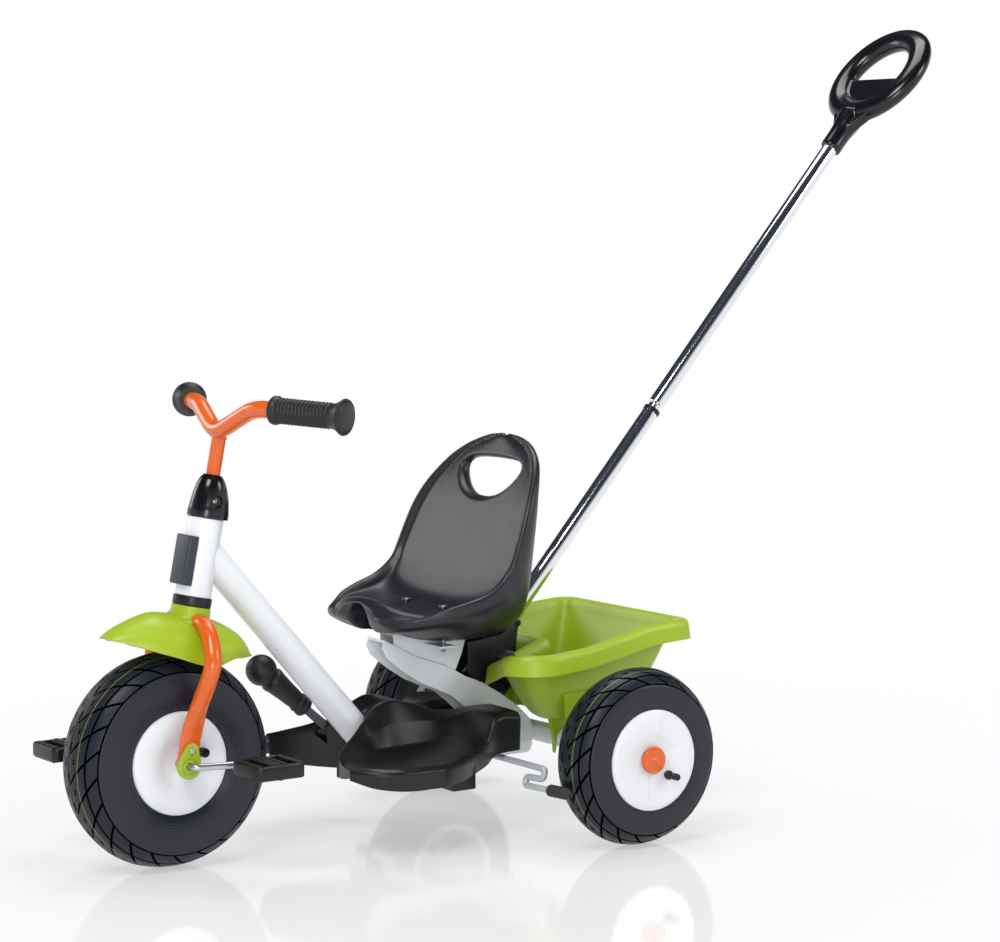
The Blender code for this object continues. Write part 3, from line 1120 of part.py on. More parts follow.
def make_brake(grey, black, steel):
    """The hand brake: lever with its grip, the pull rod, and the wire that carries two pads."""
    way = Vector((math.cos(LEVER_ANGLE), 0.0, math.sin(LEVER_ANGLE)))
    over = Vector((-way.z, 0.0, way.x))
    axes = Matrix((way, over, way.cross(over))).transposed().to_4x4()
    frame = Matrix.Translation(at(*LEVER_PIVOT)) @ axes
    half = STRIP_W / 2
    outline = arc((-LEVER_SHORT, 0.0), 0.0055, 90, 270, 6) + [(0.0, -0.0085), (0.012, -half)]
    outline += [(0.112, -half * 0.75), (0.112, half * 0.75), (0.012, half), (0.0, 0.0085)]
    lever = prism("brake_lever", outline, STRIP_T, frame, grey)
    cut(lever, rod("lever_pin_hole", lever_place(0, 0, -0.03), lever_place(0, 0, -0.05),
                   0.0035 + RUNNING, 10))
    cut(lever, rod("lever_rod_hole", lever_place(-LEVER_SHORT, 0, -0.03),
                   lever_place(-LEVER_SHORT, 0, -0.05), ROD_R + RUNNING, 8))
    tip = LEVER_LONG
    ball = [(0.0, tip + KNOB_R)]
    for angle in (65, 45, 22, 0, -22, -45, -62):
        ball.append((KNOB_R * math.cos(math.radians(angle)), tip + KNOB_R * math.sin(math.radians(angle))))
    grip_profile = ball + [(0.0158, 0.1330), (0.0128, 0.1080), (0.0110, 0.0900), (0.0130, 0.0880),
                           (0.0130, 0.0765), (0.0118, 0.0745), (0.0, 0.0745)]
    grip = turned("brake_grip", grip_profile, lever_place(0), way, 14, black)
    slot = block("grip_slot", (0.0780, STRIP_W + 2 * GAP, STRIP_T + 2 * GAP),
                 lever_place(0.0740), axes=Matrix((way, over, way.cross(over))).transposed())
    cut(grip, slot)

    pin = turned("brake_pivot_pin", [(0.0, -0.0120), (0.0035, -0.0120), (0.0035, -0.0440),
                                     (0.0060, -0.0440), (0.0060, -0.0465), (0.0, -0.0465)],
                 at(LEVER_PIVOT.x, 0, LEVER_PIVOT.z), LEFT, 12, steel)
    collar = rod("pin_collar", at(LEVER_PIVOT.x, -0.0120, LEVER_PIVOT.z),
                 at(LEVER_PIVOT.x, LEVER_Y + STRIP_T / 2 + RUNNING, LEVER_PIVOT.z), 0.0060, 12)
    weld(pin, collar)
    cut(pin, fat_main_tube("pin_tube_room"))

    hook = lever_place(-LEVER_SHORT)
    eye = at(BRAKE_BAR.x + BRAKE_ARM * math.cos(BRAKE_ARM_ANGLE), LEVER_Y,
             BRAKE_BAR.z + BRAKE_ARM * math.sin(BRAKE_ARM_ANGLE))
    inner_y = LEVER_Y + STRIP_T / 2 + 0.001
    route = [Vector((hook.x, inner_y, hook.z)), Vector((hook.x, ROD_Y, hook.z)),
             Vector((eye.x, ROD_Y, eye.z)), Vector((eye.x, inner_y, eye.z))]
    pull = pipe("brake_rod", bent(route, 0.004, 2), ROD_R, steel, roundness=1)

    wire_half = [Vector((0.0, 0.0, 0.0)), Vector((0.0, 0.184, 0.0)), Vector((0.003, 0.184, -0.0120)),
                 Vector((0.006, 0.153, -0.0130)), Vector((0.0085, 0.153, -0.0235)),
                 Vector((0.0085, 0.238, -0.0200))]
    other = [Vector((place.x, -place.y, place.z)) for place in reversed(wire_half[1:])]
    route = bent(other + wire_half[1:], 0.0045, 2)
    centre = at(*BRAKE_BAR)
    wire = pipe("brake_bar", [centre + place for place in route], BRAKE_WIRE_R, grey, roundness=1)
    arm_way = Vector((math.cos(BRAKE_ARM_ANGLE), 0.0, math.sin(BRAKE_ARM_ANGLE)))
    arm_over = Vector((-arm_way.z, 0.0, arm_way.x))
    arm_axes = Matrix((arm_way, arm_over, arm_way.cross(arm_over))).transposed().to_4x4()
    arm = arc((BRAKE_ARM, 0.0), 0.0062, -90, 90, 6) + arc((0.0, 0.0), 0.0070, 90, 270, 6)
    place = at(BRAKE_BAR.x, LEVER_Y, BRAKE_BAR.z)
    weld(wire, prism("brake_bar_arm", arm, STRIP_T, Matrix.Translation(place) @ arm_axes))
    cut(wire, rod("brake_arm_eye", eye + LEFT * 0.01, eye - LEFT * 0.01, ROD_R + 0.0014, 8))
    pads = []
    for side, label in ((1, "left"), (-1, "right")):
        first = centre + Vector((0.0085, side * 0.238, -0.0200))
        second = centre + Vector((0.0085, side * 0.153, -0.0235))
        way_in = (second - first).normalized()
        bore = BRAKE_WIRE_R + GAP
        profile = [(0.0, 0.0035), (PAD_R - 0.0015, 0.0035), (PAD_R, 0.0015), (PAD_R, -0.0300),
                   (bore, -0.0300), (bore, GAP), (0.0, GAP)]
        pads.append(turned("brake_pad_" + label, profile, first, way_in * -1.0, 12, black))
    return [lever, grip], [pin], [pull], [wire] + pads


def bucket_outline(front, notch, notch_half, half_w, rear, corner):
    """Half of the bucket's plan outline, from the notch in its front round to its rear middle."""
    small = 0.006
    points = [(notch, 0.0), (notch, notch_half - small), (notch + small, notch_half)]
    points += [(front - small, notch_half), (front, notch_half + small)]
    points += arc((front - corner, half_w - corner), corner, 0, 90, 2)
    points += [((front + rear) / 2, half_w)]
    points += arc((rear + corner * 0.7, half_w - corner * 0.7), corner * 0.7, 90, 180, 2)
    points += [(rear, 0.0)]
    return points


def rim_height(x):
    """The height of the bucket's rim, which rises to the rear."""
    curve = [(BUCKET_REAR, 0.254), (-0.100, 0.254), (-0.080, 0.248), (-0.020, 0.2365), (0.0175, 0.229),
             (0.060, 0.2265), (BUCKET_FRONT, 0.226)]
    for (x0, z0), (x1, z1) in zip(curve, curve[1:]):
        if x <= x1:
            return z0 + (z1 - z0) * max(0.0, x - x0) / (x1 - x0)
    return curve[-1][1]


def make_bucket(lime, black, grey):
    """The tipping bucket with its clips on the axle tube, its latch and the latch's knob."""
    rear, front, half_w = BUCKET_REAR, BUCKET_FRONT, BUCKET_HALF_W
    notch = NOTCH_HALF_W
    levels = [
        (bucket_outline(front + 0.002, 0.0120, notch - 0.002, half_w + 0.002, rear - 0.004, 0.030), -SKIRT),
        (bucket_outline(front, 0.0140, notch, half_w, rear, 0.028), 0.0),
        (bucket_outline(front - 0.010, 0.0050, notch + 0.009, half_w - 0.010, rear + 0.010, 0.026), -0.0005),
        (bucket_outline(front - 0.014, 0.0030, notch + 0.011, half_w - 0.014, rear + 0.014, 0.026), -0.0100),
    ]
    rings = []
    for outline, drop in levels:
        rings.append([at(x, y, rim_height(x) + drop) for x, y in outline])
    lower = [
        (bucket_outline(0.0740, 0.0020, notch + 0.010, 0.1130, -0.1280, 0.030), 0.1860),
        (bucket_outline(0.0490, 0.0010, notch + 0.006, 0.0970, -0.1080, 0.030), 0.1520),
        (bucket_outline(0.0400, 0.0000, notch + 0.004, 0.0870, -0.0960, 0.028), BUCKET_FLOOR),
    ]
    for outline, height in lower:
        rings.append([at(x, y, height) for x, y in outline])
    bm = bmesh.new()
    rows = [[bm.verts.new(place) for place in ring] for ring in rings]
    for row, following in zip(rows, rows[1:]):
        for index in range(len(row) - 1):
            bm.faces.new((row[index], row[index + 1], following[index + 1], following[index]))
    bm.faces.new(rows[-1])
    for vert in [vert for row in rows for vert in row]:
        vert.co.x -= AXLE_X
    bmesh.ops.recalc_face_normals(bm, faces=bm.faces)
    bucket = add_object("bucket", mesh_from("bucket", bm), lime)
    bucket.matrix_world = Matrix.Translation((AXLE_X, 0.0, 0.0))
    mirror = bucket.modifiers.new("Mirror", "MIRROR")
    mirror.use_axis = (False, True, False)
    mirror.merge_threshold = 0.00005
    shell(bucket, BUCKET_WALL, offset=-1.0)
    hold = AXLE_TUBE_R + RUNNING
    base = REAR_TYRE_R
    clip = [(0.0240, BUCKET_FLOOR + 0.0012), (-0.0240, BUCKET_FLOOR + 0.0012), (-0.0200, base - 0.0100),
            (-hold, base - 0.0100)]
    clip += arc((0.0, base), hold, 180, 0, 8) + [(hold, base - 0.0100), (0.0200, base - 0.0100)]
    for side, label in ((1, "left"), (-1, "right")):
        for index, y in enumerate((0.0720, 0.1050)):
            top = BUCKET_FLOOR + (0.0012 if y < 0.09 else 0.0120)
            shape = [(x, top if z > BUCKET_FLOOR else z) for x, z in clip]
            if y > 0.09:
                shape = [(x, 0.1700 if z > BUCKET_FLOOR else z) for x, z in clip]
            weld(bucket, prism("bucket_clip_%s_%d" % (label, index), shape, LUG_T, side_frame(side * y)))
    catch_z = 0.2050
    front_x = BUCKET_FRONT - 0.004
    knob = turned("latch_knob", [(0.0, 0.0110), (0.0060, 0.0100), (0.0105, 0.0065), (0.0120, 0.0020),
                                 (0.0120, 0.0), (0.0, 0.0)],
                  at(0.0880, 0.0560, rim_height(0.088) + GAP), UP, 14, grey)
    return bucket, knob


def main():
    """Build every piece and hang it on the joint that moves it."""
    white = finish("white_paint", WHITE_PAINT, 0.30)
    rim_white = finish("white_plastic", WHITE_PAINT, 0.35)
    orange = finish("orange_paint", ORANGE, 0.28)
    lime_paint = finish("lime_plastic", LIME, 0.38)
    black = finish("black_plastic", CHARCOAL, 0.45)
    grey = finish("grey_metal", STEEL_TONE, 0.40, 0.6)
    dark_grey = finish("dark_grey_plastic", DARK_GREY, 0.50)
    chrome = finish("chrome", CHROME_TONE, 0.10, 1.0)
    steel = finish("zinc_steel", STEEL_TONE, 0.30, 1.0)
    tyre_black = finish("tyre_rubber", CHARCOAL, 0.75)
    seat_black = finish("seat_plastic", CHARCOAL, 0.42)

    root = pivot("tricycle", Vector((0, 0, 0)))
    fixed = make_frame((white, black, dark_grey, steel))
    fixed += make_seat(seat_black, steel)
    for side, label in ((1, "left"), (-1, "right")):
        fixed.append(make_footrest(side, label, black))
        fixed.append(make_hub_cap(side, label, orange))
    fixed.append(make_push_bracket(black))
    lever_parts, pin_parts, rod_parts, wire_parts = make_brake(grey, black, steel)
    carry(root, *fixed, *pin_parts)

    steering = pivot("steering", steer(0, 0, 0.25), STEER_UP, root)
    carry(steering, *make_steering(orange, lime_paint, black, steel))
    wheel = pivot("front_wheel", at(WHEELBASE, 0, FRONT_TYRE_R), LEFT, steering)
    carry(wheel, *make_front_wheel(rim_white, tyre_black, black, steel))
    for side, label in ((1, "left"), (-1, "right")):
        spindle = at(WHEELBASE - side * CRANK_ARM, side * (PEDAL_IN + PEDAL_OUT) / 2, FRONT_TYRE_R)
        carry(pivot("pedal_spindle_" + label, spindle, LEFT, wheel), make_pedal(side, label, black))
        hub = pivot("rear_hub_" + label, at(0, side * TRACK / 2, REAR_TYRE_R), LEFT, root)
        carry(hub, *make_rear_wheel(side, label, rim_white, tyre_black, black))

    lever_pivot = pivot("brake_lever_pivot", at(*LEVER_PIVOT), LEFT, root)
    carry(lever_pivot, *lever_parts)
    carry(pivot("brake_rod_pivot", lever_place(-LEVER_SHORT), LEFT, lever_pivot), *rod_parts)
    carry(pivot("brake_bar_pivot", at(*BRAKE_BAR), LEFT, root), *wire_parts)

    bucket, knob = make_bucket(lime_paint, black, dark_grey)
    bucket_pivot = pivot("bucket_pivot", at(0, 0, REAR_TYRE_R), LEFT, root)
    carry(bucket_pivot, bucket, knob)

    lower_parts, upper_parts = make_push_bar(chrome, black, steel)
    lower_slide = pivot("push_bar_slide", push(LOWER_BAR_LOW), PUSH_UP, root)
    carry(lower_slide, *lower_parts)
    carry(pivot("push_handle_slide", push(LOWER_BAR_HIGH), PUSH_UP, lower_slide), *upper_parts)


main()
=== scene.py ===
"""Dress a child's pedal tricycle: smooth shells, tyres with tread, finishes, light and camera.

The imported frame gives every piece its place. The tricycle points along +X, its left side is +Y and
up is +Z, all in metres. Each sub-assembly is a class whose fields are its sizes. Places are given
from the ground below the rear axle, from the front hub along the steering axis, or along the push
bar, as Layout explains.
"""

import json
import logging
import math
from dataclasses import dataclass, field, replace
from enum import Enum
from typing import Callable, Iterable, Sequence

import bmesh
import bpy
from mathutils import Matrix, Vector

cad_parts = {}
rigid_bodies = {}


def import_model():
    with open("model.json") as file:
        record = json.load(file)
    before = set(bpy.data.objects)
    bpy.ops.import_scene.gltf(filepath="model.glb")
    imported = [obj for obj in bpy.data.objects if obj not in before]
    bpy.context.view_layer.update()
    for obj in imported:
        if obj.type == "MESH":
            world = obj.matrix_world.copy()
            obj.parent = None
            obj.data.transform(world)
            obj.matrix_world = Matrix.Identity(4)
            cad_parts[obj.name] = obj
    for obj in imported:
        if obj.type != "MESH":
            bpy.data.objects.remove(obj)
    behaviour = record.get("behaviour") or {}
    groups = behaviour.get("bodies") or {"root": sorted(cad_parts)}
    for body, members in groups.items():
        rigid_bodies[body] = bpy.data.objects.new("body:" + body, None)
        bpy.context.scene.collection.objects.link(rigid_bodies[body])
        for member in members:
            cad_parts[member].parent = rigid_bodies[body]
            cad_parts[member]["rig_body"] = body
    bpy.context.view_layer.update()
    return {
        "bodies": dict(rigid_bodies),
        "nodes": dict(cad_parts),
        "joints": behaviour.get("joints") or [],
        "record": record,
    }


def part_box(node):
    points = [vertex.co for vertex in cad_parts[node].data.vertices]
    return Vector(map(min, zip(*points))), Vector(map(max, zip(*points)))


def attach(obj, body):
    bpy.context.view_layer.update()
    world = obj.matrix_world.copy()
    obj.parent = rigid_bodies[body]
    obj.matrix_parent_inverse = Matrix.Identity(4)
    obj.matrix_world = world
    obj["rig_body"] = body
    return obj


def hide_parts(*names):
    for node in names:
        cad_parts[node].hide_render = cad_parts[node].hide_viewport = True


LOG = logging.getLogger("tricycle")

FORWARD = Vector((1.0, 0.0, 0.0))
LEFT = Vector((0.0, 1.0, 0.0))
UP = Vector((0.0, 0.0, 1.0))

Outline = Sequence[tuple[float, float]]

# Measures that all the shapes share, in metres and degrees

DOUBLE_GAP = 1e-6
NO_LENGTH = 1e-7
ON_AXIS = 1e-9
SHADE_ANGLE = 35.0
EDGE_ANGLE = 30.0
WALL_ANGLE = 50.0
DRESS_ANGLE = 28.0
CAD_GAP = 0.00002
CAD_FLAT = 0.6
EASE_STEPS = 3
CLEARANCE = 0.0003


class Side(Enum):
    """The left or the right of the tricycle, with its sign along Y."""

    LEFT = 1
    RIGHT = -1

    @property
    def word(self) -> str:
        """The side's name, as node names end."""
        return self.name.lower()


class Slot(Enum):
    """The record's material slots."""

    WHITE_PAINT = "white_paint"
    WHITE_PLASTIC = "white_plastic"
    ORANGE_PAINT = "orange_paint"
    LIME_PLASTIC = "lime_plastic"
    BLACK_PLASTIC = "black_plastic"
    SEAT_PLASTIC = "seat_plastic"
    DARK_GREY_PLASTIC = "dark_grey_plastic"
    CHROME = "chrome"
    ZINC_STEEL = "zinc_steel"
    TYRE_RUBBER = "tyre_rubber"
    SOFT_RUBBER = "soft_rubber"


# Places


@dataclass(frozen=True)
class Layout:
    """Where the tricycle's hubs and axes lie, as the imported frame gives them.

    Args:
        axle: The middle of the rear axle.
        hub: The middle of the front wheel.
        steer_up: The direction of the steering axis, upwards.
        push_up: The direction of the push bar, upwards.
        push_zero: The push bar's zero, from the ground below the rear axle.
    """

    axle: Vector
    hub: Vector
    steer_up: Vector
    push_up: Vector
    push_zero: Vector = field(default_factory=lambda: Vector((-0.0172, 0.0, 0.3155)))

    @classmethod
    def read(cls, frame: dict) -> "Layout":
        """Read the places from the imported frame.


        Returns:
            The layout.
        """
        axes = {joint["name"]: Vector(joint["axis"]) for joint in frame["joints"]
                if "axis" in joint}
        low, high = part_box("rear_axle")
        front_low, front_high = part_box("front_tyre")
        return cls(axle=(low + high) / 2, hub=(front_low + front_high) / 2,
                   steer_up=axes["steering_turn"].normalized(),
                   push_up=axes["push_bar_release"].normalized())

    @property
    def steer_forward(self) -> Vector:
        """The direction square to the steering axis, forwards."""
        return LEFT.cross(self.steer_up)

    @property
    def push_back(self) -> Vector:
        """The direction square to the push bar, forwards and up."""
        return LEFT.cross(self.push_up)

    def at(self, x: float, y: float, z: float) -> Vector:
        """A place from the ground below the rear axle."""
        return Vector((x + self.axle.x, y, z))

    def steer(self, forward: float, left: float, up: float) -> Vector:
        """A place from the front hub, along the leaning steering axis."""
        return self.hub + self.steer_forward * forward + LEFT * left + self.steer_up * up

    def push(self, along: float, left: float = 0.0, back: float = 0.0) -> Vector:
        """A place along the push bar, from its zero."""
        zero = self.at(*self.push_zero)
        return zero + self.push_up * along + LEFT * left + self.push_back * back


# Shapes


def basis(origin: Vector, x_axis: Vector, y_axis: Vector, z_axis: Vector) -> Matrix:
    """A frame at a place, from its three axes."""
    return Matrix.Translation(origin) @ Matrix((x_axis, y_axis, z_axis)).transposed().to_4x4()


def upright(origin: Vector) -> Matrix:
    """A frame at a place, whose X looks forwards and whose Y looks up."""
    return basis(origin, FORWARD, UP, -LEFT)


def facing(origin: Vector, axis: Vector, guide: Vector = FORWARD) -> Matrix:
    """Make a frame at a place.

    Args:
        origin: The frame's origin.
        axis: Its Z axis.
        guide: What its X axis lies nearest to.

    Returns:
        The frame as a matrix.
    """
    z_axis = axis.normalized()
    x_axis = guide - z_axis * guide.dot(z_axis)
    if x_axis.length < DOUBLE_GAP:
        x_axis = UP - z_axis * UP.dot(z_axis)
    x_axis.normalize()
    return basis(origin, x_axis, z_axis.cross(x_axis), z_axis)


def arc(centre: tuple[float, float], radius: float, start: float, end: float,
        steps: int) -> list[tuple[float, float]]:
    """Points on an arc, with its angles in degrees."""
    turns = [math.radians(start + (end - start) * step / steps) for step in range(steps + 1)]
    return [(centre[0] + radius * math.cos(turn), centre[1] + radius * math.sin(turn))
            for turn in turns]


def clamped(value: float) -> float:
    """A value held between 0 and 1."""
    return min(1.0, max(0.0, value))


def eased(points: Sequence, radius: float, steps: int = 4) -> list[Vector]:
    """Round each inner corner of a line of points.

    Args:
        points: The line's points, in two or three dimensions.
        radius: The bends' radius, held to what the runs beside a corner allow.
        steps: The steps of each bend.

    Returns:
        The rounded line.
    """
    line = [Vector(point) for point in points]
    path = [line[0]]
    for before, corner, after in zip(line, line[1:], line[2:]):
        back, ahead = before - corner, after - corner
        half = back.angle(ahead, math.pi) / 2.0
        reach = min(radius / max(math.tan(half), 1e-6), 0.45 * back.length, 0.45 * ahead.length)
        start = corner + back.normalized() * reach
        end = corner + ahead.normalized() * reach
        for step in range(steps + 1):
            t = step / steps
            path.append(start * (1 - t) ** 2 + corner * (2 * t * (1 - t)) + end * t ** 2)
    path.append(line[-1])
    return path


def through(points: Sequence, steps: int) -> list[Vector]:
    """A smooth curve through points, as a row of steps + 1 places."""
    line = [Vector(point) for point in points]
    row = []
    for step in range(steps + 1):
        place = (len(line) - 1) * step / steps
        index = min(int(place), len(line) - 2)
        t = place - index
        p1, p2 = line[index], line[index + 1]
        p0 = line[index - 1] if index > 0 else p1 * 2 - p2
        p3 = line[index + 2] if index + 2 < len(line) else p2 * 2 - p1
        row.append(0.5 * (p1 * 2 + (p2 - p0) * t + (p0 * 2 - p1 * 5 + p2 * 4 - p3) * t * t
                          + (p1 * 3 - p0 - p2 * 3 + p3) * t ** 3))
    return row


def clean(bm: bmesh.types.BMesh) -> bmesh.types.BMesh:
    """Merge a shape's doubles and turn its faces outwards."""
    bmesh.ops.remove_doubles(bm, verts=bm.verts, dist=DOUBLE_GAP)
    bmesh.ops.dissolve_degenerate(bm, edges=bm.edges, dist=NO_LENGTH)
    bmesh.ops.recalc_face_normals(bm, faces=bm.faces)
    return bm


def capped(bm: bmesh.types.BMesh) -> bmesh.types.BMesh:
    """Close a shape's open loops."""
    edges = [edge for edge in bm.edges if edge.is_boundary]
    bmesh.ops.holes_fill(bm, edges=edges, sides=0)
    return clean(bm)


def lathe(profile: Sequence, frame: Matrix, steps: int = 64) -> bmesh.types.BMesh:
    """Turn a profile about a frame's Z axis.

    Args:
        profile: Its (radius, height) points. It closes on itself where it ends off the axis.
        frame: Where it lies.
        steps: The steps round it.

    Returns:
        The turned shape.
    """
    bm = bmesh.new()
    verts = [bm.verts.new((point[0], 0.0, point[1])) for point in profile]
    edges = [bm.edges.new(pair) for pair in zip(verts, verts[1:])]
    if profile[0][0] > ON_AXIS or profile[-1][0] > ON_AXIS:
        edges.append(bm.edges.new((verts[-1], verts[0])))
    bmesh.ops.spin(bm, geom=verts + edges, cent=(0, 0, 0), axis=(0, 0, 1), angle=math.tau,
                   steps=steps, use_merge=True)
    bm.transform(frame)
    return clean(bm)


def skin(rows: Sequence[Sequence[Vector]], ring: bool = False, loop: bool = False,
         marks: dict[str, list[list[float]]] | None = None) -> bmesh.types.BMesh:
    """Lay a grid over rows of places.

    Args:
        rows: Rows of places, all as long.
        ring: Whether each row closes on itself.
        loop: Whether the last row meets the first.
        marks: Values for each place, kept in attributes of those names.

    Returns:
        The skin, with U along its rows and V across them.
    """
    def closed(table: Sequence[Sequence]) -> list[list]:
        """A table with its first column and row again at its end where they meet."""
        made = [list(row) + ([row[0]] if ring else []) for row in table]
        return made + [made[0]] if loop else made

    grid = closed(rows)
    bm = bmesh.new()
    bm.loops.layers.uv.new("UVMap")
    layers = {name: bm.verts.layers.float.new(name) for name in (marks or {})}
    tables = {name: closed(table) for name, table in (marks or {}).items()}
    wide = len(grid[0])
    bmesh.ops.create_grid(bm, x_segments=wide - 1, y_segments=len(grid) - 1, size=1.0,
                          calc_uvs=True)
    for index, vert in enumerate(bm.verts):
        row, column = divmod(index, wide)
        vert.co = grid[row][column]
        for name, layer in layers.items():
            vert[layer] = tables[name][row][column]
    return clean(bm)


def tube(path: Sequence[Vector], radius: float, sides: int = 32, guide: Vector = UP,
         widths: Sequence[tuple[float, float]] | None = None) -> bmesh.types.BMesh:
    """A bar along a path, with its ends closed.

    Args:
        path: The middle line.
        radius: The bar's radius.
        sides: The steps round it.
        guide: What the first half width lies nearest to.
        widths: The two half widths at each place, where the bar isn't round.

    Returns:
        The bar.
    """
    rows = []
    for index, place in enumerate(path):
        ahead = path[min(index + 1, len(path) - 1)] - path[max(index - 1, 0)]
        x_axis = (guide - ahead * (guide.dot(ahead) / ahead.length_squared)).normalized()
        y_axis = ahead.normalized().cross(x_axis)
        wide, thick = widths[index] if widths else (radius, radius)
        turns = [math.tau * side / sides for side in range(sides)]
        rows.append([place + x_axis * (wide * math.cos(turn)) + y_axis * (thick * math.sin(turn))
                     for turn in turns])
    return capped(skin(rows, ring=True))


def ease_edges(bm: bmesh.types.BMesh, width: float) -> bmesh.types.BMesh:
    """Round every sharp edge of a shape."""
    sharp = [edge for edge in bm.edges
             if len(edge.link_faces) == 2 and edge.calc_face_angle(0.0) > math.radians(EDGE_ANGLE)]
    bmesh.ops.bevel(bm, geom=sharp, offset=width, offset_type="OFFSET", segments=EASE_STEPS,
                    profile=0.5, affect="EDGES", clamp_overlap=True, material=-1)
    return bm


def prism(outline: Outline, thick: float, frame: Matrix, ease: float = 0.0) -> bmesh.types.BMesh:
    """A flat outline, half its thickness to each side of the frame's XY plane.

    Args:
        outline: The outline's points.
        thick: The thickness.
        frame: Where it lies.
        ease: How far its edges are rounded.

    Returns:
        The plate.
    """
    bm = bmesh.new()
    face = bm.faces.new([bm.verts.new((point[0], point[1], -thick / 2)) for point in outline])
    grown = bmesh.ops.extrude_face_region(bm, geom=[face])["geom"]
    lifted = [item for item in grown if isinstance(item, bmesh.types.BMVert)]
    bmesh.ops.translate(bm, verts=lifted, vec=(0.0, 0.0, thick))
    bmesh.ops.recalc_face_normals(bm, faces=bm.faces)
    if ease > 0.0:
        ease_edges(bm, ease)
    bm.transform(frame)
    return clean(bm)


def brick(size: tuple[float, float, float], frame: Matrix, ease: float) -> bmesh.types.BMesh:
    """A block of a size with its edges rounded, in a frame."""
    bm = bmesh.new()
    bmesh.ops.create_cube(bm, size=1.0)
    bmesh.ops.scale(bm, vec=size, verts=bm.verts)
    ease_edges(bm, ease)
    bm.transform(frame)
    return clean(bm)


def together(*shapes: bmesh.types.BMesh) -> bmesh.types.BMesh:
    """Put several shapes in one."""
    whole = bmesh.new()
    for shape in shapes:
        mesh = bpy.data.meshes.new("step")
        shape.to_mesh(mesh)
        shape.free()
        whole.from_mesh(mesh)
        bpy.data.meshes.remove(mesh)
    return whole


def shade(mesh: bpy.types.Mesh, angle: float) -> None:
    """Shade a mesh smooth below an angle in degrees."""
    mesh.shade_smooth()
    mesh.set_sharp_from_angle(angle=math.radians(angle))


def make_object(name: str, bm: bmesh.types.BMesh, angle: float = SHADE_ANGLE) -> bpy.types.Object:
    """Turn a shape into an object that is shaded smooth below an angle in degrees."""
    mesh = bpy.data.meshes.new(name)
    bm.to_mesh(mesh)
    bm.free()
    shade(mesh, angle)
    obj = bpy.data.objects.new(name, mesh)
    bpy.context.scene.collection.objects.link(obj)
    return obj


def settle(obj: bpy.types.Object, angle: float = SHADE_ANGLE) -> bpy.types.Object:
    """Apply an object's modifiers and shade it again."""
    bpy.context.view_layer.update()
    evaluated = obj.evaluated_get(bpy.context.evaluated_depsgraph_get())
    mesh = bpy.data.meshes.new_from_object(evaluated)
    obj.modifiers.clear()
    obj.data = mesh
    shade(mesh, angle)
    return obj


def carve(obj: bpy.types.Object, *cutters: bmesh.types.BMesh) -> bpy.types.Object:
    """Cut shapes out of an object."""
    for cutter in cutters:
        tool = make_object("cutter", cutter)
        modifier = obj.modifiers.new("Cut", "BOOLEAN")
        modifier.operation = "DIFFERENCE"
        modifier.solver = "EXACT"
        modifier.object = tool
        settle(obj)
        bpy.data.objects.remove(tool, do_unlink=True)
    return obj


def melt(obj: bpy.types.Object, voxel: float, rounds: int) -> bpy.types.Object:
    """Blend an object's shapes into one skin with soft edges, as moulded plastic has.

    Args:
        obj: The object, of closed shapes.
        voxel: The size of the new faces.
        rounds: How often the skin is smoothed.

    Returns:
        The object.
    """
    remesh = obj.modifiers.new("Melt", "REMESH")
    remesh.mode = "VOXEL"
    remesh.voxel_size = voxel
    remesh.use_smooth_shade = True
    smooth = obj.modifiers.new("Smooth", "SMOOTH")
    smooth.factor = 0.5
    smooth.iterations = rounds
    return settle(obj, 180.0)


def joined(obj: bpy.types.Object, *shells: bmesh.types.BMesh,
           angle: float = SHADE_ANGLE) -> bpy.types.Object:
    """Add closed shells to a piece.

    Args:
        obj: The piece.
        shells: The shells, which are used up.
        angle: The angle in degrees below which it is shaded smooth.

    Returns:
        The piece.
    """
    bm = bmesh.new()
    bm.from_mesh(obj.data)
    bm = together(bm, *shells)
    bm.to_mesh(obj.data)
    bm.free()
    shade(obj.data, angle)
    return obj


def soften(obj: bpy.types.Object, width: float, angle: float) -> bpy.types.Modifier:
    """Let a modifier round the edges that are sharper than an angle in degrees."""
    bevel = obj.modifiers.new("Ease", "BEVEL")
    bevel.width = width
    bevel.segments = EASE_STEPS
    bevel.limit_method = "ANGLE"
    bevel.angle_limit = math.radians(angle)
    return bevel


def wall(obj: bpy.types.Object, thick: float, ease: float) -> bpy.types.Object:
    """Give a skin its wall, inwards, with its open edges rounded."""
    solid = obj.modifiers.new("Wall", "SOLIDIFY")
    solid.thickness = thick
    solid.offset = -1.0
    solid.use_even_offset = True
    soften(obj, ease, WALL_ANGLE)
    return settle(obj)


# Finishes

WHITE = (1.0, 1.0, 1.0, 1.0)


def _feed(tree: bpy.types.NodeTree, target: bpy.types.NodeSocket, value: object) -> None:
    """Give an input a number or a colour, or join a socket to it."""
    if isinstance(value, bpy.types.NodeSocket):
        tree.links.new(value, target)
    else:
        target.default_value = value


def _node(tree: bpy.types.NodeTree, kind: str, inputs: dict[str | int, object],
          **settings: object) -> bpy.types.Node:
    """Add a node.

    Args:
        tree: The node tree.
        kind: The node's type, without what all types start with.
        inputs: A value or a socket for each input, by its name or number.
        settings: The node's own settings.

    Returns:
        The node.
    """
    node = tree.nodes.new("ShaderNode" + kind)
    for name, value in settings.items():
        setattr(node, name, value)
    for key, value in inputs.items():
        _feed(tree, node.inputs[key], value)
    return node


def _maths(tree: bpy.types.NodeTree, operation: str, *values: object) -> bpy.types.NodeSocket:
    """Add a Math node on numbers or sockets and give its output."""
    return _node(tree, "Math", dict(enumerate(values)), operation=operation).outputs[0]


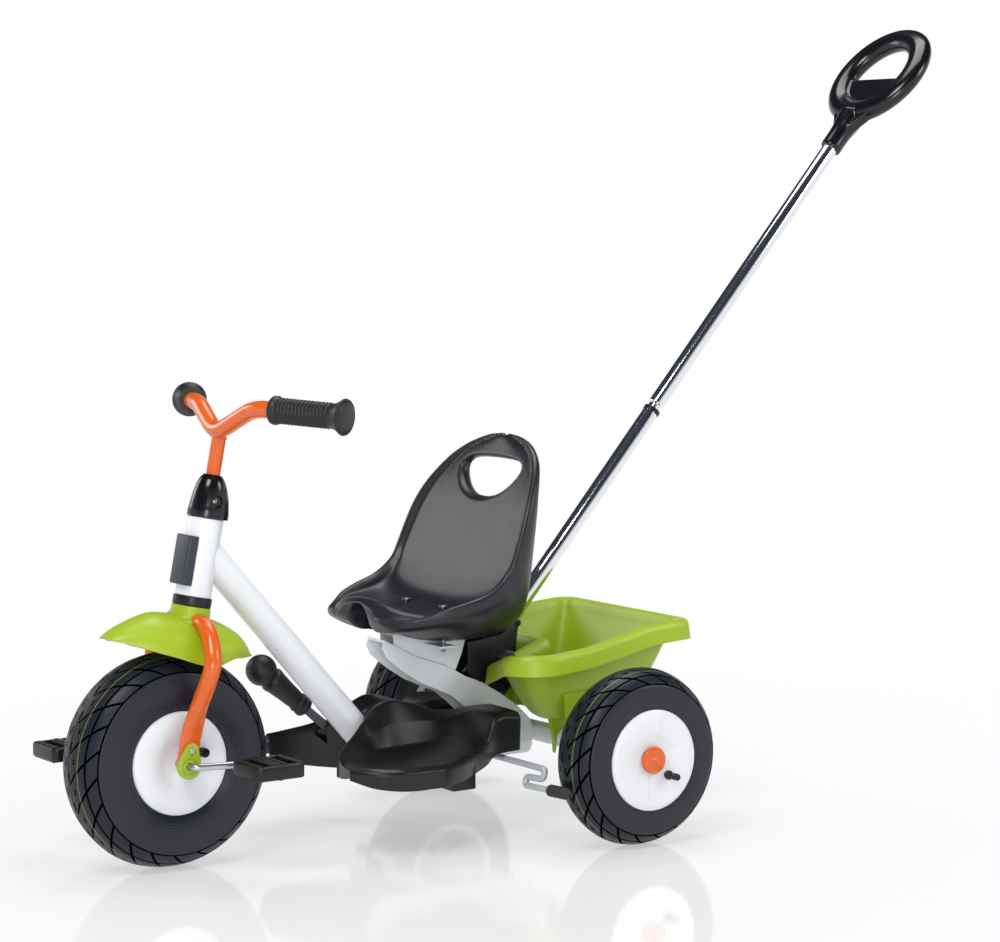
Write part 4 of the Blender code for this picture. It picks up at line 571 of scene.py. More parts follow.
def _blend(tree: bpy.types.NodeTree, share: object, first: object,
           second: object) -> bpy.types.NodeSocket:
    """Mix two colours by a share and give the output."""
    mix = _node(tree, "Mix", {"Factor": share, "A": first, "B": second}, data_type="RGBA")
    return mix.outputs["Result"]


def _mixed(tree: bpy.types.NodeTree, share: object, first: object,
           second: object) -> bpy.types.NodeSocket:
    """Mix two shaders by a share and give the output."""
    return _node(tree, "MixShader", {0: share, 1: first, 2: second}).outputs["Shader"]


def _grouped(name: str, inputs: dict[str, object], outputs: dict[str, str],
             lay: Callable) -> bpy.types.NodeTree:
    """Make a node group on its first use.

    Args:
        name: Its name.
        inputs: The default number or colour of each input.
        outputs: The kind of each output.
        lay: Lays its nodes, given the tree and its inputs, and gives the output sockets.

    Returns:
        The group.
    """
    if name in bpy.data.node_groups:
        return bpy.data.node_groups[name]
    group = bpy.data.node_groups.new(name, "ShaderNodeTree")
    for title, value in inputs.items():
        kind = "NodeSocketFloat" if isinstance(value, float) else "NodeSocketColor"
        made = group.interface.new_socket(name=title, in_out="INPUT", socket_type=kind)
        made.default_value = value
    for title, kind in outputs.items():
        group.interface.new_socket(name=title, in_out="OUTPUT", socket_type=kind)
    sent = group.nodes.new("NodeGroupOutput")
    results = lay(group, group.nodes.new("NodeGroupInput").outputs)
    for title, socket in results.items():
        _feed(group, sent.inputs[title], socket)
    return group


def _lay_drift(tree: bpy.types.NodeTree, given: Sequence) -> dict[str, object]:
    """Let a colour and a roughness wander a little over a surface."""
    place = _node(tree, "TexCoord", {}).outputs["Object"]
    clouds = _node(tree, "TexNoise", {"Vector": place, "Scale": given["Scale"], "Detail": 4.0})
    swing = _maths(tree, "SUBTRACT", clouds.outputs["Fac"], 0.5)
    tone = _maths(tree, "MULTIPLY_ADD", swing, given["Amount"], 1.0)
    tint = _node(tree, "VectorMath", {0: given["Color"], "Scale": tone}, operation="SCALE")
    finer = _maths(tree, "MULTIPLY", given["Scale"], 3.7)
    smears = _node(tree, "TexNoise", {"Vector": place, "Scale": finer, "Detail": 6.0})
    wander = _maths(tree, "SUBTRACT", smears.outputs["Fac"], 0.5)
    rough = _maths(tree, "MULTIPLY_ADD", wander, given["Spread"], given["Roughness"])
    return {"Color": tint.outputs[0], "Roughness": rough}


def _lay_grain(tree: bpy.types.NodeTree, given: Sequence) -> dict[str, object]:
    """Give a surface its fine relief, from orange peel to pebbled plastic."""
    place = _node(tree, "TexCoord", {}).outputs["Object"]
    fine = _node(tree, "TexNoise", {"Vector": place, "Scale": given["Scale"], "Detail": 3.0})
    cells = _node(tree, "TexVoronoi", {"Vector": place, "Scale": given["Scale"]},
                  feature="SMOOTH_F1")
    blend = _node(tree, "Mix", {"Factor": given["Pebble"], "A": fine.outputs["Fac"],
                                "B": cells.outputs["Distance"]})
    bump = _node(tree, "Bump", {"Height": blend.outputs["Result"], "Distance": given["Depth"]})
    return {"Normal": bump.outputs["Normal"]}


# The tread. Its grooves run round the tyre by shares of their pitch and across it in metres. A dot
# lies at a share of the way to the long grooves and is shifted by a share of the pitch.

TREAD_MARKS = ("across", "round_x", "round_y")
LONG_LEAN = 0.86
LONG_HALF = 0.00150
SHORT_LEAN = 0.42
SHORT_SHIFT = 0.42
SHORT_SPAN = (0.24, 0.92)
SHORT_HALF = 0.00125
CHANNEL_HALF = 0.00110
REACH_HALF = 0.0010
DOT_HALF = 0.0016
GROOVE_SLANT = 0.4
DOTS = ((0.20, 0.10), (0.20, 0.19), (0.20, 0.28), (0.66, 0.62), (0.66, 0.72))


def _lay_tread(tree: bpy.types.NodeTree, given: Sequence) -> dict[str, object]:
    """Say how deep a tyre's tread is cut at a place on it, from 0 to 1."""
    def maths(operation: str, *values: object) -> object:
        return _maths(tree, operation, *values)

    away = maths("ABSOLUTE", given["Across"])
    turn = maths("ARCTAN2", given["Round Y"], given["Round X"])
    turn = maths("DIVIDE", maths("MULTIPLY", turn, given["Count"]), math.tau)
    phase = maths("ADD", turn, maths("MULTIPLY", maths("LESS_THAN", given["Across"], 0.0), 0.5))
    pitch = maths("DIVIDE", maths("MULTIPLY", given["Radius"], math.tau), given["Count"])

    def inside(gap: object, half: float) -> object:
        share = maths("DIVIDE", maths("SUBTRACT", half, gap), GROOVE_SLANT * half)
        return maths("MINIMUM", maths("MAXIMUM", share, 0.0), 1.0)

    def offset(shifted: object) -> object:
        rest = maths("SUBTRACT", maths("FRACT", maths("ADD", shifted, 0.5)), 0.5)
        return maths("MULTIPLY", maths("ABSOLUTE", rest), pitch)

    def slanted(shift: float, start: object, end: object, lean: float, half: float) -> object:
        run = maths("SUBTRACT", end, start)
        share = maths("DIVIDE", maths("SUBTRACT", away, start), run)
        lead = maths("SUBTRACT", maths("ADD", phase, shift), maths("MULTIPLY", share, lean))
        steep = maths("DIVIDE", maths("MULTIPLY", pitch, lean), run)
        slope = maths("SQRT", maths("MULTIPLY_ADD", steep, steep, 1.0))
        cut = inside(maths("DIVIDE", offset(lead), slope), half)
        kept = maths("MULTIPLY", maths("GREATER_THAN", share, 0.0), maths("LESS_THAN", share, 1.0))
        return maths("MULTIPLY", cut, kept)

    def ring(place: object, half: float) -> object:
        return inside(maths("ABSOLUTE", maths("SUBTRACT", away, place)), half)

    near, far = (maths("MULTIPLY", given["Start"], share) for share in SHORT_SPAN)
    depth = slanted(0.0, given["Start"], given["Reach"], LONG_LEAN, LONG_HALF)
    for cut in (slanted(SHORT_SHIFT, near, far, SHORT_LEAN, SHORT_HALF),
                ring(given["Channel"], CHANNEL_HALF), ring(given["Reach"], REACH_HALF)):
        depth = maths("MAXIMUM", depth, cut)
    for row, shift in DOTS:
        over = maths("SUBTRACT", away, maths("MULTIPLY", given["Start"], row))
        along = offset(maths("ADD", phase, shift))
        squares = maths("MULTIPLY_ADD", over, over, maths("MULTIPLY", along, along))
        depth = maths("MAXIMUM", depth, inside(maths("SQRT", squares), DOT_HALF))
    return {"Depth": depth}


def drift_group() -> bpy.types.NodeTree:
    """The group that lets a colour and a roughness wander."""
    inputs = {"Color": (0.8, 0.8, 0.8, 1.0), "Scale": 12.0, "Amount": 0.05, "Roughness": 0.4,
              "Spread": 0.05}
    outputs = {"Color": "NodeSocketColor", "Roughness": "NodeSocketFloat"}
    return _grouped("Drift", inputs, outputs, _lay_drift)


def grain_group() -> bpy.types.NodeTree:
    """The group that gives a surface its fine relief."""
    inputs = {"Scale": 500.0, "Depth": 0.0002, "Pebble": 0.0}
    return _grouped("Grain", inputs, {"Normal": "NodeSocketVector"}, _lay_grain)


def tread_group() -> bpy.types.NodeTree:
    """The group that says how deep a tyre's tread is cut."""
    names = ("Across", "Round X", "Round Y", "Count", "Radius", "Start", "Channel", "Reach")
    return _grouped("Tread", dict.fromkeys(names, 0.0), {"Depth": "NodeSocketFloat"}, _lay_tread)


COAT_ROUGHNESS = 0.06


@dataclass(frozen=True)
class Finish:
    """A surface finish: its colour, gloss, fine relief and how much each wanders.

    Args:
        name: The material's name.
        slot: The record's slot; not used.
        colour: The linear base colour.
        roughness: The mean roughness.
        metallic: The metallic value.
        coat: The weight of a clear coat.
        drift: How far the colour wanders, as a share.
        spread: How far the roughness wanders.
        drift_scale: The wander's scale.
        grain: The relief's depth in metres.
        grain_scale: The relief's scale.
        pebble: From 0 for orange peel to 1 for pebbled plastic.
        specular: The specular level.
    """

    name: str
    slot: Slot
    colour: tuple[float, float, float]
    roughness: float
    metallic: float = 0.0
    coat: float = 0.0
    drift: float = 0.06
    spread: float = 0.06
    drift_scale: float = 9.0
    grain: float = 0.00005
    grain_scale: float = 420.0
    pebble: float = 0.0
    specular: float = 0.5

    def material(self) -> bpy.types.Material:
        """Make the material on its first use.

        Returns:
            The material.
        """
        if self.name in bpy.data.materials:
            return bpy.data.materials[self.name]
        made = bpy.data.materials.new(self.name)
        made.use_nodes = True
        tree = made.node_tree
        shader = tree.nodes["Principled BSDF"]
        drift = _node(tree, "Group", {"Color": (*self.colour, 1.0), "Scale": self.drift_scale,
                                      "Amount": self.drift, "Roughness": self.roughness,
                                      "Spread": self.spread}, node_tree=drift_group())
        grain = _node(tree, "Group", {"Scale": self.grain_scale, "Depth": self.grain,
                                      "Pebble": self.pebble}, node_tree=grain_group())
        for name, value in (("Metallic", self.metallic), ("Coat Weight", self.coat),
                            ("Coat Roughness", COAT_ROUGHNESS),
                            ("Specular IOR Level", self.specular),
                            ("Base Color", drift.outputs["Color"]),
                            ("Roughness", drift.outputs["Roughness"]),
                            ("Normal", grain.outputs["Normal"])):
            _feed(tree, shader.inputs[name], value)
        self.detail(tree, shader, drift.outputs["Color"])
        return made

    def detail(self, tree: bpy.types.NodeTree, shader: bpy.types.Node, colour: object) -> None:
        """Add what one finish alone has. A plain finish has nothing more."""


@dataclass(frozen=True)
class TreadFinish(Finish):
    """Tyre rubber with painted shade in its grooves, fine rings on its walls and coloured lines.

    Args:
        lines: Each line's place across the tyre, its half width, and its linear colour.
        rings: How many fine rings there are in a metre of the walls.
        wall_from: How far from the crown the walls start.
        painted_groove_shade: The shade painted into the grooves' colour, as a share of the rubber's.
        sipes: How many slanted grooves lie on each side.
        crown: The radius at which their pitch is taken.
        start: How far from the crown the long grooves start.
        channel: How far from the crown the groove that runs round lies.
        reach: How far from the crown the tread ends.
        deep: The depth of the grooves' shaded edges.
        tread_dull: How much of its specular level the tread loses.
        line_depth: How deep a groove can be where a line is still drawn.
        ring_deep: The depth of the fine rings.
    """

    lines: tuple[tuple[float, float, tuple[float, float, float]], ...] = ()
    rings: float = 260.0
    wall_from: float = 0.060
    painted_groove_shade: float = 0.02
    sipes: int = 22
    crown: float = 0.126
    start: float = 0.0180
    channel: float = 0.0290
    reach: float = 0.0455
    deep: float = 0.0016
    tread_dull: float = 0.30
    line_depth: float = 0.35
    ring_deep: float = 0.00007

    def lead_at(self, across: float) -> float:
        """How far the grooves have run round the tyre at a distance from the crown, in pitches."""
        away = abs(across)
        near, far = (share * self.start for share in SHORT_SPAN)
        if away < self.start:
            return -SHORT_LEAN * clamped((far - away) / (far - near))
        return LONG_LEAN * min(1.0, (away - self.start) / (self.reach - self.start))

    def depth_at(self, turn: float, across: float) -> float:
        """How deep the tread is cut at a place, as the Tread group has it.

        Args:
            turn: The place round the tyre, in pitches.
            across: The distance from the crown, signed.

        Returns:
            A value from 0 on the surface to 1 in a groove.
        """
        away = abs(across)
        phase = turn + (0.5 if across < 0.0 else 0.0)
        pitch = math.tau * self.crown / self.sipes

        def inside(gap: float, half: float) -> float:
            return clamped((half - gap) / (GROOVE_SLANT * half))

        def offset(shifted: float) -> float:
            return abs((shifted + 0.5) % 1.0 - 0.5) * pitch

        def slanted(shift: float, start: float, end: float, lean: float, half: float) -> float:
            share = (away - start) / (end - start)
            if not 0.0 < share < 1.0:
                return 0.0
            slope = math.hypot(1.0, pitch * lean / (end - start))
            return inside(offset(phase + shift - share * lean) / slope, half)

        near, far = (share * self.start for share in SHORT_SPAN)
        depth = max(slanted(0.0, self.start, self.reach, LONG_LEAN, LONG_HALF),
                    slanted(SHORT_SHIFT, near, far, SHORT_LEAN, SHORT_HALF),
                    inside(abs(away - self.channel), CHANNEL_HALF),
                    inside(abs(away - self.reach), REACH_HALF))
        for row, shift in DOTS:
            gap = math.hypot(away - row * self.start, offset(phase + shift))
            depth = max(depth, inside(gap, DOT_HALF))
        return depth

    def detail(self, tree: bpy.types.NodeTree, shader: bpy.types.Node, colour: object) -> None:
        """Paint shade into the grooves and draw the lines, by the tyre's own attributes."""
        across, round_x, round_y = (_node(tree, "Attribute", {}, attribute_name=name).outputs["Fac"]
                                    for name in TREAD_MARKS)
        tread = _node(tree, "Group", {"Across": across, "Round X": round_x, "Round Y": round_y,
                                      "Count": self.sipes, "Radius": self.crown,
                                      "Start": self.start, "Channel": self.channel,
                                      "Reach": self.reach}, node_tree=tread_group())
        depth = tread.outputs["Depth"]
        away = _maths(tree, "ABSOLUTE", across)
        # Painted shade: the grooves' colour is the rubber's darkened, as shade falls in the
        # recesses.
        dark = (*(value * self.painted_groove_shade for value in self.colour), 1.0)
        result = _blend(tree, depth, colour, dark)
        on_tread = _maths(tree, "LESS_THAN", away, self.reach)
        loss = -self.tread_dull * self.specular
        dull = _maths(tree, "MULTIPLY_ADD", on_tread, loss, self.specular)
        shine = _maths(tree, "MULTIPLY", dull, _maths(tree, "SUBTRACT", 1.0, depth))
        above = _maths(tree, "LESS_THAN", depth, self.line_depth)
        for middle, half, tint in self.lines:
            near = _maths(tree, "COMPARE", across, middle, half)
            mask = _maths(tree, "MULTIPLY", near, above)
            result = _blend(tree, mask, result, (*tint, 1.0))
        wave = _maths(tree, "SINE", _maths(tree, "MULTIPLY", across, self.rings * math.tau))
        wave = _maths(tree, "MULTIPLY", wave, _maths(tree, "GREATER_THAN", away, self.wall_from))
        plain = shader.inputs["Normal"].links[0].from_socket
        bump = _node(tree, "Bump", {"Height": wave, "Distance": self.ring_deep, "Normal": plain})
        cut = _node(tree, "Bump", {"Height": depth, "Distance": self.deep,
                                   "Normal": bump.outputs["Normal"]}, invert=True)
        for name, value in (("Specular IOR Level", shine), ("Base Color", result),
                            ("Normal", cut.outputs["Normal"])):
            _feed(tree, shader.inputs[name], value)


LIME_LINE = (0.105, 0.145, 0.035)
RED_LINE = (0.12, 0.030, 0.024)

WHITE_PAINT = Finish("white_powder_paint", Slot.WHITE_PAINT, (0.73, 0.745, 0.77), 0.30, coat=0.3)
RIM_WHITE = Finish("white_rim_plastic", Slot.WHITE_PLASTIC, (0.70, 0.71, 0.73), 0.30, coat=0.3,
                   grain=0.00003)
ORANGE_PAINT = Finish("orange_paint_coat", Slot.ORANGE_PAINT, (0.64, 0.100, 0.0015), 0.28,
                      coat=0.35, drift=0.08)
LIME_PLASTIC = Finish("lime_moulded", Slot.LIME_PLASTIC, (0.315, 0.435, 0.009), 0.36, drift=0.08,
                      grain=0.00006, grain_scale=700.0)
LIME_GLOSS = Finish("lime_gloss", Slot.LIME_PLASTIC, (0.285, 0.400, 0.008), 0.26, coat=0.3)
BLACK_PLASTIC = Finish("black_moulded", Slot.BLACK_PLASTIC, (0.0055, 0.0060, 0.0075), 0.34,
                       drift=0.25, grain=0.00006, grain_scale=900.0, pebble=0.6, specular=0.38)
BLACK_GLOSS = Finish("black_gloss", Slot.BLACK_PLASTIC, (0.0045, 0.0050, 0.0065), 0.18,
                     drift=0.2, grain=0.00002, specular=0.45)
GRIP_BLACK = Finish("black_grip", Slot.BLACK_PLASTIC, (0.010, 0.011, 0.013), 0.46, drift=0.3,
                    grain=0.00006, grain_scale=1100.0, pebble=0.8, specular=0.40)
SEAT_PLASTIC = Finish("seat_moulded", Slot.SEAT_PLASTIC, (0.0075, 0.0090, 0.0120), 0.38,
                      drift=0.25, grain=0.00014, grain_scale=650.0, pebble=0.8, specular=0.50)
DARK_GREY = Finish("dark_grey_moulded", Slot.DARK_GREY_PLASTIC, (0.028, 0.032, 0.040), 0.42,
                   drift=0.2, grain=0.00005, grain_scale=900.0, pebble=0.5, specular=0.4)
CHROME = Finish("bright_chrome", Slot.CHROME, (0.80, 0.81, 0.84), 0.12, metallic=1.0, drift=0.05,
                spread=0.04, grain=0.0)
ZINC = Finish("zinc_plate", Slot.ZINC_STEEL, (0.52, 0.53, 0.55), 0.30, metallic=1.0, drift=0.15,
              spread=0.15, drift_scale=60.0)
DULL_ZINC = Finish("dull_zinc", Slot.ZINC_STEEL, (0.46, 0.48, 0.51), 0.48, metallic=0.25,
                   drift=0.10, spread=0.10, drift_scale=60.0)
DARK_ZINC = Finish("dark_zinc", Slot.ZINC_STEEL, (0.20, 0.21, 0.23), 0.38, metallic=0.9, drift=0.2,
                   spread=0.15, drift_scale=60.0)
FRONT_RUBBER = TreadFinish("front_tyre_rubber", Slot.TYRE_RUBBER, (0.0068, 0.0092, 0.0160), 0.42,
                           drift=0.25, spread=0.10, grain=0.00003, grain_scale=700.0, specular=0.45,
                           lines=((0.0180, 0.0008, LIME_LINE), (0.0062, 0.0006, RED_LINE)))
REAR_RUBBER = replace(FRONT_RUBBER, name="rear_tyre_rubber", wall_from=0.048, sipes=20, crown=0.106,
                      start=0.0130, channel=0.0225, reach=0.0365,
                      lines=((0.0130, 0.0007, LIME_LINE),))
SOFT_RUBBER = Finish("soft_black_rubber", Slot.SOFT_RUBBER, (0.018, 0.019, 0.022), 0.65, drift=0.3,
                     grain=0.0001, grain_scale=900.0)


# Building


@dataclass
class Workshop:
    """What every sub-assembly needs while it is built.

    Args:
        layout: The tricycle's places.
    """

    layout: Layout
    frame: dict

    def body_of(self, node: str) -> str:
        """The body that a CAD node belongs to."""
        return self.frame["nodes"][node]["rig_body"]

    def stand_in(self, obj: bpy.types.Object, finish: Finish, *nodes: str) -> bpy.types.Object:
        """Let a piece stand for CAD nodes, on their body and with its finish's material.

        Args:
            obj: The finished piece.
            finish: Its finish.
            nodes: The nodes that it stands for, all on one body.

        Returns:
            The piece.
        """
        obj.data.materials.clear()
        obj.data.materials.append(finish.material())
        body = self.body_of(nodes[0])
        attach(obj, body)
        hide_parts(*nodes)
        LOG.info("%s rides on %s with %d faces", obj.name, body, len(obj.data.polygons))
        return obj

    def shaped(self, node: str, how: str, bm: bmesh.types.BMesh, finish: Finish,
               angle: float = SHADE_ANGLE) -> bpy.types.Object:
        """Make a shape into the piece that stands for a node, named after how it is made."""
        return self.stand_in(make_object(node + "_" + how, bm, angle), finish, node)

    def turned(self, node: str, profile: Sequence, frame: Matrix, finish: Finish,
               ease: float = 0.0005, steps: int = 64) -> bpy.types.Object:
        """Turn a piece from its profile, with its corners rounded.

        Args:
            node: The node that it stands for.
            profile: Its (radius, height) points.
            frame: Where it lies.
            finish: Its finish.
            ease: The radius of its corners.
            steps: The steps round it.

        Returns:
            The piece.
        """
        ring = profile[0][0] > ON_AXIS
        points = list(profile) + [profile[0]] if ring else list(profile)
        line = eased(points, ease, 3)
        return self.shaped(node, "turned", lathe(line[:-1] if ring else line, frame, steps), finish)

    def dressed(self, node: str, finish: Finish, ease: float) -> bpy.types.Object:
        """Stand in for a node with its own shape, its edges rounded.

        Args:
            node: The node.
            finish: Its finish.
            ease: How far its edges are rounded.

        Returns:
            The piece.
        """
        bm = bmesh.new()
        bm.from_mesh(self.frame["nodes"][node].data)
        bmesh.ops.remove_doubles(bm, verts=bm.verts, dist=CAD_GAP)
        bmesh.ops.dissolve_limit(bm, angle_limit=math.radians(CAD_FLAT), verts=bm.verts,
                                 edges=bm.edges)
        obj = make_object(node + "_dressed", bm)
        soften(obj, ease, DRESS_ANGLE).miter_outer = "MITER_ARC"
        return self.stand_in(settle(obj), finish, node)


# Wheels


BEAD_MARK = 0.2
BEAD = 0.0568
TYRE_ANGLE = 60.0


@dataclass
class Tyre:
    """A pneumatic tyre, whose rubber carries the tread.

    Args:
        node: The node that it stands for.
        section: Half of its section from bead to crown, as (radius, distance from its middle).
        bead: The radius inside the rim at which the section closes.
        pitch_steps: The steps round it in a pitch of the tread.
        groove: The grooves' depth.
        dense_steps: The steps of the section from which its places are taken.
        tread_step: The distance of the places across the tread.
        side_step: Their distance on the sides.
        tread_spare: How far the fine steps go past the tread.
    """

    node: str
    section: Outline
    bead: float
    pitch_steps: int = 32
    groove: float = 0.0018
    dense_steps: int = 400
    tread_step: float = 0.00105
    side_step: float = 0.0028
    tread_spare: float = 0.002

    def build(self, shop: Workshop, centre: Vector, finish: TreadFinish) -> bpy.types.Object:
        """Make the tyre.

        Args:
            shop: The workshop.
            centre: The wheel's middle.
            finish: The rubber.

        Returns:
            The tyre.
        """
        dense = through(self.section, self.dense_steps)[::-1]
        lengths = [0.0]
        for before, after in zip(dense, dense[1:]):
            lengths.append(lengths[-1] + (after - before).length)
        edge = finish.reach + self.tread_spare
        tread = int(edge / self.tread_step)
        side = int((lengths[-1] - finish.reach - self.tread_spare) / self.side_step)
        marks = [edge * step / tread for step in range(tread)]
        marks += [edge + (lengths[-1] - finish.reach - self.tread_spare) * step / side
                  for step in range(side + 1)]
        spots = []
        for mark in marks:
            index = next((i for i, length in enumerate(lengths) if length >= mark), len(dense) - 1)
            run = dense[min(index + 1, len(dense) - 1)] - dense[max(index - 1, 0)]
            spots.append((mark, dense[index], Vector((run.y, -run.x)).normalized()))
        section = [(-mark, Vector((place.x, -place.y)), Vector((out.x, -out.y)))
                   for mark, place, out in reversed(spots[1:])] + spots
        for place in (section[-1][1], section[0][1]):
            section = section + [(BEAD_MARK, Vector((self.bead, place.y)), Vector((0.0, 0.0)))]
        rows = []
        marked = {name: [] for name in TREAD_MARKS}
        for step in range(finish.sipes * self.pitch_steps):
            row, angles = [], []
            for mark, place, out in section:
                on_bead = mark == BEAD_MARK
                turn = step / self.pitch_steps + (LONG_LEAN if on_bead else finish.lead_at(mark))
                angle = math.tau * turn / finish.sipes
                cut = 0.0 if on_bead else finish.depth_at(turn, mark) * self.groove
                spot = place - out * cut
                row.append(centre + (FORWARD * math.cos(angle) + UP * math.sin(angle)) * spot.x
                           + LEFT * spot.y)
                angles.append(angle)
            rows.append(row)
            for name, values in zip(TREAD_MARKS, ([mark for mark, _, _ in section],
                                                  [math.cos(angle) for angle in angles],
                                                  [math.sin(angle) for angle in angles])):
                marked[name].append(values)
        bm = skin(rows, ring=True, loop=True, marks=marked)
        return shop.shaped(self.node, "treaded", bm, finish, TYRE_ANGLE)


@dataclass
class Rim:
    """The shape of a two-part rim, shared by all the wheels.

    Args:
        radius: The radius at the lip.
        width: The width over the lips.
        seat_depth: How deep the tyre's bead sits.
        lip: The lip's thickness.
        wall: The dish's wall.
        hub: The hub's radius.
        ribs: The ribs of an open inner side.
        lobes: The pressed lobes of a dish.
        relief: How deep the lobes are pressed.
    """

    radius: float = 0.0623
    width: float = 0.072
    seat_depth: float = 0.006
    lip: float = 0.0025
    wall: float = 0.003
    hub: float = 0.0125
    ribs: int = 6
    lobes: int = 3
    relief: float = 0.0012

    def dish(self) -> list[tuple[float, float]]:
        """The dish's outer face from its hub to its lip."""
        half = self.width / 2
        return [(self.hub, half - 0.0045), (0.0200, half - 0.0035), (0.0340, half + 0.0010),
                (0.0500, half + 0.0032), (0.0600, half + 0.0014), (self.radius, half - 0.0005)]

    def back(self) -> list[tuple[float, float]]:
        """The dish's inner face from its lip back to its hub."""
        half = self.width / 2
        return [(self.radius - self.seat_depth - self.wall, half - 0.0035), (0.0500, half + 0.0002),
                (0.0340, half - 0.0020), (0.0200, half - 0.0065), (self.hub, half - 0.0075)]

    def press(self, bm: bmesh.types.BMesh, frame: Matrix) -> None:
        """Press the lobes into the dish's outer face.

        Args:
            bm: The turned rim.
            frame: The wheel's frame, whose Z points outwards.
        """
        inverse = frame.inverted()
        for vert in bm.verts:
            local = inverse @ vert.co
            reach = math.hypot(local.x, local.y)
            if local.z < self.width / 2 - 0.0060 or not 0.020 < reach < 0.056:
                continue
            turn = math.atan2(local.y, local.x)
            lobe = 0.5 + 0.5 * math.cos(self.lobes * turn + 0.6)
            edge = clamped((lobe - 0.42) / 0.16)
            window = min(1.0, (reach - 0.020) / 0.005, (0.056 - reach) / 0.005)
            local.z -= self.relief * edge * edge * (3 - 2 * edge) * max(0.0, window)
            vert.co = frame @ local

    def face(self, bore: float, inner: list[tuple[float, float]]) -> list[Vector]:
        """A rim's whole profile, with a finely stepped dish and an inner side."""
        half = self.width / 2
        dish = through(self.dish(), 44)
        rest = [(self.radius, half - self.lip), (self.radius - self.seat_depth, half - self.lip)]
        back = through(self.back(), 16)
        return [Vector((bore, half - 0.0045))] + dish + [Vector(p) for p in rest + inner] + back

    def half_rim(self, bore: float, frame: Matrix) -> bmesh.types.BMesh:
        """One half of a split rim."""
        middle = 0.00015
        seat = self.radius - self.seat_depth
        profile = self.face(bore, [(seat, middle), (seat - self.wall, middle)])
        profile += [Vector((self.hub, middle)), Vector((bore, middle))]
        bm = lathe(profile, frame, 144)
        self.press(bm, frame)
        return bm

    def whole_rim(self, bore: float, frame: Matrix) -> bmesh.types.BMesh:
        """A rim with a dish outside and an open, ribbed inner side."""
        half = self.width / 2
        seat = self.radius - self.seat_depth
        inner = [(seat, self.lip - half), (self.radius - 0.001, self.lip - half),
                 (self.radius - 0.001, -half), (seat - self.wall, -half)]
        profile = self.face(bore, inner) + [Vector((self.hub, 0.0025 - half)),
                                            Vector((bore, 0.0025 - half))]
        bm = lathe(profile, frame, 144)
        self.press(bm, frame)
        low, high = self.hub - 0.0015, seat - self.wall + 0.0015
        ribs = []
        for index in range(self.ribs):
            turn = Matrix.Rotation(math.tau * (index + 0.5) / self.ribs, 4, "Z")
            shift = Matrix.Translation(((low + high) / 2, 0.0, half * 0.21))
            ribs.append(brick((high - low, 0.003, half * 1.24), frame @ turn @ shift, 0.0008))
        return together(bm, *ribs)


@dataclass
class Valve:
    """A tyre's air tube with its valve stem and cap.

    Args:
        tube_node: The air tube's node.
        cap_node: The cap's node.
        way: The direction from the hub to the stem.
        out: How far the stem stands out of the rim.
        side: The side that the stem comes out of.
        tube_ring: The radius of the air tube's middle.
        tube_deep: Half of its height.
        stem_ring: How far from the hub the stem stands.
        stem_radius: The stem's radius.
        half_wide: Half of the air tube's width.
        cap_radius: The cap's radius.
    """

    tube_node: str
    cap_node: str
    way: Vector
    out: float
    side: int
    tube_ring: float
    tube_deep: float
    stem_ring: float = 0.031
    stem_radius: float = 0.003
    half_wide: float = 0.0268
    cap_radius: float = 0.0043

    def build(self, shop: Workshop, centre: Vector, rim: Rim) -> None:
        """Make the tube, its stem and the cap."""
        axis = LEFT * self.side
        frame = facing(centre, axis)
        reach = rim.width / 2 + self.out
        ring = [(self.tube_ring + self.tube_deep * math.cos(t), self.half_wide * math.sin(t))
                for t in (math.tau * step / 24 for step in range(24))]
        low = self.tube_ring - self.tube_deep
        route = [centre + self.way * (low + 0.004), centre + self.way * self.stem_ring,
                 centre + self.way * self.stem_ring + axis * reach]
        stem = tube(eased(route, 0.008, 6), self.stem_radius, 20, LEFT.cross(self.way))
        base = facing(centre + self.way * self.stem_ring, axis)
        half = rim.width / 2
        collar = lathe(eased([(0.0, half - 0.006), (0.0058, half - 0.006), (0.0058, half + 0.0012),
                              (0.0040, half + 0.0024), (0.0, half + 0.0024)], 0.0006, 2), base, 28)
        shape = together(lathe(ring, frame, 64), stem, collar)
        shop.shaped(self.tube_node, "blown", shape, SOFT_RUBBER)
        wide = self.cap_radius
        profile = [(0.0, reach + 0.0030), (wide - 0.0009, reach + 0.0030), (wide, reach + 0.0016)]
        for ridge in range(4):
            height = reach - 0.0002 - 0.0013 * ridge
            profile += [(wide, height), (wide - 0.0004, height - 0.0005), (wide, height - 0.0010)]
        profile += [(wide, reach - 0.0062), (0.0033, reach - 0.0062), (0.0033, reach + 0.0003),
                    (0.0, reach + 0.0003)]
        shop.shaped(self.cap_node, "ribbed", lathe(profile, base, 24), BLACK_GLOSS)


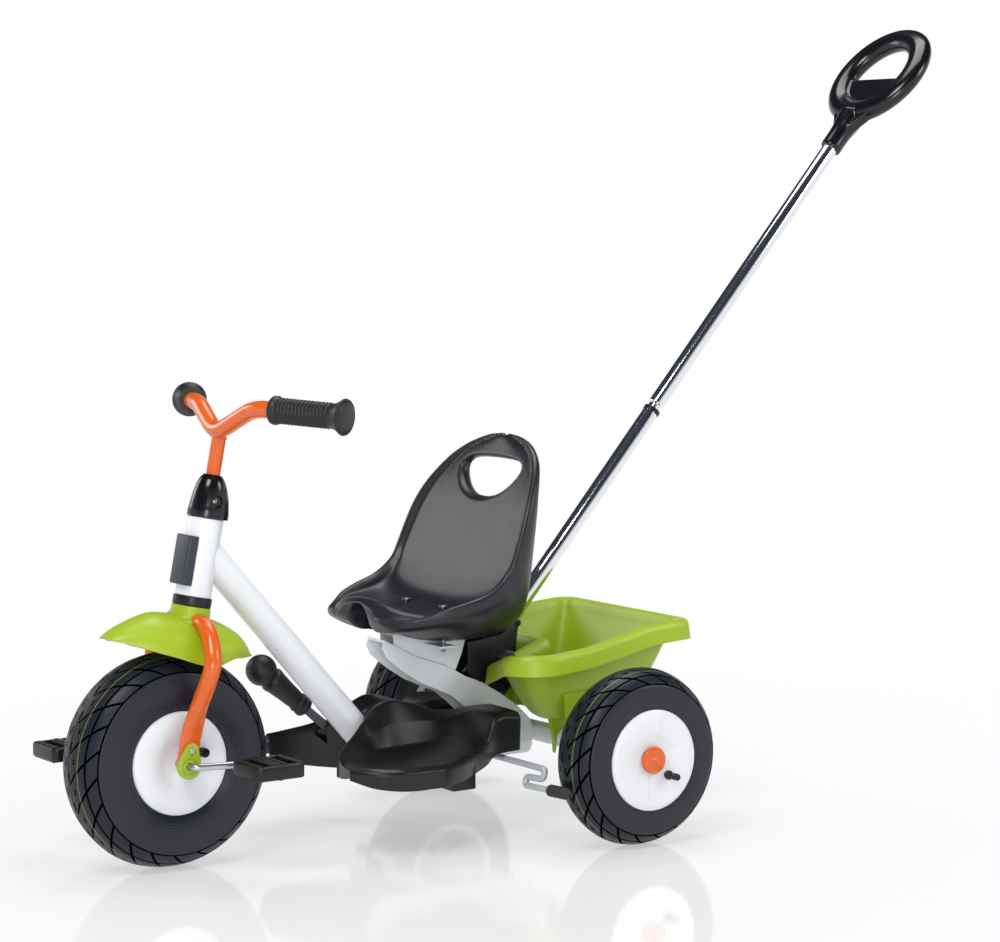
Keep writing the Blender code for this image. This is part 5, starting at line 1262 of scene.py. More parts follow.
@dataclass
class FrontWheel:
    """The pedal-driven front wheel on its cranked axle."""

    crank: float = 0.070
    crank_radius: float = 0.00425
    bend_y: float = 0.0695
    out_y: float = 0.084
    spindle_end: float = 0.152
    valve_way: tuple[float, float, float] = (-0.935, 0.0, 0.355)
    section: Outline = ((0.0575, 0.0330), (0.0622, 0.0334), (0.0645, 0.0356), (0.0690, 0.0382),
                        (0.0760, 0.0404), (0.0860, 0.0418), (0.0950, 0.0418), (0.1025, 0.0406),
                        (0.1055, 0.0398), (0.1072, 0.0402), (0.1120, 0.0374), (0.1180, 0.0322),
                        (0.1235, 0.0245), (0.1268, 0.0160), (0.1287, 0.0080), (0.1300, 0.0))

    def build(self, shop: Workshop) -> None:
        """Make the wheel's pieces."""
        centre = shop.layout.hub
        rim = Rim(relief=0.0)
        Tyre("front_tyre", self.section, BEAD).build(shop, centre, FRONT_RUBBER)
        for side in Side:
            bm = rim.half_rim(self.crank_radius + CLEARANCE, facing(centre, LEFT * side.value))
            shop.shaped("front_rim_" + side.word, "pressed", bm, RIM_WHITE)
        way = Vector(self.valve_way).normalized()
        valve = Valve("front_inner_tube", "front_valve_cap", way, 0.0080, 1, 0.0868, 0.0295,
                      cap_radius=0.0057)
        valve.build(shop, centre, rim)
        half = [Vector((0.0, self.bend_y, 0.0)), Vector((-self.crank, self.out_y, 0.0)),
                Vector((-self.crank, self.spindle_end, 0.0))]
        line = [Vector((-p.x, -p.y, 0.0)) for p in reversed(half)] + half
        path = [centre + place for place in eased(line, 0.009, 8)]
        shop.shaped("crank_axle", "bent", tube(path, self.crank_radius, 24), ZINC)


@dataclass
class RearWheel:
    """A rear wheel, with its orange hub cap.

    Args:
        side: Its side.
    """

    side: Side
    track: float = 0.4514
    bore: float = 0.0053
    valve_way: tuple[float, float, float] = (-0.74, 0.0, -0.67)
    section: Outline = ((0.0575, 0.0330), (0.0622, 0.0334), (0.0650, 0.0340), (0.0700, 0.0345),
                        (0.0780, 0.0345), (0.0845, 0.0341), (0.0880, 0.0333), (0.0896, 0.0336),
                        (0.0935, 0.0318), (0.0985, 0.0275), (0.1030, 0.0215), (0.1065, 0.0140),
                        (0.1088, 0.0070), (0.1099, 0.0))

    def build(self, shop: Workshop) -> None:
        """Make the wheel's pieces."""
        word = self.side.word
        centre = shop.layout.axle + LEFT * (self.side.value * self.track / 2)
        frame = facing(centre, LEFT * self.side.value)
        rim = Rim()
        Tyre("rear_tyre_" + word, self.section, BEAD).build(shop, centre, REAR_RUBBER)
        shop.shaped("rear_rim_" + word, "pressed", rim.whole_rim(self.bore, frame), RIM_WHITE)
        way = Vector(self.valve_way).normalized()
        Valve("rear_inner_tube_" + word, "rear_valve_cap_" + word, way, 0.0160, self.side.value,
              0.0768, 0.0200).build(shop, centre, rim)
        half = rim.width / 2
        face = half - 0.0042
        cap = [(0.0, face + 0.0130), (0.0042, face + 0.0130), (0.0060, face + 0.0095),
               (0.0095, face + 0.0090), (0.0145, face + 0.0082), (0.0165, face + 0.0060),
               (0.0165, face + 0.0015), (0.0150, face), (self.bore, face),
               (self.bore, half + 0.0018), (0.0, half + 0.0018)]
        shop.turned("hub_cap_" + word, cap, frame, ORANGE_PAINT, ease=0.0012, steps=72)


@dataclass
class Pedal:
    """A moulded pedal with two slots, a barrel for its spindle and raised treads.

    Args:
        side: Its side.
    """

    side: Side
    crank: float = 0.070
    inner: float = 0.0915
    outer: float = 0.157
    length: float = 0.066
    thick: float = 0.020
    slot: float = 0.0125
    barrel: float = 0.0094
    corner: float = 0.009
    stud_pitch: float = 0.0078
    studs: Outline = ((-0.027, 0.0080), (-0.0085, 0.0060), (0.0085, 0.0060), (0.027, 0.0080))

    def build(self, shop: Workshop) -> None:
        """Make the pedal."""
        word = self.side.word
        mid_y = self.side.value * (self.inner + self.outer) / 2
        centre = shop.layout.hub + Vector((-self.side.value * self.crank, mid_y, 0.0))
        wide = self.outer - self.inner
        half_l, half_w = self.length / 2, wide / 2
        outline = []
        for index, (along, over) in enumerate(((1, 1), (-1, 1), (-1, -1), (1, -1))):
            middle = (along * (half_l - self.corner), over * (half_w - self.corner))
            outline += arc(middle, self.corner, 90 * index, 90 * index + 90, 6)
        plate = prism(outline, self.thick - 0.003, Matrix.Translation(centre), 0.0022)
        obj = make_object("pedal_%s_moulded" % word, plate)
        for way in (1, -1):
            place = Matrix.Translation(centre + FORWARD * (way * self.length * 0.27))
            carve(obj, brick((self.slot, wide - 0.016, 0.04), place, 0.002))
        bars = []
        for way in (1, -1):
            for row in range(7):
                high = way * (self.thick / 2 - 0.0018)
                spot = centre + Vector((0.0, (row - 3) * self.stud_pitch, high))
                for reach, long in self.studs:
                    place = Matrix.Translation(spot + FORWARD * reach)
                    bars.append(brick((long, 0.0042, 0.0030), place, 0.0007))
        ends = self.side.value * (wide / 2 + 0.0004)
        barrel = tube([centre - LEFT * ends, centre + LEFT * (ends * 0.9)], self.barrel, 32)
        shop.stand_in(joined(obj, barrel, *bars), BLACK_PLASTIC, "pedal_" + word)


# Steering


@dataclass
class Fork:
    """The orange fork with its lime bearing caps and their screws."""

    radius: float = 0.0105
    crown: float = 0.1690
    blade_y: float = 0.0515
    blade_thick: float = 0.0070
    blade_half: float = 0.0135
    steerer: float = 0.013
    cap_thick: float = 0.005
    cap_radius: float = 0.0155
    cap_tip: float = 0.0088
    cap_rise: float = 0.0190
    arch: Outline = ((0.0, 0.1665), (0.0260, 0.1677), (0.0433, 0.1640), (0.0616, 0.1485),
                     (0.0740, 0.1244), (0.0705, 0.1025), (0.0616, 0.0799), (0.0545, 0.0560),
                     (0.0515, 0.0360), (0.0515, 0.0200))

    def widths_at(self, up: float) -> tuple[float, float]:
        """The tube's half widths at a height above the hub, forwards and sideways."""
        share = clamped((0.085 - up) / 0.045)
        share = share * share * (3 - 2 * share)
        wide = self.radius + (self.blade_half - self.radius) * share
        thick = self.radius + (self.blade_thick / 2 - self.radius) * share
        if up < 0.0015:
            drop = min(0.999, (0.0015 - up) / self.blade_half)
            wide = self.blade_half * math.sqrt(1.0 - drop * drop)
        return wide, thick

    def build(self, shop: Workshop) -> None:
        """Make the fork, the caps and the screws."""
        lay = shop.layout
        half = [Vector(p) for p in through(self.arch, 70)]
        half += [Vector((self.blade_y, s)) for s in (0.012, 0.006, 0.0015, -0.002, -0.005, -0.008,
                                                    -0.0100, -0.0112, -0.01185)]
        line = [Vector((-p.x, p.y)) for p in reversed(half[1:])] + half
        path = [lay.steer(0.0, p.x, p.y) for p in line]
        legs = tube(path, self.radius, 36, lay.steer_forward, [self.widths_at(p.y) for p in line])
        base = facing(lay.hub, lay.steer_up)
        shaft = [(0.0, 0.262), (0.0093, 0.262), (0.0093, 0.330), (self.steerer, 0.330),
                 (self.steerer, self.crown), (0.0, self.crown)]
        steerer = lathe(eased(shaft, 0.0006, 2), base, 48)
        shop.shaped("fork", "bent", together(legs, steerer), ORANGE_PAINT)
        for side in Side:
            self.cap(shop, side)

    def cap(self, shop: Workshop, side: Side) -> None:
        """Make the bearing cap and the screw of one side."""
        lay = shop.layout
        face = self.blade_y + self.blade_thick / 2 + CLEARANCE

        def leaning(left: float, up: float) -> Matrix:
            """A frame on this side of the hub, whose Y looks up the steering axis."""
            place = lay.steer(0.0, side.value * left, up)
            return basis(place, lay.steer_forward, lay.steer_up, -LEFT)

        lean = math.degrees(math.asin((self.cap_radius - self.cap_tip) / self.cap_rise))
        outline = arc((0.0, 0.0), self.cap_radius, 180.0 - lean, 360.0 + lean, 32)
        outline += arc((0.0, self.cap_rise), self.cap_tip, lean, 180.0 - lean, 16)
        obj = make_object("fork_bearing_%s_moulded" % side.word,
                          prism(outline, self.cap_thick, leaning(face + self.cap_thick / 2, 0.0),
                                0.0010))
        spin_frame = facing(lay.hub, LEFT * side.value)
        outer = face + self.cap_thick
        groove = lathe([(0.0088, outer - 0.0009), (0.0088, outer + 0.001), (0.0098, outer + 0.001),
                        (0.0098, outer - 0.0009)], spin_frame, 48)
        carve(obj, groove, brick((0.0008, 0.0085, 0.0016), leaning(outer, 0.0135), 0.0001),
              lathe([(0.0, outer + 0.002), (0.0047, outer + 0.002), (0.0047, face - 0.01),
                     (0.0, face - 0.01)], spin_frame, 32))
        boss = lathe(eased([(0.0046, self.blade_y - 0.005), (0.0075, self.blade_y - 0.005),
                            (0.0075, outer - 0.002), (0.0046, outer - 0.002)], 0.0003, 2),
                     spin_frame, 40)
        shop.stand_in(joined(obj, boss), LIME_GLOSS, "fork_bearing_" + side.word)
        start = facing(lay.steer(0.0, 0.0, 0.019), LEFT * side.value, lay.steer_up)
        screw_head(shop, "fork_screw_" + side.word, start, outer + CLEARANCE, 0.0036, 0.0017,
                   0.0020, outer - (self.blade_y - 0.0025))


def screw_head(shop: Workshop, node: str, frame: Matrix, seat: float, radius: float, high: float,
               shank: float, reach: float, finish: Finish = ZINC) -> None:
    """Make a screw with a domed, cross-slotted head.

    Args:
        shop: The workshop.
        node: The node that it stands for.
        frame: The screw's frame, whose Z points out of the head.
        seat: The height of the head's underside.
        radius: The head's radius.
        high: The head's height.
        shank: The shank's radius.
        reach: The shank's length.
        finish: Its finish.
    """
    turns = [math.radians(degrees) for degrees in (80, 60, 40, 20, 0)]
    dome = [(radius * math.cos(turn), seat + high * (0.35 + 0.65 * math.sin(turn)))
            for turn in turns]
    profile = [(0.0, seat + high)] + dome + [(radius, seat), (shank, seat), (shank, seat - reach),
                                             (0.0, seat - reach)]
    obj = make_object(node + "_slotted", lathe(profile, frame, 32))
    for turn in (0.0, math.pi / 2):
        place = frame @ Matrix.Translation((0.0, 0.0, seat + high)) @ Matrix.Rotation(turn, 4, "Z")
        carve(obj, brick((radius * 1.15, radius * 0.26, high * 0.9), place, radius * 0.02))
    shop.stand_in(obj, finish, node)


@dataclass
class Fender:
    """The lime fender over the front tyre."""

    thick: float = 0.0025
    collar_radius: float = 0.0243
    collar_top: float = 0.1854
    collar_bore: float = 0.0132
    ridge: Outline = ((0.1096, 0.1342), (0.1010, 0.1430), (0.0856, 0.1545), (0.0556, 0.1703),
                      (0.0275, 0.1735), (0.0, 0.1740), (-0.0307, 0.1722), (-0.0589, 0.1632),
                      (-0.0758, 0.1520), (-0.0880, 0.1375))
    edge: Sequence[tuple[float, float, float]] = (
        (0.1085, 0.0120, 0.1325), (0.1000, 0.0200, 0.1322), (0.0870, 0.0275, 0.1315),
        (0.0550, 0.0420, 0.1270), (0.0300, 0.0470, 0.1240), (0.0045, 0.0495, 0.1200),
        (-0.0200, 0.0490, 0.1195), (-0.0480, 0.0400, 0.1310), (-0.0680, 0.0270, 0.1330),
        (-0.0860, 0.0130, 0.1355))

    def build(self, shop: Workshop) -> None:
        """Make the fender and its collar."""
        lay = shop.layout
        steps, half_steps = 84, 22
        ridge = through(self.ridge, steps)
        edge = through(self.edge, steps)
        rows = []
        for top, low in zip(ridge, edge):
            row = []
            for step in range(-half_steps, half_steps + 1):
                angle = math.radians(90.0 * step / half_steps)
                fall = 1.0 - math.cos(angle)
                row.append(lay.steer(top.x + (low.x - top.x) * fall, low.y * math.sin(angle),
                                     top.y + (low.z - top.y) * fall))
            rows.append(row)
        bm = skin(rows)
        if sum(face.normal.dot(lay.steer_up) for face in bm.faces) < 0.0:
            bmesh.ops.reverse_faces(bm, faces=bm.faces)
        obj = wall(make_object("fender_moulded", bm), self.thick, 0.0009)
        base = facing(lay.hub, lay.steer_up)
        wide, top, foot = self.collar_radius, self.collar_top, 0.1655
        flare = through([(wide - 0.0006, 0.1835), (wide - 0.0002, 0.1770), (wide + 0.0004, 0.1725),
                         (wide + 0.0022, 0.1700), (wide + 0.0060, 0.1682)], 12)
        profile = [(self.collar_bore, top), (wide - 0.0020, top), (wide - 0.0008, top - 0.0006),
                   *flare, (wide + 0.0060, foot), (self.collar_bore, foot)]
        collar = lathe(profile, base, 80)
        shop.stand_in(joined(obj, collar), LIME_PLASTIC, "fender")


@dataclass
class Handlebar:
    """The handlebar with its stem, ribbed grips, headset cap and clamp screw."""

    radius: float = 0.0105
    stem: float = 0.00875
    stem_foot: float = 0.2626
    joint: float = 0.397
    grip_in: tuple[float, float, float] = (-0.0111, 0.1026, 0.4301)
    grip_out: tuple[float, float, float] = (-0.0534, 0.1874, 0.4337)
    grip_radius: float = 0.0156
    collar_radius: float = 0.0172
    end_radius: float = 0.0218
    ribs: int = 14
    head_high: float = 0.292
    cap_top: float = 0.344
    cap_bore: float = 0.00905
    clamp: float = 0.3130

    def build(self, shop: Workshop) -> None:
        """Make the bar, grips and cap."""
        lay = shop.layout
        half = [(0.0036, 0.0, self.joint + 0.0008), (0.0034, 0.0100, self.joint + 0.0026),
                (0.0026, 0.0230, 0.4052), (0.0008, 0.0420, 0.4150), (-0.0014, 0.0610, 0.4243),
                (-0.0045, 0.0800, 0.4287), self.grip_in]
        line = [(x, -y, s) for x, y, s in reversed(half[1:])] + half
        middle = through([lay.steer(*place) for place in line], 96)
        ahead, left, up = self.grip_out
        ends = [lay.steer(ahead, -left, up), lay.steer(ahead, left, up)]
        path = [ends[0]] + middle + [ends[1]]
        bar = tube(path, self.radius, 36, lay.steer_forward)
        base = facing(lay.hub, lay.steer_up)
        thin, top = self.stem, self.joint
        stem = lathe([(0.0, self.stem_foot), (thin, self.stem_foot), (thin, top - 0.010),
                      (thin + 0.0006, top - 0.0085), (thin + 0.0004, top - 0.006), (thin, top),
                      (0.0, top)], base, 48)
        shop.shaped("handlebar", "bent", together(bar, stem), ORANGE_PAINT)
        for side in Side:
            self.grip(shop, side)
        high = self.head_high
        cone = through([(0.0231, high + 0.0100), (0.0226, high + 0.0130), (0.0217, high + 0.0200),
                        (0.0203, high + 0.0290), (0.0187, high + 0.0370), (0.0168, high + 0.0430),
                        (0.0146, high + 0.0475), (0.0120, self.cap_top - 0.0012)], 22)
        seat, under, step = high + CLEARANCE, high + 0.0040, 0.3303
        profile = [(self.cap_bore, self.cap_top), (0.0110, self.cap_top), *cone[::-1],
                   (0.0235, high + 0.0060), (0.0232, seat), (0.0216, seat), (0.0216, under),
                   (0.0133, under), (0.0133, step), (self.cap_bore, step)]
        shape = lathe(profile, base, 72)
        inverse = base.inverted()
        for vert in shape.verts:
            local = inverse @ vert.co
            reach = math.hypot(local.x, local.y)
            if reach > 0.0125 and local.z < self.cap_top - 0.002:
                rear = max(0.0, -local.x / reach) ** 1.5
                grow = 1.0 + 0.17 * rear * min(1.0, (self.cap_top - local.z) / 0.030)
                vert.co = base @ Vector((local.x * grow, local.y * grow, local.z))
        cap = make_object("headset_cap_moulded", shape)
        side_frame = facing(lay.steer(0.0, 0.0, self.clamp), LEFT, lay.steer_up)
        carve(cap, lathe([(0.0, 0.030), (0.0098, 0.030), (0.0078, 0.0205), (0.0062, 0.0175),
                          (0.0, 0.0165)], side_frame, 36))
        shop.stand_in(cap, BLACK_GLOSS, "headset_cap")
        screw_head(shop, "clamp_screw", side_frame, 0.0150, 0.0036, 0.0028, 0.0030, 0.0015)

    def grip(self, shop: Workshop, side: Side) -> None:
        """Make one ribbed grip with its flared end."""
        lay = shop.layout
        flip = side.value
        start, end = (lay.steer(ahead, flip * left, up)
                      for ahead, left, up in (self.grip_in, self.grip_out))
        reach = (end - start).length
        first, last = 0.0085, reach - 0.0160
        bore, collar = self.radius + CLEARANCE, self.collar_radius
        wide, flared = self.grip_radius, self.end_radius
        profile = [(bore, -0.0020), (collar - 0.0010, -0.0020), (collar, -0.0004), (collar, 0.0032),
                   (collar - 0.0010, 0.0050), (wide + 0.0003, 0.0062)]
        pitch = (last - first) / self.ribs
        for rib in range(self.ribs):
            foot = first + pitch * rib
            profile += [(wide - 0.0019, foot), (wide - 0.0006, foot + pitch * 0.2),
                        (wide, foot + pitch * 0.45), (wide - 0.0006, foot + pitch * 0.72)]
        flare = through([(wide - 0.0008, last), (wide - 0.0004, last + 0.0030),
                         (wide + 0.0008, last + 0.0075), (wide + 0.0030, last + 0.0120),
                         (flared - 0.0006, last + 0.0160)], 14)
        rim = last + 0.0160
        profile += [(place.x, place.y) for place in flare]
        profile += [(flared, rim + 0.0010), (flared - 0.0004, rim + 0.0024),
                    (flared - 0.0020, rim + 0.0030), (flared - 0.0032, rim + 0.0022),
                    (flared - 0.0042, rim + 0.0034), (flared - 0.0090, rim + 0.0046),
                    (0.0, rim + 0.0050)]
        profile = profile[::-1] + [(bore, reach + CLEARANCE), (0.0, reach + CLEARANCE)]
        grip = lathe(profile, facing(start, end - start), 72)
        shop.shaped("grip_" + side.word, "ribbed", grip, GRIP_BLACK, 50.0)


# Frame


@dataclass
class Frame:
    """The welded frame: tubes, beam, bearings, the head block and the rear axle."""

    head_low: float = 0.197
    head_high: float = 0.292
    head_radius: float = 0.0219
    head_bore: float = 0.0187
    ring_radius: float = 0.0235
    ring_low: float = 0.1857
    steerer: float = 0.0133
    main_radius: float = 0.019
    main_head: float = 0.2579
    main_foot: tuple[float, float, float] = (0.2613, 0.0, 0.1304)
    spine: float = 0.100
    axle_tube: float = 0.013
    axle_rod: float = 0.005
    block_middle: float = 0.23875
    block_high: float = 0.0595

    def main_path(self, lay: Layout) -> list[Vector]:
        """The main tube's line, from the head tube down and back to the rear axle tube."""
        top = lay.steer(0.0, 0.0, self.main_head)
        foot = lay.at(*self.main_foot)
        run = top - foot
        corner = foot - run * ((foot.z - self.spine) / run.z)
        rear = lay.at(self.axle_tube, 0.0, self.spine)
        return eased([top, corner, rear], 0.060, 14)

    def build(self, shop: Workshop) -> None:
        """Make the frame's pieces."""
        lay = shop.layout
        base = facing(lay.hub, lay.steer_up)
        head = [(self.head_bore, self.head_high), (self.head_radius, self.head_high),
                (self.head_radius, self.head_low), (self.head_bore, self.head_low)]
        shop.turned("head_tube", head, base, WHITE_PAINT, ease=0.0012, steps=72)
        main = make_object("main_tube_bent", tube(self.main_path(lay), self.main_radius, 56, LEFT))
        inside = self.head_radius - 0.0004
        carve(main, lathe([(0.0, 0.32), (inside, 0.32), (inside, 0.17), (0.0, 0.17)], base, 72))
        shop.stand_in(main, WHITE_PAINT, "main_tube")
        shop.dressed("seat_beam", WHITE_PAINT, 0.0030)
        shop.dressed("seat_support", WHITE_PAINT, 0.0009)
        low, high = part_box("rear_axle_tube")
        reach = (high.y - low.y) / 2
        bore, wide = self.axle_rod + CLEARANCE, self.axle_tube
        profile = [(bore, reach), (wide, reach), (wide, -reach), (bore, -reach)]
        axis = facing(lay.axle, LEFT)
        shop.turned("rear_axle_tube", profile, axis, WHITE_PAINT, ease=0.0008, steps=56)
        low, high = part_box("rear_axle")
        half = (high.y - low.y) / 2
        rod = [(0.0, half), (self.axle_rod, half), (self.axle_rod, -half), (0.0, -half)]
        shop.turned("rear_axle", rod, axis, ZINC, ease=0.0008, steps=32)
        bush, ring, low = self.head_bore - CLEARANCE, self.ring_radius, self.head_low - CLEARANCE
        lower = [(self.steerer, 0.216), (bush, 0.216), (bush, low), (ring, low),
                 (ring, self.ring_low), (self.steerer, self.ring_low)]
        shop.turned("lower_head_bearing", lower, base, BLACK_PLASTIC, ease=0.0006, steps=72)
        flange, low = self.head_radius - 0.001, self.head_high + CLEARANCE
        top = self.head_high + 0.0035
        upper = [(self.steerer, top), (flange, top), (flange, low), (bush, low), (bush, 0.274),
                 (self.steerer, 0.274)]
        shop.turned("upper_head_bearing", upper, base, BLACK_PLASTIC, ease=0.0005, steps=72)
        side = [(0.0140, 0.0186), (0.0240, 0.0176), (0.0262, 0.0160), (0.0271, 0.0080)]
        outline = side + [(0.0274, 0.0)] + [(x, -y) for x, y in reversed(side)]
        middle = basis(lay.steer(0.0, 0.0, self.block_middle), lay.steer_forward, LEFT,
                       lay.steer_up)
        block = make_object("head_block_moulded", prism(outline, self.block_high, middle, 0.0014))
        room = self.head_radius + CLEARANCE
        carve(block, lathe([(0.0, 0.30), (room, 0.30), (room, 0.18), (0.0, 0.18)], base, 72))
        shop.stand_in(block, DARK_GREY, "head_block")


@dataclass
class Seat:
    """The moulded seat with its rolled rim, handle hole and front arch, and its two screws.

    Args:
        stations: From the front edge to the top: inner middle (x, z), rim (x, y, z), outer middle.
    """

    stations: Sequence = (
        ((0.2635, 0.2965), (0.2670, 0.0560, 0.2845), (0.2600, 0.2700)),
        ((0.2505, 0.3020), (0.2555, 0.0850, 0.2815), (0.2480, 0.2600)),
        ((0.2350, 0.2955), (0.2330, 0.1075, 0.2865), (0.2300, 0.2575)),
        ((0.2120, 0.2885), (0.2140, 0.1205, 0.2945), (0.2080, 0.2525)),
        ((0.1850, 0.2840), (0.1880, 0.1295, 0.3025), (0.1800, 0.2450)),
        ((0.1600, 0.2845), (0.1600, 0.1345, 0.3105), (0.1450, 0.2400)),
        ((0.1435, 0.2945), (0.1400, 0.1354, 0.3225), (0.1050, 0.2395)),
        ((0.1315, 0.3130), (0.1290, 0.1345, 0.3345), (0.0700, 0.2460)),
        ((0.1205, 0.3360), (0.1200, 0.1362, 0.3505), (0.0530, 0.2750)),
        ((0.0980, 0.3850), (0.1010, 0.1318, 0.3960), (0.0490, 0.3600)),
        ((0.0810, 0.4215), (0.0845, 0.1210, 0.4285), (0.0478, 0.4110)),
        ((0.0640, 0.4540), (0.0640, 0.1000, 0.4600), (0.0450, 0.4500)),
        ((0.0545, 0.4720), (0.0520, 0.0760, 0.4780), (0.0405, 0.4720)),
        ((0.0485, 0.4845), (0.0445, 0.0500, 0.4890), (0.0365, 0.4840)),
        ((0.0458, 0.4903), (0.0428, 0.0280, 0.4946), (0.0357, 0.4893)),
        ((0.0442, 0.4930), (0.0416, 0.0070, 0.4966), (0.0352, 0.4922)))
    roll: float = 0.014
    back_square: float = 1.08
    grip: tuple[float, float, float] = (0.0600, 0.0, 0.4445)
    hole_look: tuple[float, float, float] = (0.93, 0.0, 0.37)
    hole: Outline = ((0.0, 0.0287), (0.0160, 0.0276), (0.0330, 0.0230), (0.0475, 0.0150),
                     (0.0585, 0.0045), (0.0640, -0.0060), (0.0620, -0.0142), (0.0530, -0.0200),
                     (0.0360, -0.0225), (0.0160, -0.0232), (0.0, -0.0234))
    spreads: Outline = ((-0.060, 0.030), (-0.026, 0.026), (-0.0170, 0.0170), (-0.0115, 0.0090),
                        (-0.0070, 0.0035), (-0.0035, 0.0006), (0.0, 0.0), (0.0035, 0.0002),
                        (0.0065, 0.0012), (0.0095, 0.0032), (0.0125, 0.0068), (0.0150, 0.0115),
                        (0.0400, 0.0180))
    arch_radius: float = 0.0215
    arch_high: float = 0.2740
    arch_span: tuple[float, float] = (0.2200, 0.3000)
    screw_x: float = 0.164
    screw_y: float = 0.043
    screw_low: float = 0.2315
    screw_long: float = 0.0562
    voxel: float = 0.0019

    def section(self, lay: Layout, station: Sequence[float]) -> list[Vector]:
        """One closed section: the bowl, over the rolled rim and round the back.

        Args:
            lay: The layout.
            station: The seven numbers of a station.

        Returns:
            The section's places.
        """
        middle = Vector((station[0], 0.0, station[1]))
        crest = Vector(station[2:5])
        base = Vector((station[5], 0.0, station[6]))
        down = (base - middle).normalized()
        roll = min(self.roll, 0.35 * crest.y)
        inside = crest - LEFT * roll + down * 0.006
        peak = crest - LEFT * (roll * 0.45) - down * 0.001
        outside = crest + down * 0.008
        half = []
        for step in range(16):
            t = step / 16 * math.pi / 2
            side = math.sin(t) ** 0.9
            flat = middle + (inside - middle) * (1.0 - math.cos(t) ** 0.9)
            half.append(Vector((flat.x, inside.y * side, flat.z)))
        half += through([inside, peak, crest + down * 0.002, outside], 9)
        for step in range(1, 15):
            t = step / 14 * math.pi / 2
            side = max(0.0, math.cos(t)) ** self.back_square
            flat = outside + (base - outside) * math.sin(t) ** self.back_square
            half.append(Vector((flat.x, outside.y * side, flat.z)))
        mirrored = [Vector((place.x, -place.y, place.z)) for place in half[-2:0:-1]]
        return [lay.at(*place) for place in half + mirrored]

    def hole_cutter(self, frame: Matrix) -> bmesh.types.BMesh:
        """The handle hole's cutter, which opens wide to the front and the back.

        Args:
            frame: The hole's frame, whose Z looks forwards.

        Returns:
            The cutter.
        """
        half = through(self.hole, 30)
        ring = [(p.x, p.y) for p in half] + [(-p.x, p.y) for p in reversed(half[1:-1])]
        rows = []
        for depth, spread in self.spreads:
            row = []
            for y, v in ring:
                lower = 0.55 if v > 0.0 and depth > 0.0 else 1.0
                grow = spread / math.hypot(y, v)
                row.append(frame @ Vector((y + y * grow, v + v * grow * lower, depth)))
            rows.append(row)
        return capped(skin(rows, ring=True))

    def build(self, shop: Workshop) -> None:
        """Make the seat and its screws."""
        lay = shop.layout
        flat = [Vector((*inner, *rim, *outer)) for inner, rim, outer in self.stations]
        rows = [self.section(lay, station) for station in through(flat, 88)]
        obj = make_object("seat_moulded", capped(skin(rows, ring=True)))
        look = Vector(self.hole_look).normalized()
        rise = look.cross(LEFT) * -1.0
        centre = lay.at(*self.grip)
        line = [lay.at(x, 0.0, self.arch_high) for x in self.arch_span]
        arch = tube(line, self.arch_radius, 40)
        carve(obj, self.hole_cutter(basis(centre, LEFT, rise, LEFT.cross(rise))), arch)
        melt(obj, self.voxel, 7)
        shop.stand_in(obj, SEAT_PLASTIC, "seat")
        for side in Side:
            place = lay.at(self.screw_x, side.value * self.screw_y, self.screw_low)
            screw_head(shop, "seat_screw_" + side.word, facing(place, UP), self.screw_long, 0.0056,
                       0.0030, 0.0025, self.screw_long, DARK_ZINC)


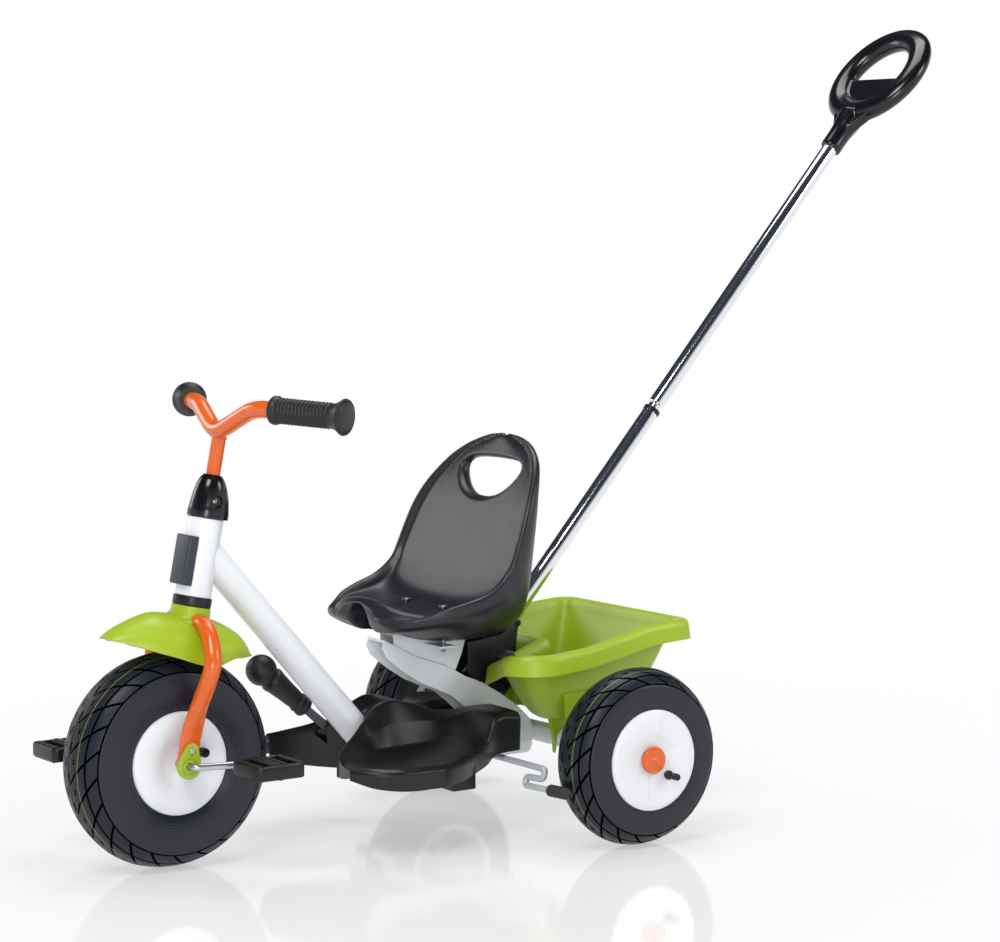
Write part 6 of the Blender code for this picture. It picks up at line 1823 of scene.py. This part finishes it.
@dataclass
class Footrest:
    """One half of the moulded footrest that clasps the spine.

    Args:
        side: Its side.
        stations: From front to rear: x, then the section's points from the spine to the lip.
        thick: The wall's thickness.
        ease: The radius of the section's corners.
        boss: The size of the block that holds the footrest.
        boss_x: The block's place forwards.
        boss_y: Its place outwards.
        boss_z: Its place upwards.
        lever_room: The brake lever's swing and spare room in degrees, and the room's reach.
    """

    side: Side
    stations: Sequence = (
        (0.3440, 0.0820, 0.1200, 0.0860, 0.1290, 0.0920, 0.1240, 0.0980, 0.1180, 0.1080, 0.1150,
         0.1140, 0.1100, 0.1000),
        (0.3250, 0.0640, 0.1250, 0.0690, 0.1360, 0.0780, 0.1260, 0.0900, 0.1180, 0.1300, 0.1150,
         0.1390, 0.1100, 0.0920),
        (0.3000, 0.0440, 0.1320, 0.0500, 0.1450, 0.0600, 0.1300, 0.0750, 0.1180, 0.1440, 0.1145,
         0.1530, 0.1100, 0.0880),
        (0.2750, 0.0250, 0.1430, 0.0330, 0.1580, 0.0460, 0.1380, 0.0600, 0.1190, 0.1470, 0.1140,
         0.1555, 0.1090, 0.0860),
        (0.2530, 0.0006, 0.1600, 0.0300, 0.1700, 0.0450, 0.1460, 0.0560, 0.1200, 0.1470, 0.1135,
         0.1555, 0.1085, 0.0860),
        (0.2320, 0.0006, 0.1670, 0.0300, 0.1760, 0.0450, 0.1490, 0.0570, 0.1210, 0.1465, 0.1130,
         0.1550, 0.1080, 0.0860),
        (0.2000, 0.0006, 0.1610, 0.0300, 0.1680, 0.0460, 0.1480, 0.0590, 0.1220, 0.1330, 0.1135,
         0.1410, 0.1090, 0.0870),
        (0.1700, 0.0006, 0.1520, 0.0300, 0.1580, 0.0470, 0.1470, 0.0630, 0.1280, 0.1150, 0.1180,
         0.1240, 0.1130, 0.0900),
        (0.1450, 0.0210, 0.1500, 0.0330, 0.1560, 0.0520, 0.1515, 0.0710, 0.1400, 0.1010, 0.1290,
         0.1130, 0.1220, 0.0960),
        (0.1250, 0.0210, 0.1530, 0.0330, 0.1570, 0.0560, 0.1565, 0.0800, 0.1560, 0.0990, 0.1550,
         0.1060, 0.1490, 0.1060),
        (0.0880, 0.0210, 0.1530, 0.0330, 0.1570, 0.0560, 0.1568, 0.0800, 0.1562, 0.0960, 0.1555,
         0.1025, 0.1490, 0.1080))
    thick: float = 0.003
    ease: float = 0.006
    boss: tuple[float, float, float] = (0.034, 0.026, 0.044)
    boss_x: float = 0.1865
    boss_y: float = 0.1110
    boss_z: float = 0.0935
    lever_room: tuple[float, float, float] = (18.0, 9.0, 0.085)

    def build(self, shop: Workshop) -> None:
        """Make the half footrest."""
        lay = shop.layout
        flip = self.side.value
        rows = []
        for x, y_in, z_in, *rest in self.smoothed():
            lip, low = rest[-3], rest[-1]
            points = [(y_in, low), (y_in, z_in), *zip(rest[0:-1:2], rest[1:-1:2]),
                      (lip - 0.002, low)]
            rows.append([lay.at(x, flip * p.x, p.y) for p in eased(points, self.ease, 4)])
        bm = skin(rows)
        lift = sum(face.normal.z * face.calc_area() for face in bm.faces)
        if lift < 0.0:
            bmesh.ops.reverse_faces(bm, faces=bm.faces)
        obj = wall(make_object("footrest_%s_moulded" % self.side.word, bm), self.thick, 0.0010)
        fat = tube(Frame().main_path(lay), 0.0194, 40, LEFT)
        carve(obj, fat)
        if self.side is Side.RIGHT:
            carve(obj, *self.lever_rooms(lay))
        place = Matrix.Translation(lay.at(self.boss_x, flip * self.boss_y, self.boss_z))
        boss = brick(self.boss, place, 0.002)
        joined(obj, boss, angle=40.0)
        shop.stand_in(obj, BLACK_PLASTIC, "footrest_" + self.side.word)

    def smoothed(self) -> list[list[float]]:
        """The stations on a smooth curve, as lists of their numbers."""
        columns = []
        for values in zip(*self.stations):
            line = through([(index * 0.01, value) for index, value in enumerate(values)], 80)
            columns.append([place.y for place in line])
        return [list(station) for station in zip(*columns)]

    def lever_rooms(self, lay: Layout) -> list[bmesh.types.BMesh]:
        """The slot for the brake lever and the room for its pin."""
        pivot_x, pivot_y, pivot_z = Brake.pivot
        rest, (swing, spare, reach) = Brake.angle, self.lever_room
        fan = [(pivot_x - 0.012, pivot_z - 0.020), (pivot_x + 0.014, pivot_z - 0.012)]
        fan += arc((pivot_x, pivot_z), reach, rest - spare, rest + swing + spare, 2)
        fan.append((pivot_x - 0.012, pivot_z + 0.010))
        frame = upright(lay.at(0.0, pivot_y, 0.0))
        pin = tube([lay.at(pivot_x, -0.008, pivot_z), lay.at(pivot_x, -0.053, pivot_z)], 0.0095, 24)
        return [prism(fan, 0.010, frame), pin]


# Push bar


@dataclass
class PushBar:
    """The bracket, the two telescopic tubes, their pin and sleeve, and the looped handle."""

    radius: float = 0.01075
    bore: float = 0.00925
    neck: float = 0.0085
    low: float = -0.160
    joint: float = 0.262
    upper_low: float = 0.2765
    high: float = 0.770
    neck_deep: float = 0.110
    pin: float = -0.0815
    pin_radius: float = 0.003
    pin_knob: float = 0.0042
    ring: float = 0.858
    ring_radius: float = 0.066
    half_wide: float = 0.017
    half_thick: float = 0.013
    socket_low: float = 0.7241
    socket_radius: float = 0.0145
    web_top: float = 0.8507
    cheek: Outline = ((0.1125, 0.2365), (0.1125, 0.1960), (0.0941, 0.1830), (0.0890, 0.1915),
                      (0.0320, 0.2540), (0.0363, 0.2578), (0.0616, 0.2420))
    cheek_y: float = 0.0212
    cheek_thick: float = 0.0030
    voxel: float = 0.0016

    def build(self, shop: Workshop) -> None:
        """Make the push bar's pieces."""
        lay = shop.layout
        base = facing(lay.push(0.0), lay.push_up, LEFT)
        bracket = shop.dressed("push_bar_bracket", BLACK_PLASTIC, 0.0010)
        cheeks = []
        for side in Side:
            middle = upright(lay.at(0.0, side.value * self.cheek_y, 0.0))
            cheeks.append(prism(self.cheek, self.cheek_thick, middle, 0.0008))
        joined(bracket, *cheeks)
        joint, neck, top = self.joint, self.neck, self.joint - self.neck_deep
        lower = [(self.bore, joint), (self.radius, joint), (self.radius, self.low),
                 (self.bore, self.low)]
        shop.turned("push_bar_lower", lower, base, CHROME, ease=0.0005, steps=72)
        upper = [(0.0070, self.high), (self.radius, self.high), (self.radius, self.upper_low),
                 (neck, self.upper_low - 0.002), (neck, top), (0.0070, top)]
        shop.turned("push_bar_upper", upper, base, CHROME, ease=0.0009, steps=72)
        inner, outer, hole = self.bore - CLEARANCE, self.radius + 0.0007, neck + CLEARANCE
        sleeve = [(inner, joint), (outer, joint + 0.0004), (outer, joint + 0.0060),
                  (hole, joint + 0.0066), (hole, joint - 0.030), (inner, joint - 0.030)]
        shop.turned("push_bar_sleeve", sleeve, base, BLACK_PLASTIC, ease=0.0006, steps=64)
        across = facing(lay.push(self.pin), LEFT, lay.push_up)
        knob = self.pin_knob
        pin_half = [(0.0, 0.0235), (knob, 0.0235), (knob, 0.0203), (self.pin_radius, 0.0203)]
        profile = pin_half + [(r, -h) for r, h in reversed(pin_half)]
        shop.turned("push_bar_pin", profile, across, BLACK_PLASTIC, ease=0.0008, steps=28)
        self.handle(shop, base)

    def handle(self, shop: Workshop, base: Matrix) -> None:
        """Make the looped handle as one moulding."""
        lay = shop.layout
        section = [(self.ring_radius + self.half_wide * math.cos(t), self.half_thick * math.sin(t))
                   for t in (math.tau * step / 32 for step in range(32))]
        frame = basis(lay.push(self.ring), LEFT, lay.push_up, LEFT.cross(lay.push_up))
        ring = lathe(section, frame, 120)
        top = self.ring - self.ring_radius - self.half_wide * 0.3
        flare = through([(self.socket_radius, self.socket_low + 0.002), (self.socket_radius, 0.745),
                         (0.0152, 0.757), (0.0168, 0.768), (0.0185, top)], 14)
        profile = [(0.0, self.socket_low), (self.socket_radius - 0.0008, self.socket_low), *flare,
                   (0.0, top)]
        socket = lathe(profile, base, 48)
        down = self.web_top - self.ring
        half = math.sqrt(self.ring_radius ** 2 - down ** 2)
        start = math.degrees(math.atan2(down, -half)) + 360.0
        end = math.degrees(math.atan2(down, half)) + 360.0
        web = prism(arc((0.0, 0.0), self.ring_radius, start, end, 24), 0.007, frame)
        gusset = prism([(-0.052, -0.052), (-0.030, -0.078), (-0.015, -0.100), (0.015, -0.100),
                        (0.030, -0.078), (0.052, -0.052)], 0.014, frame)
        obj = make_object("push_handle_moulded", together(ring, socket, web, gusset))
        melt(obj, self.voxel, 5)
        shop.stand_in(obj, BLACK_GLOSS, "push_handle")


# Brake


@dataclass
class Brake:
    """The brake lever with its grip, its pin, the pull rod and the bent bar with two pads."""

    pivot: tuple[float, float, float] = (0.260, -0.040, 0.115)
    angle: float = 41.0
    tip: float = 0.156
    ball: float = 0.0195
    short: float = 0.0095
    bar: tuple[float, float, float] = (0.108, 0.0, 0.0985)
    bar_radius: float = 0.004
    arm: float = 0.018
    arm_angle: float = 53.13
    rod_radius: float = 0.0022
    rod_y: float = -0.0485
    pad: float = 0.0075

    def build(self, shop: Workshop) -> None:
        """Make the brake's pieces."""
        lay = shop.layout
        turn = math.radians(self.angle)
        way = Vector((math.cos(turn), 0.0, math.sin(turn)))
        shop.dressed("brake_lever", DARK_ZINC, 0.0008)
        ball = arc((0.0, self.tip), self.ball, 84, -48, 22)
        profile = [(0.0, self.tip + self.ball), *ball, (0.0136, 0.1402), (0.0150, 0.1385),
                   (0.0162, 0.1365), (0.0160, 0.1335), (0.0150, 0.1290), (0.0136, 0.1150),
                   (0.0124, 0.1000), (0.0114, 0.0905), (0.0130, 0.0885), (0.0130, 0.0850),
                   (0.0116, 0.0842), (0.0116, 0.0815), (0.0130, 0.0805), (0.0130, 0.0765),
                   (0.0118, 0.0745), (0.0, 0.0745)]
        grip_frame = facing(lay.at(*self.pivot), way)
        shop.turned("brake_grip", profile, grip_frame, GRIP_BLACK, ease=0.0012)
        pin = [(0.0, -0.0195), (0.0058, -0.0195), (0.0058, -0.0372), (0.0035, -0.0376),
               (0.0035, -0.0438), (0.0060, -0.0440), (0.0058, -0.0465), (0.0, -0.0470)]
        pin_frame = facing(lay.at(self.pivot[0], 0.0, self.pivot[2]), LEFT)
        shop.turned("brake_pivot_pin", pin, pin_frame, ZINC, ease=0.0004, steps=32)
        hook = lay.at(*self.pivot) - way * self.short
        lean = math.radians(self.arm_angle)
        eye = lay.at(self.bar[0] + self.arm * math.cos(lean), self.pivot[1],
                     self.bar[2] + self.arm * math.sin(lean))
        inner_y = self.pivot[1] + 0.003
        route = [Vector((hook.x, inner_y, hook.z)), Vector((hook.x, self.rod_y, hook.z)),
                 Vector((eye.x, self.rod_y, eye.z)), Vector((eye.x, inner_y, eye.z))]
        rod = tube(eased(route, 0.004, 6), self.rod_radius, 18)
        shop.shaped("brake_rod", "bent", rod, ZINC)
        self.bent_bar(shop, lean)

    def bent_bar(self, shop: Workshop, lean: float) -> None:
        """Make the bent bar with its arm, and the pads on its ends."""
        lay = shop.layout
        half = [(0.0, 0.184, 0.0), (0.003, 0.184, -0.0120), (0.006, 0.153, -0.0130),
                (0.0085, 0.153, -0.0235), (0.0085, 0.238, -0.0200)]
        line = [(x, -y, z) for x, y, z in reversed(half)] + half
        centre = lay.at(*self.bar)
        path = eased([centre + Vector(place) for place in line], 0.0045, 6)
        bar = tube(path, self.bar_radius, 20, FORWARD)
        arm_way = Vector((math.cos(lean), 0.0, math.sin(lean)))
        arm_over = Vector((-arm_way.z, 0.0, arm_way.x))
        outline = arc((self.arm, 0.0), 0.0062, -90, 90, 12) + arc((0.0, 0.0), 0.0070, 90, 270, 12)
        place = basis(lay.at(self.bar[0], self.pivot[1], self.bar[2]), arm_way, arm_over,
                      arm_way.cross(arm_over))
        arm = prism(outline, 0.004, place, 0.0006)
        shop.shaped("brake_bar", "bent", together(bar, arm), DULL_ZINC)
        for side in Side:
            second, first = (centre + Vector((x, side.value * y, z)) for x, y, z in half[-2:])
            bore = self.bar_radius + CLEARANCE
            profile = [(0.0, 0.0035), (self.pad - 0.0015, 0.0035), (self.pad, 0.0015)]
            for groove in range(5):
                foot = -0.0030 - 0.0054 * groove
                profile += [(self.pad, foot), (self.pad - 0.0009, foot - 0.0006),
                            (self.pad - 0.0009, foot - 0.0018), (self.pad, foot - 0.0024)]
            profile += [(self.pad, -0.0300), (bore, -0.0300), (bore, CLEARANCE), (0.0, CLEARANCE)]
            shop.turned("brake_pad_" + side.word, profile, facing(first, first - second),
                        SOFT_RUBBER, ease=0.0003, steps=36)


# Bucket


@dataclass
class Bucket:
    """The tipping bucket with its clips and the knob of its latch."""

    rear: float = -0.156
    front: float = 0.105
    half_wide: float = 0.137
    floor: float = 0.137
    skirt: float = 0.023
    notch: float = 0.031
    thick: float = 0.0025
    dip: float = 0.022
    sweep: float = 0.015
    knob: tuple[float, float] = (0.0840, 0.0640)
    curve: Outline = ((-0.156, 0.2545), (-0.100, 0.2540), (-0.080, 0.2490), (-0.020, 0.2365),
                      (0.0175, 0.2290), (0.060, 0.2262), (0.105, 0.2255))
    tube_radius: float = 0.0134

    def height(self, x: float, y: float) -> float:
        """The rim's height, which rises to the rear and dips beside the notch."""
        high = self.curve[-1][1]
        for (x0, z0), (x1, z1) in zip(self.curve, self.curve[1:]):
            if x <= x1:
                high = z0 + (z1 - z0) * max(0.0, x - x0) / (x1 - x0)
                break
        near = clamped((0.105 - abs(y)) / 0.070) * clamped((x - 0.030) / 0.050)
        return high - self.dip * near ** 1.4

    def outline(self, front: float, notch: float, notch_half: float, half: float, rear: float,
                corner: float, back: float) -> list[Vector]:
        """The plan outline, from the notch round the left side and back along the right."""
        line = eased([(notch, 0.0), (notch, notch_half), (front - 0.004, notch_half),
                      (front - 0.002, notch_half + 0.001), (front, notch_half + 0.012)], 0.004, 4)
        line += [Vector(p) for p in arc((front - corner, half - corner), corner, 0, 90, 14)]
        for share in (0.25, 0.5, 0.75):
            x = front - corner + (rear + back - front + corner) * share
            line.append(Vector((x, half + 0.0015 * math.sin(math.pi * share))))
        line += [Vector(p) for p in arc((rear + back, half - back), back, 90, 180, 8)]
        line += [Vector((rear, (half - back) * share)) for share in (0.66, 0.33, 0.0)]
        for place in line:
            near = clamped((0.100 - place.y) / 0.069) * clamped(place.x / (front - 0.01))
            place.x -= self.sweep * near if place.x > notch + 0.004 else 0.0
        return line + [Vector((p.x, -p.y)) for p in reversed(line[1:-1])]

    def build(self, shop: Workshop) -> None:
        """Make the bucket and the knob."""
        lay = shop.layout
        f, r, w, n = self.front, self.rear, self.half_wide, self.notch
        rims = [(0.0024, -self.skirt), (0.0020, -self.skirt + 0.002), (0.0008, -0.0070),
                (0.0000, -0.0022), (-0.0016, -0.0004), (-0.0040, 0.0), (-0.0085, 0.0),
                (-0.0115, -0.0012), (-0.0130, -0.0040), (-0.0145, -0.0110)]
        rows = []
        for grow, drop in rims:
            ring = self.outline(f + grow, 0.0130 + grow * 0.7, n - grow, w + grow, r - grow,
                                0.050 + grow, 0.020)
            rows.append([lay.at(p.x, p.y, self.height(p.x, p.y) + drop) for p in ring])
        base = self.outline(0.0400, 0.0, n + 0.004, 0.0870, -0.0960, 0.026, 0.016)
        low = [lay.at(p.x, p.y, self.floor) for p in base]
        last = rows[-1]
        for step in range(1, 15):
            t = step / 15
            bulge = 0.010 * math.sin(math.pi * t)
            row = []
            for top, foot in zip(last, low):
                place = top.lerp(foot, t)
                row.append(Vector((place.x, place.y, place.z - bulge * 0.5)))
            rows.append(row)
        for inset in (0.0, 0.004):
            row = []
            for place in low:
                middle = lay.at(-0.028, 0.0, self.floor)
                row.append(place + (middle - place).normalized() * inset
                           + UP * (0.0015 if inset == 0.0 else 0.0))
            rows.append(row)
        bm = skin(rows, ring=True)
        edges = [edge for edge in bm.edges if edge.is_boundary
                 and all(abs(vert.co.z - self.floor) < 0.001 for vert in edge.verts)]
        bmesh.ops.contextual_create(bm, geom=edges)
        outward = sum(face.normal.dot(face.calc_center_median() - lay.at(-0.03, 0.0, 0.30))
                      * face.calc_area() for face in bm.faces)
        if outward < 0.0:
            bmesh.ops.reverse_faces(bm, faces=bm.faces)
        obj = wall(make_object("bucket_moulded", bm), self.thick, 0.0009)
        clips = [self.clip(lay, side, y, top) for side in Side for y, top in ((0.0720, 0.1385),
                                                                              (0.1050, 0.1740))]
        shop.stand_in(joined(obj, *clips), LIME_PLASTIC, "bucket")
        low_corner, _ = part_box("latch_knob")
        profile = [(0.0, 0.0086), (0.0050, 0.0082), (0.0092, 0.0060), (0.0118, 0.0026),
                   (0.0120, 0.0), (0.0, 0.0)]
        place = lay.at(self.knob[0], self.knob[1], low_corner.z - 0.0060)
        shop.turned("latch_knob", profile, facing(place, UP), DARK_GREY, ease=0.0012, steps=48)

    def clip(self, lay: Layout, side: Side, y: float, top: float) -> bmesh.types.BMesh:
        """One forked clip that sits on the axle tube."""
        base, hold = lay.axle.z, self.tube_radius
        outline = [(0.0250, top), (-0.0250, top), (-0.0180, base + 0.004), (-0.0172, base - 0.0170),
                   (-0.0150, base - 0.0185), (-hold, base - 0.0120)]
        outline += arc((0.0, base), hold, 180, 0, 18)
        outline += [(hold, base - 0.0120), (0.0150, base - 0.0185), (0.0172, base - 0.0170),
                    (0.0180, base + 0.004)]
        return prism(outline, 0.005, upright(lay.at(0.0, side.value * y, 0.0)), 0.0008)


# Studio


@dataclass
class Studio:
    """The floor, the lamps, the world and the camera at the photograph's angle.

    Args:
        azimuth: The camera's way round the tricycle, in degrees.
        elevation: Its height above the horizon, in degrees.
        roll: Its roll, in degrees.
        distance: Its distance from the point that it looks at.
        focal: The focal length in pixels of the photograph.
        width: The photograph's width in pixels.
        aim: The point that it looks at, from the ground below the rear axle.
        floor_half: Half of the floor's side.
        floor_sheen: The share of the floor's mirror image near the tricycle.
        ambient: The strength of the even light.
        sky: Two stops of the band that bright surfaces mirror, from below upwards.
        lit: The point that the lamps shine at, from the ground below the rear axle.
        lamps: Each lamp's name, its place from that point, its side and its power in watts.
    """

    azimuth: float = 34.086
    elevation: float = 5.399
    roll: float = -0.248
    distance: float = 3.8164
    focal: float = 2993.19
    width: float = 1000.0
    aim: tuple[float, float, float] = (0.0484, 0.0, 0.4482)
    floor_half: float = 14.0
    floor_sheen: float = 0.62
    ambient: float = 0.50
    sky: Sequence = ((0.56, (0.96, 0.97, 1.0, 1.0)), (0.70, (0.035, 0.040, 0.055, 1.0)))
    lit: tuple[float, float, float] = (0.15, 0.0, 0.35)
    lamps: Sequence = (
        ("key", (1.7, 1.1, 2.3), 1.1, 44.0), ("top", (-0.6, -0.5, 2.6), 1.6, 40.0),
        ("side", (-2.0, 2.2, 1.5), 1.0, 24.0), ("front", (2.2, 3.4, 0.7), 1.2, 34.0),
        ("far", (1.25, -2.1, 0.95), 0.9, 11.0))

    def camera(self, lay: Layout) -> None:
        """Place the camera."""
        data = bpy.data.cameras.new("camera")
        data.sensor_width = 36.0
        data.lens = self.focal / self.width * data.sensor_width
        data.clip_end = 100.0
        cam = bpy.data.objects.new("camera", data)
        bpy.context.scene.collection.objects.link(cam)
        az, el, roll = (math.radians(value) for value in (self.azimuth, self.elevation, self.roll))
        back = Vector((math.sin(az) * math.cos(el), math.cos(az) * math.cos(el), math.sin(el)))
        place = lay.at(*self.aim) + back * self.distance
        right = (-back).cross(UP).normalized()
        rise = right.cross(-back)
        side = right * math.cos(roll) + rise * math.sin(roll)
        top = rise * math.cos(roll) - right * math.sin(roll)
        cam.matrix_world = basis(place, side, top, back)
        bpy.context.scene.camera = cam

    def lamp(self, name: str, place: Vector, target: Vector, size: float, power: float) -> None:
        """Add a soft square lamp.

        Args:
            name: Its name.
            place: Where it hangs.
            target: What it points at.
            size: Its side.
            power: Its power in watts.
        """
        data = bpy.data.lights.new(name, "AREA")
        data.shape = "SQUARE"
        data.size = size
        data.energy = power
        obj = bpy.data.objects.new(name, data)
        bpy.context.scene.collection.objects.link(obj)
        way = (target - place).normalized()
        turned = way.to_track_quat("-Z", "Y").to_matrix().to_4x4()
        obj.matrix_world = Matrix.Translation(place) @ turned
        obj.visible_camera = False

    def world(self) -> None:
        """Light the scene evenly, with a white view and banded reflections."""
        world = bpy.data.worlds.new("studio")
        world.use_nodes = True
        bpy.context.scene.world = world
        tree = world.node_tree
        _feed(tree, tree.nodes["Background"].inputs["Color"], (0.96, 0.98, 1.0, 1.0))
        _feed(tree, tree.nodes["Background"].inputs["Strength"], self.ambient)
        white = _node(tree, "Background", {"Color": WHITE, "Strength": 1.0})
        place = _node(tree, "TexCoord", {}).outputs["Generated"]
        split = _node(tree, "SeparateXYZ", {"Vector": place})
        turn = _maths(tree, "ARCTAN2", split.outputs["Y"], split.outputs["X"])
        wave = _maths(tree, "SINE", _maths(tree, "MULTIPLY_ADD", turn, 3.0, 0.6))
        sway = _maths(tree, "MULTIPLY_ADD", wave, 0.05, split.outputs["Z"])
        ramp = _node(tree, "ValToRGB", {"Fac": _maths(tree, "MULTIPLY_ADD", sway, 0.5, 0.5)})
        for stop, (height, colour) in zip(ramp.color_ramp.elements, self.sky):
            stop.position = height
            stop.color = colour
        mirror = _node(tree, "Background", {"Color": ramp.outputs["Color"]})
        rays = _node(tree, "LightPath", {}).outputs
        first = _mixed(tree, rays["Is Glossy Ray"], tree.nodes["Background"].outputs[0],
                       mirror.outputs[0])
        seen = _maths(tree, "MAXIMUM", rays["Is Camera Ray"], rays["Is Transmission Ray"])
        _feed(tree, tree.nodes["World Output"].inputs["Surface"],
              _mixed(tree, seen, first, white.outputs[0]))

    def floor(self) -> None:
        """Lay the pale floor, which fades to white away from the tricycle."""
        bm = bmesh.new()
        bmesh.ops.create_grid(bm, x_segments=24, y_segments=24, size=self.floor_half)
        obj = make_object("floor", bm)
        material = bpy.data.materials.new("pale_floor")
        material.use_nodes = True
        tree = material.node_tree
        shader = tree.nodes["Principled BSDF"]
        for name, value in (("Base Color", (0.90, 0.90, 0.91, 1.0)), ("Roughness", 0.80),
                            ("Specular IOR Level", 0.0)):
            _feed(tree, shader.inputs[name], value)
        place = _node(tree, "TexCoord", {}).outputs["Object"]
        length = _node(tree, "VectorMath", {0: place}, operation="LENGTH").outputs["Value"]
        fade = _node(tree, "MapRange", {"Value": length, "From Min": 0.45, "From Max": 1.5,
                                        "To Min": 0.60, "To Max": 1.0},
                     interpolation_type="SMOOTHSTEP").outputs["Result"]
        rays = _node(tree, "LightPath", {}).outputs
        seen = _maths(tree, "MAXIMUM", rays["Is Camera Ray"], rays["Is Glossy Ray"])
        white = _node(tree, "Emission", {"Color": WHITE})
        pale = _mixed(tree, _maths(tree, "MULTIPLY", fade, seen), shader.outputs["BSDF"],
                      white.outputs["Emission"])
        gloss = _node(tree, "BsdfGlossy", {"Color": (0.97, 0.98, 1.0, 1.0), "Roughness": 0.07})
        sheen = _maths(tree, "MULTIPLY", _maths(tree, "SUBTRACT", 1.0, fade), self.floor_sheen)
        sheen = _maths(tree, "MULTIPLY", sheen, rays["Is Camera Ray"])
        _feed(tree, tree.nodes["Material Output"].inputs["Surface"],
              _mixed(tree, sheen, pale, gloss.outputs["BSDF"]))
        obj.data.materials.append(material)

    def build(self, lay: Layout) -> None:
        """Set up the studio."""
        self.camera(lay)
        self.world()
        self.floor()
        middle = lay.at(*self.lit)
        for name, away, size, power in self.lamps:
            self.lamp(name, middle + Vector(away), middle, size, power)
        bpy.context.scene.view_settings.view_transform = "Standard"


def assemblies() -> Iterable[object]:
    """The sub-assemblies in the order in which they are built."""
    yield from (Frame(), Seat(), *map(Footrest, Side), Fork(), Fender(), Handlebar(), FrontWheel(),
                *map(Pedal, Side), *map(RearWheel, Side), PushBar(), Brake(), Bucket())


def main() -> None:
    """Dress the tricycle and set up its studio."""
    logging.basicConfig(level=logging.INFO, format="%(message)s")
    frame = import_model()
    shop = Workshop(Layout.read(frame), frame)
    for assembly in assemblies():
        assembly.build(shop)
    Studio().build(shop.layout)
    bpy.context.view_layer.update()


if __name__ == "__main__":
    main()
